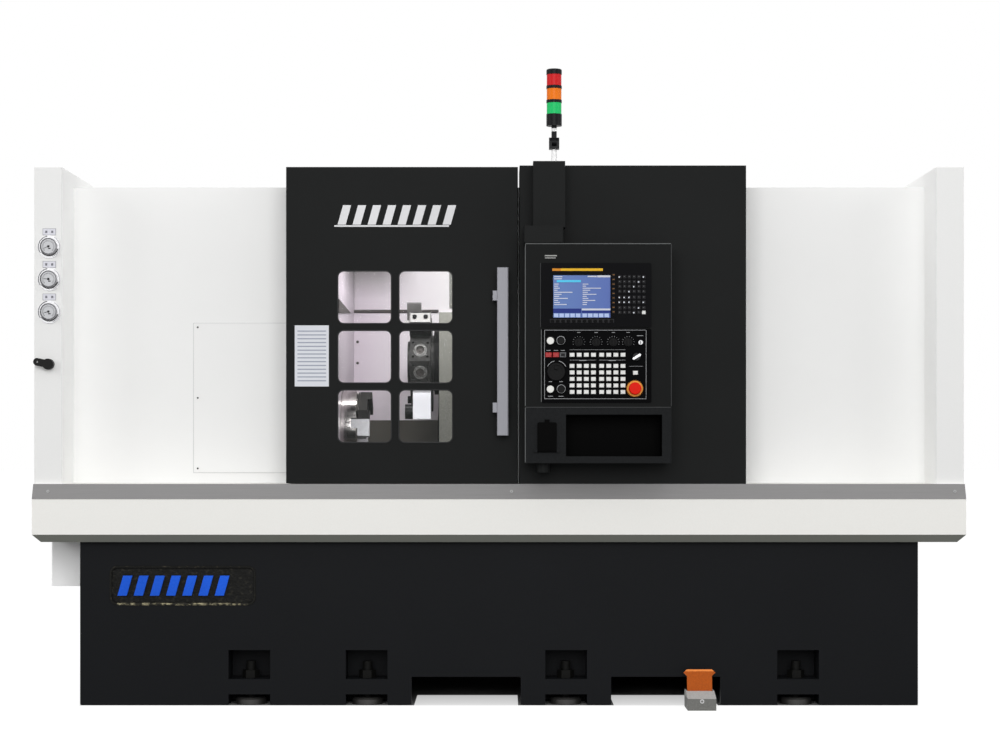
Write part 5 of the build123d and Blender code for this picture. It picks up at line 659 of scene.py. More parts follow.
def liner_finish():
    """Satin sheet steel: lavender on the left to nearly white on the right, part tint and part painted
    light, with painted shade high in the corner.
    """
    material, shader, nodes, link = surface("liner_steel", LINER_ROUGHNESS, shine=0.3)
    axes = axes_on(nodes, link)
    across = spread(nodes, link, axes["X"], *LINER_SPAN)
    # Painted light: the wall brightens from lavender on the left to nearly white on the right, over the
    # sheet's own tint.
    tint_and_painted_light = ramp_between(nodes, link, across, shade(214, 203, 213), shade(246, 243, 245), 0.1, 1.0)
    # Painted shade: the tone darkens high up towards the left corner.
    high = spread(nodes, link, axes["Z"], *LINER_SHADE_HEIGHTS)
    left = sum_node(nodes, link, "SUBTRACT", 1.0, spread(nodes, link, axes["X"], *LINER_SHADE_SPAN))
    painted_corner_shade = sum_node(nodes, link, "MULTIPLY", high, left)
    link(mixed(nodes, link, painted_corner_shade, tint_and_painted_light, shade(120, 116, 116)), shader.inputs["Base Color"])
    grain = noise_on(nodes, link, LINER_GRAIN, detail=2.0)
    rough_about(nodes, link, shader, grain, LINER_ROUGHNESS, PAINT_ROUGH_SPREAD)
    bump_on(nodes, link, shader, grain, FINE_DEPTH)
    return material


dress(liner_finish(), "inner_liner")


def lofted(work, rings, closed=False):
    """Faces between rings of points; both ends get a face, or the last ring is joined to the first."""
    for low, high in zip(rings, rings[1:] + rings[:1] if closed else rings[1:]):
        for i in range(len(low)):
            work.faces.new((low[i - 1], low[i], high[i], high[i - 1]))
    if not closed:
        work.faces.new(rings[0])
        work.faces.new(rings[-1])


def flat_plate(name, outline, thickness):
    """A plate on the left liner; its outline is given by places across and up."""

    def build(work):
        sides = (LINER_LEFT + thickness, LINER_LEFT)
        lofted(work, [[work.verts.new((x, y, z)) for y, z in outline] for x in sides])

    return mesh_from(name, build)


guard_dark = paint("guard_dark", shade(88, 84, 82), 0.5, shine=0.1)
GUSSET_OUTLINE = ((-0.574, 1.523), (-0.574, 1.469), (0.095, 1.5075))
GUSSET_THICKNESS = 0.004
# The gusset's dark grey is painted shade for a slanted panel in shadow.
piece(flat_plate("liner_gusset", GUSSET_OUTLINE, GUSSET_THICKNESS), "machine", guard_dark)
LEDGE_RIGHT = -0.257
LEDGE_Z = 1.5295
LEDGE_RADIUS = 0.007
LEDGE_PROUD = 0.010 / 3
ledge_points = [(x, LINER_BACK - LEDGE_PROUD, LEDGE_Z) for x in (LINER_LEFT, LEDGE_RIGHT)]
piece(round_rod("liner_ledge", ledge_points, LEDGE_RADIUS), "machine", guard_dark)
PIPE_X = -0.2045
PIPE_RADIUS = 0.0065
PIPE_HEIGHTS = (1.545, 1.750)
pipe_points = [(PIPE_X, LINER_UPPER_BACK - PIPE_RADIUS, z) for z in PIPE_HEIGHTS]
pipe_grey = paint("pipe_grey", shade(158, 160, 153), 0.4)
piece(round_rod("liner_pipe", pipe_points, PIPE_RADIUS), "machine", pipe_grey)
SEAM_SCREW_X = -0.600
SEAM_SCREW_HEIGHTS = (1.31, 1.40, 1.47)
SEAM_SCREW_RADIUS = 0.006
SEAM_SCREW_HEIGHT = 0.004
SEAM_SCREW_PROUD = 0.001
seam_screw_places = [(SEAM_SCREW_X, LINER_BACK - SEAM_SCREW_PROUD, z) for z in SEAM_SCREW_HEIGHTS]
screws("seam_screws", seam_screw_places, FRONTWARD, SEAM_SCREW_RADIUS, SEAM_SCREW_HEIGHT, guard_dark,
       "machine")
dress(paint("pan_paint", shade(96, 92, 86), 0.5), "chip_pan")

# Cross slide and turret: a cast column on the slide carries a twelve-station steel turret disc.
# The tool blocks are bolted to its flats; one is a bright live-tool block with a dark collet nut.
TURRET_Y = -0.03151
TURRET_Z = 1.29849
FLANGE_X = -0.2395
BLOCK_TOP_RADIUS = 0.2475
BLOCK_DARK_HEIGHTS = (1.300, 1.451)
COLLET_CORNER = (-0.343, 1.165)
BLOCK_TONES = (
    (0.0, (60, 60, 61)),
    (0.25, (206, 206, 211)),
    (0.5, (192, 191, 189)),
    (0.665, (124, 123, 121)),
)
BLOCK_GRAIN = 0.005
BLOCK_ROUGHNESS = 0.37
BLOCK_ROUGH_SPREAD = 0.09
FAR = 9.0
column_finish = split_finish("slide_column", past("X", FLANGE_X), shade(18, 18, 19), shade(140, 140, 133),
                             0.5, 0.0)
dress(column_finish, "cross_slide")
turret_steel = steel("turret_steel", shade(50, 49, 48), 0.42, (1, 1, 1), 0.3, 0.009, metallic=0.5)
dress(turret_steel, "turret_disc")


def within(low, high):
    """A test that is 1 inside a box."""

    def test(nodes, link, axes):
        factor = 1.0
        for axis, start, end in zip("XYZ", low, high):
            above = sum_node(nodes, link, "GREATER_THAN", axes[axis], start)
            below = sum_node(nodes, link, "LESS_THAN", axes[axis], end)
            inside = sum_node(nodes, link, "MULTIPLY", above, below)
            factor = sum_node(nodes, link, "MULTIPLY", factor, inside)
        return factor

    return test


def beyond_radius(centre_y, centre_z, radius):
    """A test that is 1 further than a radius from an axis along X."""

    def test(nodes, link, axes):
        across = sum_node(nodes, link, "SUBTRACT", axes["Y"], centre_y)
        up = sum_node(nodes, link, "SUBTRACT", axes["Z"], centre_z)
        squares = [sum_node(nodes, link, "MULTIPLY", side, side) for side in (across, up)]
        square = sum_node(nodes, link, "ADD", *squares)
        return sum_node(nodes, link, "GREATER_THAN", square, radius**2)

    return test


def stepped(nodes, link, factor, stops, blend="CONSTANT"):
    """A ramp of several colours, each with its place."""
    ramp = nodes.new("ShaderNodeValToRGB")
    ramp.color_ramp.interpolation = blend
    elements = ramp.color_ramp.elements
    while len(elements) < len(stops):
        elements.new(0.5)
    for element, (position, colour) in zip(elements, stops):
        element.position = position
        element.color = colour
    link(factor, ramp.inputs["Fac"])
    return ramp.outputs["Color"]


def block_finish():
    """Tool blocks by station: silver, black and one bright, with black bolt heads on top."""
    material, shader, nodes, link = surface("tool_blocks", 0.36, 0.75)
    axes = axes_on(nodes, link)
    across = sum_node(nodes, link, "SUBTRACT", TURRET_Y, axes["Y"])
    up = sum_node(nodes, link, "SUBTRACT", axes["Z"], TURRET_Z)
    turn = sum_node(nodes, link, "ARCTAN2", up, across)
    share = sum_node(nodes, link, "ADD", sum_node(nodes, link, "DIVIDE", turn, 2 * math.pi), 0.5)
    tone = stepped(nodes, link, share, [(place, shade(*colour)) for place, colour in BLOCK_TONES])
    flank_low, flank_high = BLOCK_DARK_HEIGHTS
    flank = within((-FAR, -FAR, flank_low), (FAR, FAR, flank_high))(nodes, link, axes)
    nut = within((-FAR, -FAR, -FAR), (COLLET_CORNER[0], FAR, COLLET_CORNER[1]))(nodes, link, axes)
    bolts = beyond_radius(TURRET_Y, TURRET_Z, BLOCK_TOP_RADIUS)(nodes, link, axes)
    bolts = sum_node(nodes, link, "MULTIPLY", bolts, past("Z", flank_low)(nodes, link, axes))
    dark = sum_node(nodes, link, "MAXIMUM", sum_node(nodes, link, "MAXIMUM", flank, nut), bolts)
    link(mixed(nodes, link, dark, tone, shade(26, 26, 27)), shader.inputs["Base Color"])
    grain = noise_on(nodes, link, BLOCK_GRAIN, detail=4.0)
    rough_about(nodes, link, shader, grain, BLOCK_ROUGHNESS, BLOCK_ROUGH_SPREAD)
    bump_on(nodes, link, shader, grain, FINE_DEPTH)
    return material


dress(block_finish(), "tool_holders")

# Station sockets: turned bright rings pressed into the free bores of the turret's flats.
# Each carries a dark plug that keeps the chips out.
STATION_X = -0.3144
STATION_REACH = 0.174
FREE_ANGLES = (-15, 15, 105, 135, 195, 255, 285)
SOCKET_STEPS = 28
RING_PROFILE = ((0.0274, -0.012), (0.0274, -0.004), (0.0225, -0.004), (0.0210, -0.0005), (0.0165, -0.0005),
                (0.0150, -0.012))
PLUG_PROFILE = ((0.0165, -0.013), (0.0165, -0.008), (0.0060, -0.008), (0.0045, -0.005))


def turned(profile, degrees):
    """A builder of one part turned about the outward line of a station, closed at both ends."""
    angle = math.radians(degrees)
    along = Vector((1, 0, 0))
    outward = Vector((0, -math.cos(angle), math.sin(angle)))
    across = outward.cross(along)
    centre = Vector((STATION_X, TURRET_Y, TURRET_Z)) + outward * STATION_REACH
    turns = [2 * math.pi * i / SOCKET_STEPS for i in range(SOCKET_STEPS)]
    ways = [along * math.cos(turn) + across * math.sin(turn) for turn in turns]

    def build(work):
        lofted(work, [
            [work.verts.new(centre + outward * rise + way * radius) for way in ways]
            for radius, rise in profile
        ])

    return build


def station_set(profile):
    """The same turned part in every free station."""

    def build(work):
        for degrees in FREE_ANGLES:
            turned(profile, degrees)(work)

    return build


socket_steel = steel("socket_steel", shade(196, 195, 193), 0.25, contrast=0.1)
piece(mesh_from("station_rings", station_set(RING_PROFILE)), "turret", socket_steel)
piece(mesh_from("station_plugs", station_set(PLUG_PROFILE)), "turret", guard_dark)

# Pressure gauges: three round dial gauges in the left end cover, each with a bright flange ring.
# A pale printed dial, a scale of ticks, a pointer and a hub sit behind the glass, with a plate above.
dress(steel("gauge_rims", shade(214, 214, 216), 0.4, contrast=0.04, metallic=0.3), "pressure_gauges")
gauge_low, gauge_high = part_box("pressure_gauges")
GAUGE_COUNT = 3
GAUGE_TICKS = 24
DIAL_RADIUS = 0.0265
DIAL_THICKNESS = 0.0012
DIAL_SWEEP = 270
POINTER_ANGLES = (196, 178, 205)
BEZEL_RADIUS = 0.0315
BEZEL_RISE = 0.012
gauge_x = (gauge_low[0] + gauge_high[0]) / 2
flange_radius = (gauge_high[0] - gauge_low[0]) / 2
gauge_step = (gauge_high[2] - gauge_low[2] - 2 * flange_radius) / (GAUGE_COUNT - 1)
gauge_heights = [gauge_low[2] + flange_radius + i * gauge_step for i in range(GAUGE_COUNT)]
dial_y = gauge_low[1] - DIAL_THICKNESS / 2

mark_tree, mark_sockets, mark_in, mark_out = tree_with("printed_marks", {"Finish": "Material"})
mark_block = mark_tree.nodes.new("GeometryNodeMeshCube")
copy_on_points(mark_tree, mark_in, mark_out, mark_block.outputs["Mesh"], named_vector(mark_tree, "extent"),
               turn_along(mark_tree, "X"))


def marks(name, places, sizes, finish, body, ways=(1, 0, 0)):
    """Printed marks: thin blocks of given sizes at places, each turned along its way."""
    start = points_mesh(f"{name}_points", places, ways, sizes)
    return grown(name, start, mark_tree, mark_sockets, {"Finish": finish}, body)


def dial_marks(centre, inner, outer, width, first, last, count):
    """Places, sizes and ways of the ticks round a dial, on a face towards the operator."""
    ways = [ring_way(first + (last - first) * i / (count - 1)) for i in range(count)]
    places = [Vector(centre) + way * (inner + outer) / 2 for way in ways]
    return places, [(outer - inner, DIAL_THICKNESS, width)] * count, [tuple(way) for way in ways]


DISC_PROFILE = ((1, 0.5), (1, -0.38), (0.88, -0.5))


def discs(name, places, radius, depth, steps=40):
    """Round plates facing the operator, with a small rounded rim."""
    ways = [ring_way(360 * i / steps) for i in range(steps)]

    def build(work):
        for x, y, z in places:
            middles = [Vector((x, y + depth * forward, z)) for _, forward in DISC_PROFILE]
            lofted(work, [
                [work.verts.new(middle + way * radius * radial) for way in ways]
                for middle, (radial, _) in zip(middles, DISC_PROFILE)
            ])

    return mesh_from(name, build)


def arc_rod(centre, radius, tube, first, last, steps=20):
    """A thin round rod bent along an arc on a face towards the operator."""
    ways = [ring_way(first + (last - first) * i / steps) for i in range(steps + 1)]
    return round_rod("arc", [tuple(Vector(centre) + way * radius) for way in ways], tube, False, 1)


def joined(name, meshes, body, material):
    """Several meshes kept as one piece."""
    work = bmesh.new()
    for mesh in meshes:
        work.from_mesh(mesh)
        bpy.data.meshes.remove(mesh)
    whole = bpy.data.meshes.new(name)
    work.to_mesh(whole)
    work.free()
    whole.shade_smooth()
    return piece(whole, body, material)


def moulded(name, colour, roughness, shine=0.5, mottle=0.05, grain_size=0.0012, depth=0.00006):
    """Moulded plastic or enamel: even colour, a faint flow of tone and a satin grain."""
    return paint(name, colour, roughness, mottle, grain_size, depth, shine)


dial_white = moulded("dial_white", shade(196, 197, 200), 0.35, 0.2)
print_black = moulded("print_black", shade(24, 24, 25), 0.5, 0.2)
bezel_grey = steel("bezel_grey", shade(82, 82, 84), 0.3)
TICK_INNER = 0.0185
TICK_OUTER = 0.0235
TICK_WIDTH = 0.0010
DIAL_START = -45
DIAL_END = DIAL_START + DIAL_SWEEP
POINTER_REACH = 0.006
POINTER_SIZE = (0.024, DIAL_THICKNESS * 1.5, 0.0016)
DIAL_MARK_SHIFT = Vector((0.004, 0, -0.008))
DIAL_MARK_SIZE = (0.009, DIAL_THICKNESS, 0.004)
HUB_RADIUS = 0.0042
HUB_STEPS = 16


def dial_places(forward):
    """The middle of each gauge, some dial thicknesses in front of the first."""
    return [(gauge_x, dial_y - forward * DIAL_THICKNESS, z) for z in gauge_heights]


gauge_bezels = discs("gauge_bezels", dial_places(0), BEZEL_RADIUS, DIAL_THICKNESS)
piece(gauge_bezels, "machine", bezel_grey)
gauge_dials = discs("gauge_dials", dial_places(0.5), DIAL_RADIUS, DIAL_THICKNESS)
piece(gauge_dials, "machine", dial_white)
tick_places, tick_sizes, tick_ways = [], [], []
for centre, angle in zip(dial_places(1), POINTER_ANGLES):
    pointer_way = ring_way(angle)
    ring = dial_marks(centre, TICK_INNER, TICK_OUTER, TICK_WIDTH, DIAL_START, DIAL_END, GAUGE_TICKS)
    for gathered, found in zip((tick_places, tick_sizes, tick_ways), ring):
        gathered.extend(found)
    tick_places += [Vector(centre) + pointer_way * POINTER_REACH, Vector(centre) + DIAL_MARK_SHIFT]
    tick_sizes += [POINTER_SIZE, DIAL_MARK_SIZE]
    tick_ways += [tuple(pointer_way), (1, 0, 0)]
marks("gauge_scales", tick_places, tick_sizes, print_black, "machine", tick_ways)
gauge_hubs = discs("gauge_hubs", dial_places(1.5), HUB_RADIUS, 2 * DIAL_THICKNESS, HUB_STEPS)
piece(gauge_hubs, "machine", print_black)
RING_TUBE = 0.0016
RING_ARCS = (
    (flange_radius - 2 * RING_TUBE, RING_TUBE, 100, 215),
    (flange_radius - 2 * RING_TUBE, RING_TUBE / 2, -70, 60),
    (BEZEL_RADIUS + 1.5 * RING_TUBE, 1.5 * RING_TUBE, -145, -15),
)
ring_y = gauge_low[1] + BEZEL_RISE
ring_arcs = [arc_rod((gauge_x, ring_y, z), *arc) for z in gauge_heights for arc in RING_ARCS]
joined("gauge_rings", ring_arcs, "machine", bezel_grey)
GAUGE_PLATE_SIZE = (0.046, 0.0016, 0.022)
GAUGE_PLATE_RISE = 0.055
GAUGE_FRAME = 0.0014
PLATE_MARK_SPREAD = 0.011
PLATE_MARK_SIZE = (0.008, 0.0020, 0.009)
gauge_plate_y = cover_front - GAUGE_PLATE_SIZE[1] / 2
gauge_plate_places = [(gauge_x, gauge_plate_y, z + GAUGE_PLATE_RISE) for z in gauge_heights]
plate_wide, plate_deep, plate_tall = GAUGE_PLATE_SIZE
frame_size = (plate_wide + 2 * GAUGE_FRAME, plate_deep / 2, plate_tall + 2 * GAUGE_FRAME)
marks("gauge_plate_frames", gauge_plate_places, [frame_size] * GAUGE_COUNT,
      moulded("frame_grey", shade(132, 132, 138), 0.45), "machine")
marks("gauge_plates", gauge_plate_places, [GAUGE_PLATE_SIZE] * GAUGE_COUNT,
      moulded("plate_lavender", shade(206, 206, 214), 0.45), "machine")
plate_mark_places = [
    (x + side * PLATE_MARK_SPREAD, y, z) for x, y, z in gauge_plate_places for side in (-1, 1)
]
marks("gauge_plate_marks", plate_mark_places, [PLATE_MARK_SIZE] * (2 * GAUGE_COUNT),
      moulded("mark_grey", shade(104, 104, 112), 0.5), "machine")

# Latch: a moulded black knob with a short arm, turned to free the left end cover.
# The arm is drilled near its end.
dress(moulded("latch_black", shade(14, 14, 14), 0.45, 0.12), "latch_lever")

# Sliding door: a deep black sheet-steel door on a top rail, with six rounded windows in a rebate.
# Its glass is held by slim black gaskets, and a brushed aluminium bar handle stands on two brackets.
black_paint = moulded("black_paint", shade(25, 26, 26), 0.5, 0.05, 0.06, 0.003, 0.0002)
dress(black_paint, "door_panel", "control_cover", "pendant_arm")
dress(dark_steel, "door_carriages")
GLASS_DRIFT = 0.4
GLASS_ALPHA = 0.012


def clear_glass(name):
    """Laminated safety glass: nearly clear, with a faint green body."""
    material, shader, nodes, link = surface(name, 0.04)
    tint = noise_on(nodes, link, GLASS_DRIFT)
    tone = ramp_between(nodes, link, tint, shade(226, 234, 230), shade(236, 240, 238))
    link(tone, shader.inputs["Base Color"])
    shader.inputs["Alpha"].default_value = GLASS_ALPHA
    return material


dress(clear_glass("window_glass"), "door_glass")
handle_metal = steel("handle_aluminium", shade(140, 140, 147), 0.5, (1, 1, 40), 0.05, 0.002, metallic=0.1)
dress(handle_metal, "door_handle")
WINDOW_CENTRE = (-0.384, 1.292)
WINDOW_SIZE = (0.198, 0.194)
WINDOW_CORNER = 0.022
WINDOW_ARC_STEPS = 6
WINDOW_PITCH = (0.2265, 0.220)
GASKET_RADIUS = 0.0022
door_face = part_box("door_panel")[0][1]
gasket_black = moulded("gasket_black", shade(34, 34, 35), 0.6, 0.3)
gaskets = []
for column in (-0.5, 0.5):
    for row in (-1, 0, 1):
        middle = (WINDOW_CENTRE[0] + column * WINDOW_PITCH[0], WINDOW_CENTRE[1] + row * WINDOW_PITCH[1])
        loop = rounded_loop(middle, WINDOW_SIZE, WINDOW_CORNER, door_face, WINDOW_ARC_STEPS)
        gaskets.append(round_rod("gasket", loop, GASKET_RADIUS, True, 2))
joined("window_gaskets", gaskets, "door", gasket_black)

DOOR_BAR_COUNT = 8
DOOR_BAR_PITCH = 0.0555
DOOR_BAR_SIZE = (0.030, 0.002, 0.072)
DOOR_BARS_LEFT = -0.572
DOOR_BARS_Z = 1.8165
UNDERLINE_SIZE = (0.424, 0.002, 0.006)
UNDERLINE_PLACE = (-0.397, 1.7755)
silver = paint("silver_trim", shade(212, 212, 214), 0.4, mottle=0.06, grain_size=0.003)
bar_y = door_face - DOOR_BAR_SIZE[1] / 2
door_bar_places = [(DOOR_BARS_LEFT + i * DOOR_BAR_PITCH, bar_y, DOOR_BARS_Z) for i in range(DOOR_BAR_COUNT)]
slanted_bars("door_bars", door_bar_places, DOOR_BAR_SIZE, silver, "door")
marks("door_underline", [(UNDERLINE_PLACE[0], bar_y, UNDERLINE_PLACE[1])], [UNDERLINE_SIZE], silver, "door")
CARD_CENTRE = (-0.6925, 1.295)
CARD_SIZE = (0.126, 0.0010, 0.226)
CARD_RULES = 14
RULE_LENGTH = 0.84
RULE_HEIGHT = 0.3
card_y = door_face - CARD_SIZE[1] / 2
rule_step = CARD_SIZE[2] / (CARD_RULES + 2)
card_x, card_z = CARD_CENTRE
rule_y = card_y - CARD_SIZE[1] / 2
rule_size = (CARD_SIZE[0] * RULE_LENGTH, CARD_SIZE[1], rule_step * RULE_HEIGHT)
rule_places = [(card_x, rule_y, card_z + (i - CARD_RULES / 2 + 0.5) * rule_step) for i in range(CARD_RULES)]
card_white = moulded("card_white", shade(214, 216, 222), 0.5, 0.2)
card_grey = moulded("card_grey", shade(150, 156, 170), 0.5, 0.2)
marks("door_card", [(card_x, card_y, card_z)], [CARD_SIZE], card_white, "door")
marks("card_rules", rule_places, [rule_size] * CARD_RULES, card_grey, "door")

# Pendant: a black sheet-steel case hung on a swivel arm, with a screen unit and an operator plate.
# The units are moulded dark plastic, held in the case's front, with thin pale lines on the edges as painted
# highlights.
case_paint = moulded("case_paint", shade(21, 22, 22), 0.48, 0.04, 0.06, 0.003, 0.0002)
bezel = moulded("bezel_plastic", shade(7, 7, 9), 0.45, 0.03)
plate = moulded("plate_plastic", shade(4, 4, 5), 0.5, 0.02)
dress(case_paint, "pendant_case")
dress(bezel, "display_unit")
dress(plate, "operator_plate")
dress(moulded("slide_plastic", shade(3, 3, 3), 0.5, 0.02), "interface_cover")
case_low, case_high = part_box("pendant_case")
box_low, box_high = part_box("storage_box")
unit_low, unit_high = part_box("display_unit")
plate_low, plate_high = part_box("operator_plate")
COLLAR_RISE = 0.009
UNIT_KEY_RISE = 0.0022
plate_face = plate_low[1] + COLLAR_RISE
unit_face = unit_low[1] + UNIT_KEY_RISE
CASE_TOP = 1.697
POCKET_XS = (0.2445, 0.5895)
POCKET_ZS = (0.9265, 1.0745)
SKIN = 0.002
pocket_low = (POCKET_XS[0] - SKIN, box_low[1] + SKIN, POCKET_ZS[0] - SKIN)
pocket_high = (POCKET_XS[1] + SKIN, box_high[1] - SKIN, POCKET_ZS[1] + SKIN)
# The pocket's inside is painted nearly black against the box's black: painted shade in the recess.
pocket_shade_zone = within(pocket_low, pocket_high)
box_with_shaded_pocket = split_finish("storage_paint_shaded_pocket", pocket_shade_zone, shade(31, 32, 33), shade(2, 2, 2), 0.5, 0.0, 0.02)
dress(box_with_shaded_pocket, "storage_box")
EDGE_WIDTH = 0.0028
EDGE_DEPTH = 0.0016
EDGE_STAY = 2 * EDGE_WIDTH
edge_highlight_grey = moulded("edge_highlight_grey", shade(92, 94, 94), 0.45, 0.1)
edge_highlight_dim = moulded("edge_highlight_dim", shade(52, 53, 54), 0.45, 0.1)


def painted_edge_highlights(name, spans, finish):
    """Thin pale lines on the pendant's front edges, painted highlights: each span is its middle, its front
    and its two lengths.
    """
    marks(name, [(x, y, z) for x, y, z, _, _ in spans],
          [(max(wide, EDGE_WIDTH), EDGE_DEPTH, max(tall, EDGE_WIDTH)) for _, _, _, wide, tall in spans],
          finish, "pendant")


case_middle = ((case_low[0] + case_high[0]) / 2, (case_low[2] + CASE_TOP) / 2)
case_span = (case_high[0] - case_low[0] - EDGE_STAY, CASE_TOP - case_low[2] - EDGE_STAY)
box_span = (box_high[0] - box_low[0] - EDGE_STAY, box_high[2] - box_low[2] - EDGE_STAY)
box_middle = (box_low[2] + box_high[2]) / 2
unit_middle, unit_span = (unit_low[2] + unit_high[2]) / 2, unit_high[2] - unit_low[2]
plate_middle, plate_span = (plate_low[2] + plate_high[2]) / 2, plate_high[2] - plate_low[2] - EDGE_STAY
# Painted highlights along the case, box, screen unit and plate edges.
painted_edge_highlights("case_edge_highlights", [
    (case_low[0] + EDGE_WIDTH / 2, case_low[1], case_middle[1], 0, case_span[1]),
    (box_low[0] + EDGE_WIDTH / 2, case_low[1], box_middle, 0, box_span[1]),
    (case_middle[0], case_low[1], CASE_TOP - EDGE_WIDTH / 2, case_span[0], 0),
], edge_highlight_grey)
painted_edge_highlights("box_edge_highlights", [
    (case_middle[0], case_low[1], box_high[2] - EDGE_WIDTH / 2, box_span[0], 0),
    (case_high[0] - EDGE_WIDTH / 2, case_low[1], case_middle[1], 0, case_span[1]),
    (unit_low[0] - EDGE_WIDTH / 2, case_low[1], unit_middle, 0, unit_span),
], edge_highlight_dim)
plate_edge_x = plate_low[0] + EDGE_WIDTH / 2
painted_edge_highlights("plate_edge_highlights", [(plate_edge_x, plate_face, plate_middle, 0, plate_span)], edge_highlight_grey)
BADGE_SIZES = ((0.044, 0.004), (0.038, 0.003))
BADGE_PLACES = ((0.188, 1.652), (0.186, 1.644))
bar_grey = moulded("bar_grey", shade(150, 150, 148), 0.5)
marks("case_bars", [(x, case_low[1], z) for x, z in BADGE_PLACES],
      [(wide, EDGE_DEPTH, tall) for wide, tall in BADGE_SIZES], bar_grey, "pendant")

# Screen: a flat colour display behind glass in the screen unit.
# It shows a blank page of list bars, a title bar and a foot band, with a stripe along the bezel above.
screen_low, screen_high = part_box("display_screen")


def screen_finish():
    """A lit display: periwinkle that deepens to the right under a glossy cover glass."""
    material, shader, nodes, link = surface("screen_glass", 0.3, shine=0.1)
    across = spread(nodes, link, axes_on(nodes, link)["X"], screen_low[0], screen_high[0])
    tone = ramp_between(nodes, link, across, shade(96, 124, 180), shade(84, 106, 172), 0, 1)
    link(tone, shader.inputs["Base Color"])
    return material


dress(screen_finish(), "display_screen")
PRINT_DEPTH = 0.0008
screen_width = screen_high[0] - screen_low[0]
screen_height = screen_high[2] - screen_low[2]
screen_front = screen_low[1] - PRINT_DEPTH / 2


def screen_bars(name, bars, finish):
    """Bars on the screen; each gives its left, right, low and high shares of the screen."""
    places = [
        (screen_low[0] + (left + right) / 2 * screen_width, screen_front,
         screen_low[2] + (low + high) / 2 * screen_height)
        for left, right, low, high in bars
    ]
    sizes = [((right - left) * screen_width, PRINT_DEPTH, (high - low) * screen_height)
             for left, right, low, high in bars]
    marks(name, places, sizes, finish, "pendant")


print_white = moulded("print_white", shade(206, 209, 218), 0.5, 0.1)
screen_pale = moulded("screen_pale", shade(176, 194, 232), 0.4, 0.1)
screen_navy = moulded("screen_navy", shade(28, 46, 120), 0.4, 0.1)
LIST_TOP = 0.79
LIST_STEP = 0.048
LIST_HALF = 0.009
LIST_SHARES = (0.08, 0.07, 0.10, 0.06, 0.32, 0.13, 0.09, 0.24, 0.07, 0.10, 0.22)
LIST_COLUMNS = ((0.015, 0), (0.515, 2))
list_bars = [
    (start, start + share, LIST_TOP - LIST_STEP * row - LIST_HALF, LIST_TOP - LIST_STEP * row + LIST_HALF)
    for start, shift in LIST_COLUMNS
    for row, share in enumerate(LIST_SHARES[shift:] + LIST_SHARES[:shift])
]
HEAD_BARS = [(0.015, 0.16, 0.955, 0.975), (0.015, 0.15, 0.905, 0.925), (0.60, 0.76, 0.955, 0.985)]
TITLE_BARS = [(0.06, 0.485, 0.835, 0.885)]
FOOT_BARS = [(0.0, 0.49, 0.11, 0.215), (0.5, 1.0, 0.11, 0.165)]
LINE_BARS = [(0.5, 1.0, 0.175, 0.215), (0.77, 1.0, 0.95, 0.995)]
screen_bars("screen_lists", list_bars + HEAD_BARS, print_white)
screen_bars("screen_title", TITLE_BARS, moulded("screen_cyan", shade(84, 200, 236), 0.4, 0.1))
screen_bars("screen_foot", FOOT_BARS, screen_navy)
screen_bars("screen_line", LINE_BARS, print_white)
TAB_COUNT = 5
TAB_INSET = 0.012
TAB_PITCH = 0.096
TAB_WIDTH = 0.078
TAB_HEIGHTS = (0.012, 0.098)
tab_starts = [group + TAB_INSET + i * TAB_PITCH for group in (0, 0.5) for i in range(TAB_COUNT)]
screen_bars("screen_tabs", [(start, start + TAB_WIDTH, *TAB_HEIGHTS) for start in tab_starts], screen_pale)
STRIPE_LOW, STRIPE_HIGH = 1.5965, 1.6055
STRIPES = (("stripe_amber", 0.224, 0.376, (226, 176, 40)), ("stripe_orange", 0.193, 0.224, (206, 132, 36)))
stripe_y = unit_face - PRINT_DEPTH / 2
for name, left, right, tone in STRIPES:
    marks(f"screen_{name}", [((left + right) / 2, stripe_y, (STRIPE_LOW + STRIPE_HIGH) / 2)],
          [(right - left, PRINT_DEPTH, STRIPE_HIGH - STRIPE_LOW)], moulded(name, shade(*tone), 0.45, 0.1),
          "pendant")

# Keys: moulded key caps set in rows on the screen unit and the operator plate.
# The operator's keys are white, the typing keys dark with a pale mark, and the lamps red and grey.
FRONT_NORMAL = -0.5
key_tree, key_sockets, key_in, key_out = tree_with("key_caps", {"Crown": "Float", "Finish": "Material"})
key_block = key_tree.nodes.new("GeometryNodeMeshCube")
key_normal = key_tree.nodes.new("GeometryNodeInputNormal")
key_axes = key_tree.nodes.new("ShaderNodeSeparateXYZ")
key_top = key_tree.nodes.new("FunctionNodeCompare")
key_top.data_type = "FLOAT"
key_top.operation = "LESS_THAN"
key_top.inputs[1].default_value = FRONT_NORMAL
key_crown = key_tree.nodes.new("GeometryNodeScaleElements")
wire(
    key_tree,
    (key_normal.outputs["Normal"], key_axes.inputs["Vector"]),
    (key_axes.outputs["Y"], key_top.inputs[0]),
    (key_block.outputs["Mesh"], key_crown.inputs["Geometry"]),
    (key_top.outputs["Result"], key_crown.inputs["Selection"]),
    (key_in["Crown"], key_crown.inputs["Scale"]),
)
copy_on_points(key_tree, key_in, key_out, key_crown.outputs["Geometry"], named_vector(key_tree, "extent"))
KEY_CROWN = 0.84


def keys(name, places, size, finish):
    """Key caps of one size on the pendant, each standing on the face at its place."""
    seats = [(x, y - size[1] / 2, z) for x, y, z in places]
    start = points_mesh(f"{name}_points", seats, sizes=[size] * len(places))
    values = {"Crown": KEY_CROWN, "Finish": finish}
    return grown(name, start, key_tree, key_sockets, values, "pendant")


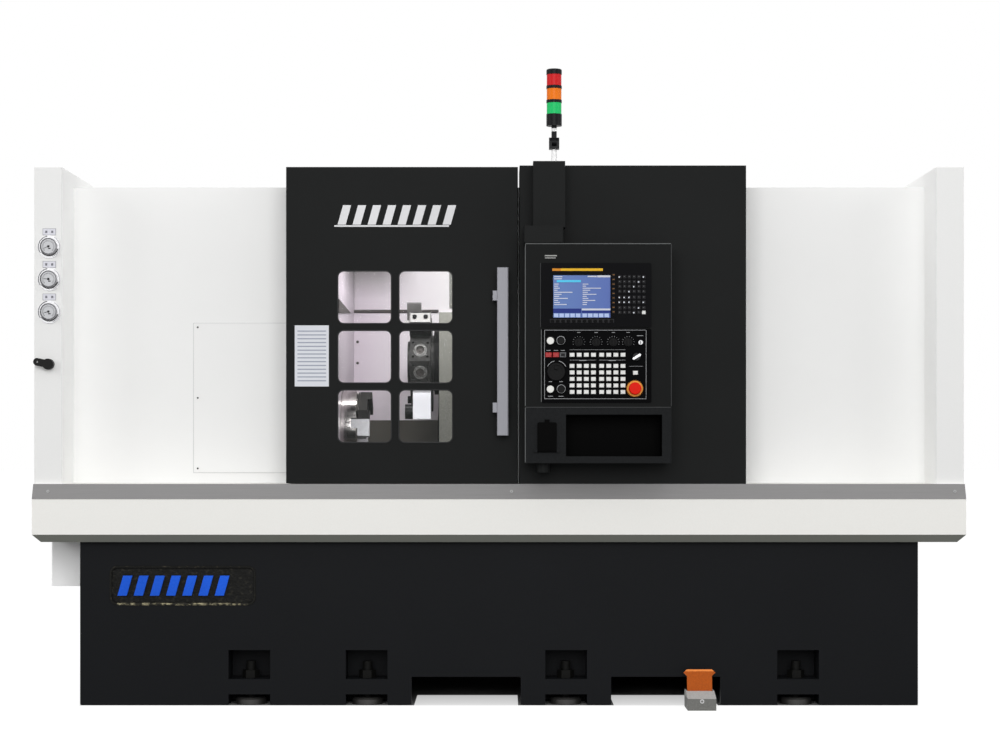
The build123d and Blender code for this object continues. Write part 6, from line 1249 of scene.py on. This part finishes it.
OPERATOR_KEY = (0.0180, 0.005, 0.0150)
OPERATOR_GROUPS = 2
GROUP_COLUMNS = 4
FIELD_ROWS = 5
OPERATOR_LEFT = 0.2648
OPERATOR_GROUP_PITCH = 0.1070
OPERATOR_PITCH = (0.0258, 0.0236)
OPERATOR_TOP = 1.2925
OPERATOR_FIELD_TOP = 1.2522
SINGLE_KEY_PLACE = (0.4944, plate_face, 1.2274)
operator_columns = [
    OPERATOR_LEFT + group * OPERATOR_GROUP_PITCH + i * OPERATOR_PITCH[0]
    for group in range(OPERATOR_GROUPS)
    for i in range(GROUP_COLUMNS)
]
field_rows = [OPERATOR_FIELD_TOP - i * OPERATOR_PITCH[1] for i in range(FIELD_ROWS)]
operator_rows = [OPERATOR_TOP, *field_rows]
operator_places = [(x, plate_face, z) for z in operator_rows for x in operator_columns] + [SINGLE_KEY_PLACE]
key_white = moulded("key_white", shade(226, 226, 224), 0.4, 0.2)
key_dark = moulded("key_dark", shade(20, 20, 22), 0.5, 0.1)
white_keys = keys("operator_keys", operator_places, OPERATOR_KEY, key_white)
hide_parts("panel_keys")
LAMP_SIZE = (0.0235, 0.004, 0.0185)
LAMP_FRAME_SIZE = (0.0235, 0.0030, 0.0185)
LAMP_DARK_SIZE = (0.0175, 0.0038, 0.0125)
LAMP_XS = (0.1795, 0.2063, 0.2314)
lamp_places = [(x, plate_face, OPERATOR_TOP) for x in LAMP_XS]
lamp_red = moulded("lamp_red", shade(158, 26, 28), 0.3, 0.2)
lamp_grey = moulded("lamp_frame", shade(92, 94, 96), 0.4, 0.2)
keys("lamps_red", lamp_places[:2], LAMP_SIZE, lamp_red)
keys("lamp_frame", lamp_places[2:], LAMP_FRAME_SIZE, lamp_grey)
keys("lamp_dark", lamp_places[2:], LAMP_DARK_SIZE, key_dark)
TYPING_LEFT = 0.4375
TYPING_PITCH = 0.0174
TYPING_COLUMNS = 6
TYPING_ROWS = (1.575, 1.557, 1.540, 1.522, 1.501, 1.4835, 1.463, 1.446)
TYPING_KEY = (0.0140, 0.0030, 0.0136)
typing_xs = [TYPING_LEFT + i * TYPING_PITCH for i in range(TYPING_COLUMNS)]
typing_places = [(x, unit_face, z) for z in TYPING_ROWS for x in typing_xs]
white_key_place = typing_places.pop()
keys("typing_keys", typing_places, TYPING_KEY, key_dark)
keys("typing_white", [white_key_place], TYPING_KEY, key_white)
TYPING_MARK = (0.0042, PRINT_DEPTH, 0.0024)
TYPING_MARK_SHIFT = (-0.001, 0.001)
BOLD_MARK = (0.0048, PRINT_DEPTH, 0.0044)
BOLD_MARK_SHIFT = (-0.002, -0.001)
BOLD_KEYS = (0, 5, 10, 15, 20, 24, 25, 26, 30, 31, 32, 35, 40, 45)
key_front = unit_face - TYPING_KEY[1]
mark_x, mark_z = TYPING_MARK_SHIFT
typing_marks = [(x + mark_x, key_front, z + mark_z) for x, _, z in typing_places]
typing_dim = moulded("typing_dim", shade(96, 97, 98), 0.5, 0.1)
marks("typing_marks", typing_marks, [TYPING_MARK] * len(typing_marks), typing_dim, "pendant")
bold_x, bold_z = BOLD_MARK_SHIFT
bold_places = [typing_places[i] for i in BOLD_KEYS]
bold_marks = [(x + bold_x, key_front - PRINT_DEPTH / 2, z + bold_z) for x, _, z in bold_places]
marks("typing_bold", bold_marks, [BOLD_MARK] * len(bold_marks), print_white, "pendant")
SOFT_COUNT = 12
SOFT_PITCH = 0.0194
SOFT_STRIP = (0.232, 0.0010, 0.0135)
SOFT_KEY = (0.0105, 0.0030, 0.0095)
SOFT_CENTRE = (0.3005, 1.4155)
strip_dark = moulded("strip_dark", shade(34, 34, 36), 0.5, 0.1)
key_black = moulded("key_black", shade(6, 6, 7), 0.5, 0.05)
marks("soft_strip", [(SOFT_CENTRE[0], unit_face, SOFT_CENTRE[1])], [SOFT_STRIP], strip_dark, "pendant")
soft_left = SOFT_CENTRE[0] - (SOFT_COUNT - 1) / 2 * SOFT_PITCH
soft_places = [(soft_left + i * SOFT_PITCH, unit_face, SOFT_CENTRE[1]) for i in range(SOFT_COUNT)]
keys("soft_keys", soft_places, SOFT_KEY, key_black)
SIDE_COUNT = 9
SIDE_PITCH = 0.0168
SIDE_KEY = (0.0100, 0.0030, 0.0120)
SIDE_MARK = (0.0075, PRINT_DEPTH, 0.0020)
SIDE_CENTRE = (0.4150, 1.5150)
side_low = SIDE_CENTRE[1] - (SIDE_COUNT - 1) / 2 * SIDE_PITCH
side_places = [(SIDE_CENTRE[0], unit_face, side_low + i * SIDE_PITCH) for i in range(SIDE_COUNT)]
side_marks = [(x, y - SIDE_KEY[1], z) for x, y, z in side_places]
mark_orange = moulded("mark_orange", shade(150, 104, 52), 0.5, 0.1)
keys("side_keys", side_places, SIDE_KEY, key_dark)
marks("side_marks", side_marks, [SIDE_MARK] * SIDE_COUNT, mark_orange, "pendant")

# Plate print: a white outline, arcs of ticks round the selectors and lines over the key groups.
# All of it is screen-printed on the plate's face.
print_y = plate_face - PRINT_DEPTH / 2
OUTLINE_LEFT, OUTLINE_RIGHT, OUTLINE_LOW, OUTLINE_HIGH = 0.165, 0.533, 1.1335, 1.382
LINE_WIDTH = 0.0017
THIN_LINE = 0.0011
outline_middle = ((OUTLINE_LEFT + OUTLINE_RIGHT) / 2, (OUTLINE_LOW + OUTLINE_HIGH) / 2)
outline_size = (OUTLINE_RIGHT - OUTLINE_LEFT, OUTLINE_HIGH - OUTLINE_LOW)
print_places, print_sizes, print_ways = [], [], []


def print_line(x, z, wide, tall):
    """Adds one flat printed line to the plate."""
    print_places.append((x, print_y, z))
    print_sizes.append((wide, PRINT_DEPTH, tall))
    print_ways.append((1, 0, 0))


def print_ring(centre, inner, outer, first, last, count):
    """Adds an arc of printed ticks to the plate."""
    ring = dial_marks((centre[0], print_y, centre[1]), inner, outer, THIN_LINE, first, last, count)
    for gathered, found in zip((print_places, print_sizes, print_ways), ring):
        gathered.extend(found)


for z in (OUTLINE_LOW, OUTLINE_HIGH):
    print_line(outline_middle[0], z, outline_size[0], LINE_WIDTH)
for x in (OUTLINE_LEFT, OUTLINE_RIGHT):
    print_line(x, outline_middle[1], LINE_WIDTH, outline_size[1])
SELECTOR_XS = (0.289, 0.352, 0.414, 0.468)
SELECTOR_Z = 1.338
SELECTOR_RING = (0.0195, 0.0230, -20, 200, 10)
SELECTOR_LABEL = (1.3735, 0.0120, 0.0020)
GROUP_XS = (0.3035, 0.4105)
ROW_LABELS = (
    (GROUP_XS, ((1.2735, 0.0950, THIN_LINE), (1.2720, 0.0260, 0.0024))),
    ((0.1865, 0.2250), ((1.1955, 0.0120, 0.0026), (1.1425, 0.0180, 0.0022))),
    (LAMP_XS, ((1.3085, 0.0150, 0.0020),)),
    ((sum(GROUP_XS) / 2,), ((1.3110, 0.2030, THIN_LINE),)),
    ((0.5110,), ((1.3620, 0.0220, 0.0022),)),
    ((0.4960,), ((1.2510, 0.0480, THIN_LINE),)),
)
for x in SELECTOR_XS:
    print_ring((x, SELECTOR_Z), *SELECTOR_RING)
    print_line(x, *SELECTOR_LABEL)
for label_xs, lines in ROW_LABELS:
    for x in label_xs:
        for line in lines:
            print_line(x, *line)
print_grey = moulded("print_grey", shade(150, 151, 153), 0.5, 0.1)
marks("plate_print", print_places, print_sizes, print_grey, "pendant", print_ways)
WHEEL_CENTRE = (0.2088, print_y, 1.2340)
WHEEL_ARCS = ((0.0368, 0.0010, 27, 78), (0.0368, 0.0010, 102, 153))
BUTTON_RING_RISE = 0.004
BUTTON_RING = (0.0150, 0.0009, 0, 360, 28)
BUTTON_RING_PLACES = ((0.2240, 1.3445), (0.2252, 1.1690))
plate_arcs = [arc_rod(WHEEL_CENTRE, *arc) for arc in WHEEL_ARCS]
plate_arcs += [arc_rod((x, plate_face - BUTTON_RING_RISE, z), *BUTTON_RING) for x, z in BUTTON_RING_PLACES]
arc_white = moulded("arc_white", shade(186, 188, 190), 0.5, 0.1)
joined("plate_arcs", plate_arcs, "pendant", arc_white)

# Buttons and selectors: turned and moulded knobs on the plate, the stop a red mushroom in a yellow collar.
# White and black push buttons start and hold, and the handwheel is a black disc with a crank knob.
dress(moulded("button_white", shade(224, 224, 220), 0.35, 0.2), "power_on_button", "start_button")
panel_black = moulded("panel_black", shade(11, 11, 12), 0.5, 0.08)
dress(panel_black, "power_off_button", "hold_button", "handwheel")
dress(panel_black, "mode_knob", "spindle_knob", "feed_knob", "rapid_knob")
LEVER_BASE_RISE = 0.0140
lever_finish = split_finish("lever_metal", past("Y", plate_face - LEVER_BASE_RISE), shade(222, 222, 224),
                            shade(30, 30, 31), 0.3, 0.2)
dress(lever_finish, "lever_switch")
dress(moulded("stop_red", shade(220, 30, 14), 0.4, 0.06), "estop_button")
LOCK_RADIUS = 0.0085
LOCK_RISE = 0.006
LOCK_PLACE = (0.5128, plate_face - LOCK_RISE, 1.3370)
lock_metal = steel("lock_metal", shade(190, 190, 192), 0.35, metallic=0.2)
LOCK_STEPS = 24
SLOT_SIZE = (0.0022, PRINT_DEPTH, 0.0110)
slot_place = (LOCK_PLACE[0], LOCK_PLACE[1] - LOCK_RISE / 2, LOCK_PLACE[2])
key_lock = discs("key_lock", [LOCK_PLACE], LOCK_RADIUS, LOCK_RISE, LOCK_STEPS)
piece(key_lock, "pendant", lock_metal)
marks("key_slot", [slot_place], [SLOT_SIZE], print_black, "pendant")
COLLAR_CENTRE = (0.492, 1.170)
COLLAR_STEPS = 40
COLLAR_PROFILE = ((0.0306, 0.0005), (0.0306, 0.0062), (0.0298, 0.0082), (0.0284, 0.0092), (0.0226, 0.0092),
                  (0.0226, 0.0005))


def collar(work):
    """A yellow ring with a rounded shoulder, fitted over the stop's collar."""
    ways = [ring_way(360 * i / COLLAR_STEPS) for i in range(COLLAR_STEPS)]
    loops = []
    for radius, rise in COLLAR_PROFILE:
        middle = Vector((COLLAR_CENTRE[0], plate_face - rise, COLLAR_CENTRE[1]))
        loops.append([work.verts.new(middle + way * radius) for way in ways])
    lofted(work, loops, closed=True)


collar_yellow = moulded("collar_yellow", shade(232, 150, 52), 0.4, 0.2)
piece(mesh_from("stop_collar", collar), "pendant", collar_yellow)

# Signal tower: a folding chrome stem carries a black body with red, amber and green lenses.
# Each lens is ribbed polycarbonate between black rings.
KNUCKLE_LOW = 2.070
BAND_LOW, BAND_HIGH = 2.137, 2.149
tower_black = shade(14, 15, 17)
# The stem below the knuckle is chrome painted near-white, a painted reflection, and the body's band takes
# the same white.
painted_chrome_white = shade(238, 238, 238)
pole_finish = split_finish("pole_chrome_painted_white", past("Z", KNUCKLE_LOW), painted_chrome_white, tower_black, 0.35, 0.1)
dress(pole_finish, "stack_pole")
band = within((-FAR, -FAR, BAND_LOW), (FAR, FAR, BAND_HIGH))
dress(split_finish("tower_black", band, tower_black, painted_chrome_white, 0.4, 0.0), "stack_body")
lens_low, lens_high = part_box("stack_lenses")
LENS_COLOURS = ((36, 196, 108), (238, 122, 26), (204, 32, 36))
RIB_SIZE = 0.004
RIB_STRETCH = (1, 1, 50)
RIB_DEPTH = 0.0004


def lens_finish():
    """Coloured lens plastic by height, with fine upright ribs."""
    material, shader, nodes, link = surface("signal_lens", 0.35, shine=0.1)
    height = spread(nodes, link, axes_on(nodes, link)["Z"], lens_low[2], lens_high[2])
    stops = [(i / len(LENS_COLOURS), shade(*colour)) for i, colour in enumerate(LENS_COLOURS)]
    link(stepped(nodes, link, height, stops), shader.inputs["Base Color"])
    bump_on(nodes, link, shader, noise_on(nodes, link, RIB_SIZE, RIB_STRETCH), RIB_DEPTH)
    return material


dress(lens_finish(), "stack_lenses")

# Service box and foot switch: a light grey sheet box under the tray, and a pedal on the floor.
# The switch has a cast grey housing with a screw in its nose and an orange treadle on a pin.
light_grey = paint("light_grey_paint", shade(250, 250, 250), 0.5, mottle=0.02)
dress(light_grey, "service_box")
pedal_low, pedal_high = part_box("pedal_housing")
PEDAL_NOSE_TOP = 0.043
# The housing is painted lighter above its nose and darker on the nose front: painted light and shade on one
# grey.
pedal_lit_top_finish = split_finish("pedal_grey", past("Z", PEDAL_NOSE_TOP), shade(118, 118, 115),
                            shade(184, 184, 182), 0.5, 0.0)
dress(pedal_lit_top_finish, "pedal_housing")
PEDAL_SCREW_DROP = 0.009
PEDAL_SCREW_RADIUS = 0.008
PEDAL_SCREW_HEIGHT = 0.004
pedal_screw_place = ((pedal_low[0] + pedal_high[0]) / 2, pedal_low[1], PEDAL_NOSE_TOP - PEDAL_SCREW_DROP)
screws("pedal_screw", [pedal_screw_place], FRONTWARD, PEDAL_SCREW_RADIUS, PEDAL_SCREW_HEIGHT, plain_steel,
       "machine")
treadle_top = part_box("pedal_plate")[1][2]
TREADLE_LIP = 0.007
# The treadle is one orange, painted lighter on its top lip as a painted highlight and darker below it as
# painted shade.
treadle_lit_lip_finish = split_finish("treadle_orange", past("Z", treadle_top - TREADLE_LIP), shade(172, 80, 12),
                              shade(236, 138, 66), 0.5, 0.0)
dress(treadle_lit_lip_finish, "pedal_plate")

# Electrical cabinet: a white sheet-steel cupboard that stands against the rear sheet, with a hinged door.
# Pressed louvres let the door breathe, and a bar handle locks it.
dress(white_paint, "electrical_cabinet", "cabinet_door")
shut_low, shut_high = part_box("cabinet_door")
LOUVRE_COUNT = 9
LOUVRE_PITCH = 0.034
LOUVRE_SIZE = (0.260, 0.012, 0.016)
LOUVRE_MARGIN = 0.22
LOUVRE_SCOOP = {"Segments": 16, "Rings": 8, "Radius": 0.5}
CABINET_HANDLE_RISE = 0.012
louvre_tree, louvre_sockets, louvre_in, louvre_out = tree_with(
    "louvres",
    {"Size": "Vector", "Finish": "Material"},
)
louvre_scoop = louvre_tree.nodes.new("GeometryNodeMeshUVSphere")
for label, value in LOUVRE_SCOOP.items():
    louvre_scoop.inputs[label].default_value = value
copy_on_points(louvre_tree, louvre_in, louvre_out, louvre_scoop.outputs["Mesh"], louvre_in["Size"])
louvre_x = (shut_low[0] + shut_high[0]) / 2
panel_face = shut_high[1] - CABINET_HANDLE_RISE
louvre_runs = [LOUVRE_MARGIN + i * LOUVRE_PITCH for i in range(LOUVRE_COUNT)]
louvre_heights = [shut_high[2] - run for run in louvre_runs] + [shut_low[2] + run for run in louvre_runs]
louvre_places = [(louvre_x, panel_face, z) for z in louvre_heights]
grown("cabinet_louvres", points_mesh("louvre_points", louvre_places), louvre_tree, louvre_sockets,
      {"Size": LOUVRE_SIZE, "Finish": white_paint}, "cabinet_door")

# Studio: a plain white floor with soft light from a large front panel and smaller ones above and beside.
# A small lamp inside the guards lights the working space, and the camera looks straight at the front.
FLOOR_HALF = 60.0
FLOOR_GLOW = 0.9
FLOOR_MATT = 0.25
WORLD_SHOWN = 1.0
WORLD_FILL = 0.5
UNDER_REACH = 0.33
UNDER_SHADOW_TONES = ((-0.02, 1.0), (0.0, 0.70), (0.97, 0.55), (1.03, 0.0))
FORK_SPANS = ((-0.315, 0.071), (0.426, 0.812))


def lit_background(nodes, link, shown, hidden):
    """One shader for rays that show the background and another for the light it gives."""
    path = nodes.new("ShaderNodeLightPath")
    seen = sum_node(nodes, link, "MAXIMUM", path.outputs["Is Camera Ray"], path.outputs["Is Glossy Ray"])
    seen = sum_node(nodes, link, "MAXIMUM", seen, path.outputs["Is Transmission Ray"])
    choice = nodes.new("ShaderNodeMixShader")
    link(seen, choice.inputs["Fac"])
    link(hidden, choice.inputs[1])
    link(shown, choice.inputs[2])
    return choice.outputs["Shader"]


world = bpy.data.worlds.new("studio")
bpy.context.scene.world = world
world.use_nodes = True
world_nodes = world.node_tree.nodes
world_link = world.node_tree.links.new
world_nodes.clear()


def background(strength):
    """A white background of one strength."""
    made = world_nodes.new("ShaderNodeBackground")
    made.inputs["Color"].default_value = (1, 1, 1, 1)
    made.inputs["Strength"].default_value = strength
    return made.outputs[0]


world_end = world_nodes.new("ShaderNodeOutputWorld")
sky = lit_background(world_nodes, world_link, background(WORLD_SHOWN), background(WORLD_FILL))
world_link(sky, world_end.inputs["Surface"])

floor_mesh = bpy.data.meshes.new("floor")
FLOOR_SIDES = ((-1, -1), (1, -1), (1, 1), (-1, 1))
floor_corners = [(x * FLOOR_HALF, y * FLOOR_HALF, 0) for x, y in FLOOR_SIDES]
floor_mesh.from_pydata(floor_corners, [], [(0, 1, 2, 3)])
floor = bpy.data.objects.new("floor", floor_mesh)
bpy.context.scene.collection.objects.link(floor)
floor_finish = bpy.data.materials.new("floor_white")
floor_finish.use_nodes = True
floor_nodes = floor_finish.node_tree.nodes
floor_link = floor_finish.node_tree.links.new
floor_nodes.clear()


# Painted shadow on the floor under the base.
def painted_shadow_under_base(nodes, link):
    """A painted shadow on the floor: brightness falls in two steps with how far under the base a point
    lies, and is dark under the base outside the fork notches.
    """
    axes = axes_on(nodes, link)
    depth = None
    for axis, low, high in zip("XY", base_low, base_high):
        past_low = sum_node(nodes, link, "SUBTRACT", axes[axis], low)
        past_high = sum_node(nodes, link, "SUBTRACT", high, axes[axis])
        nearest = sum_node(nodes, link, "MINIMUM", past_low, past_high)
        depth = nearest if depth is None else sum_node(nodes, link, "MINIMUM", depth, nearest)
    share = spread(nodes, link, depth, -UNDER_REACH, 2 * UNDER_REACH)
    stops = [((reach + 1) / 3, (tone, tone, tone, 1)) for reach, tone in UNDER_SHADOW_TONES]
    lit = sum_node(nodes, link, "LESS_THAN", depth, 0.0)
    for low, high in FORK_SPANS:
        right = sum_node(nodes, link, "GREATER_THAN", axes["X"], low)
        left = sum_node(nodes, link, "LESS_THAN", axes["X"], high)
        lit = sum_node(nodes, link, "MAXIMUM", lit, sum_node(nodes, link, "MULTIPLY", left, right))
    return sum_node(nodes, link, "MULTIPLY", stepped(nodes, link, share, stops, "LINEAR"), lit)


floor_matt = floor_nodes.new("ShaderNodeBsdfDiffuse")
floor_matt.inputs["Color"].default_value = (FLOOR_MATT, FLOOR_MATT, FLOOR_MATT, 1)
floor_glow = floor_nodes.new("ShaderNodeEmission")
floor_glow.inputs["Strength"].default_value = FLOOR_GLOW
floor_link(painted_shadow_under_base(floor_nodes, floor_link), floor_glow.inputs["Color"])
floor_both = floor_nodes.new("ShaderNodeAddShader")
floor_link(floor_matt.outputs[0], floor_both.inputs[0])
floor_link(floor_glow.outputs[0], floor_both.inputs[1])
floor_end = floor_nodes.new("ShaderNodeOutputMaterial")
ground = lit_background(floor_nodes, floor_link, floor_both.outputs[0], floor_matt.outputs[0])
floor_link(ground, floor_end.inputs["Surface"])
floor_mesh.materials.append(floor_finish)


def panel_light(name, place, aim, size, power):
    """A soft rectangular lamp at a place, aimed at a point."""
    lamp = bpy.data.lights.new(name, "AREA")
    lamp.shape = "RECTANGLE"
    lamp.size, lamp.size_y = size
    lamp.energy = power
    holder = bpy.data.objects.new(name, lamp)
    bpy.context.scene.collection.objects.link(holder)
    holder.location = place
    holder.rotation_euler = (Vector(aim) - Vector(place)).to_track_quat("-Z", "Y").to_euler()


LAMPS = (
    ("front_panel", (0, -9.6, 3.5), (0, 0, 1.2), (6.0, 4.0), 420),
    ("left_panel", (-7.0, -3.5, 3.4), (0, 0, 1.2), (4.0, 4.0), 130),
    ("right_panel", (7.0, -3.5, 3.4), (0, 0, 1.2), (4.0, 4.0), 120),
    ("top_panel", (0, 0.2, 6.0), (0, 0, 1.0), (6.0, 4.0), 90),
    ("guard_lamp", (-0.28, -0.46, 1.86), (-0.36, 0.10, 1.20), (0.8, 0.12), 7.5),
)
for lamp in LAMPS:
    panel_light(*lamp)

CAMERA_PLACE = (0.0037, -9.04, 0.984)
CAMERA_LENS = 79.8
CAMERA_SHIFT_Y = 0.065
CAMERA_REACH = 200
camera_data = bpy.data.cameras.new("front_camera")
camera_data.lens = CAMERA_LENS
camera_data.shift_y = CAMERA_SHIFT_Y
camera_data.clip_end = CAMERA_REACH
camera = bpy.data.objects.new("front_camera", camera_data)
camera.location = CAMERA_PLACE
camera.rotation_euler = (math.radians(90), 0, 0)
bpy.context.scene.collection.objects.link(camera)
bpy.context.scene.camera = camera
bpy.context.scene.view_settings.view_transform = "Standard"
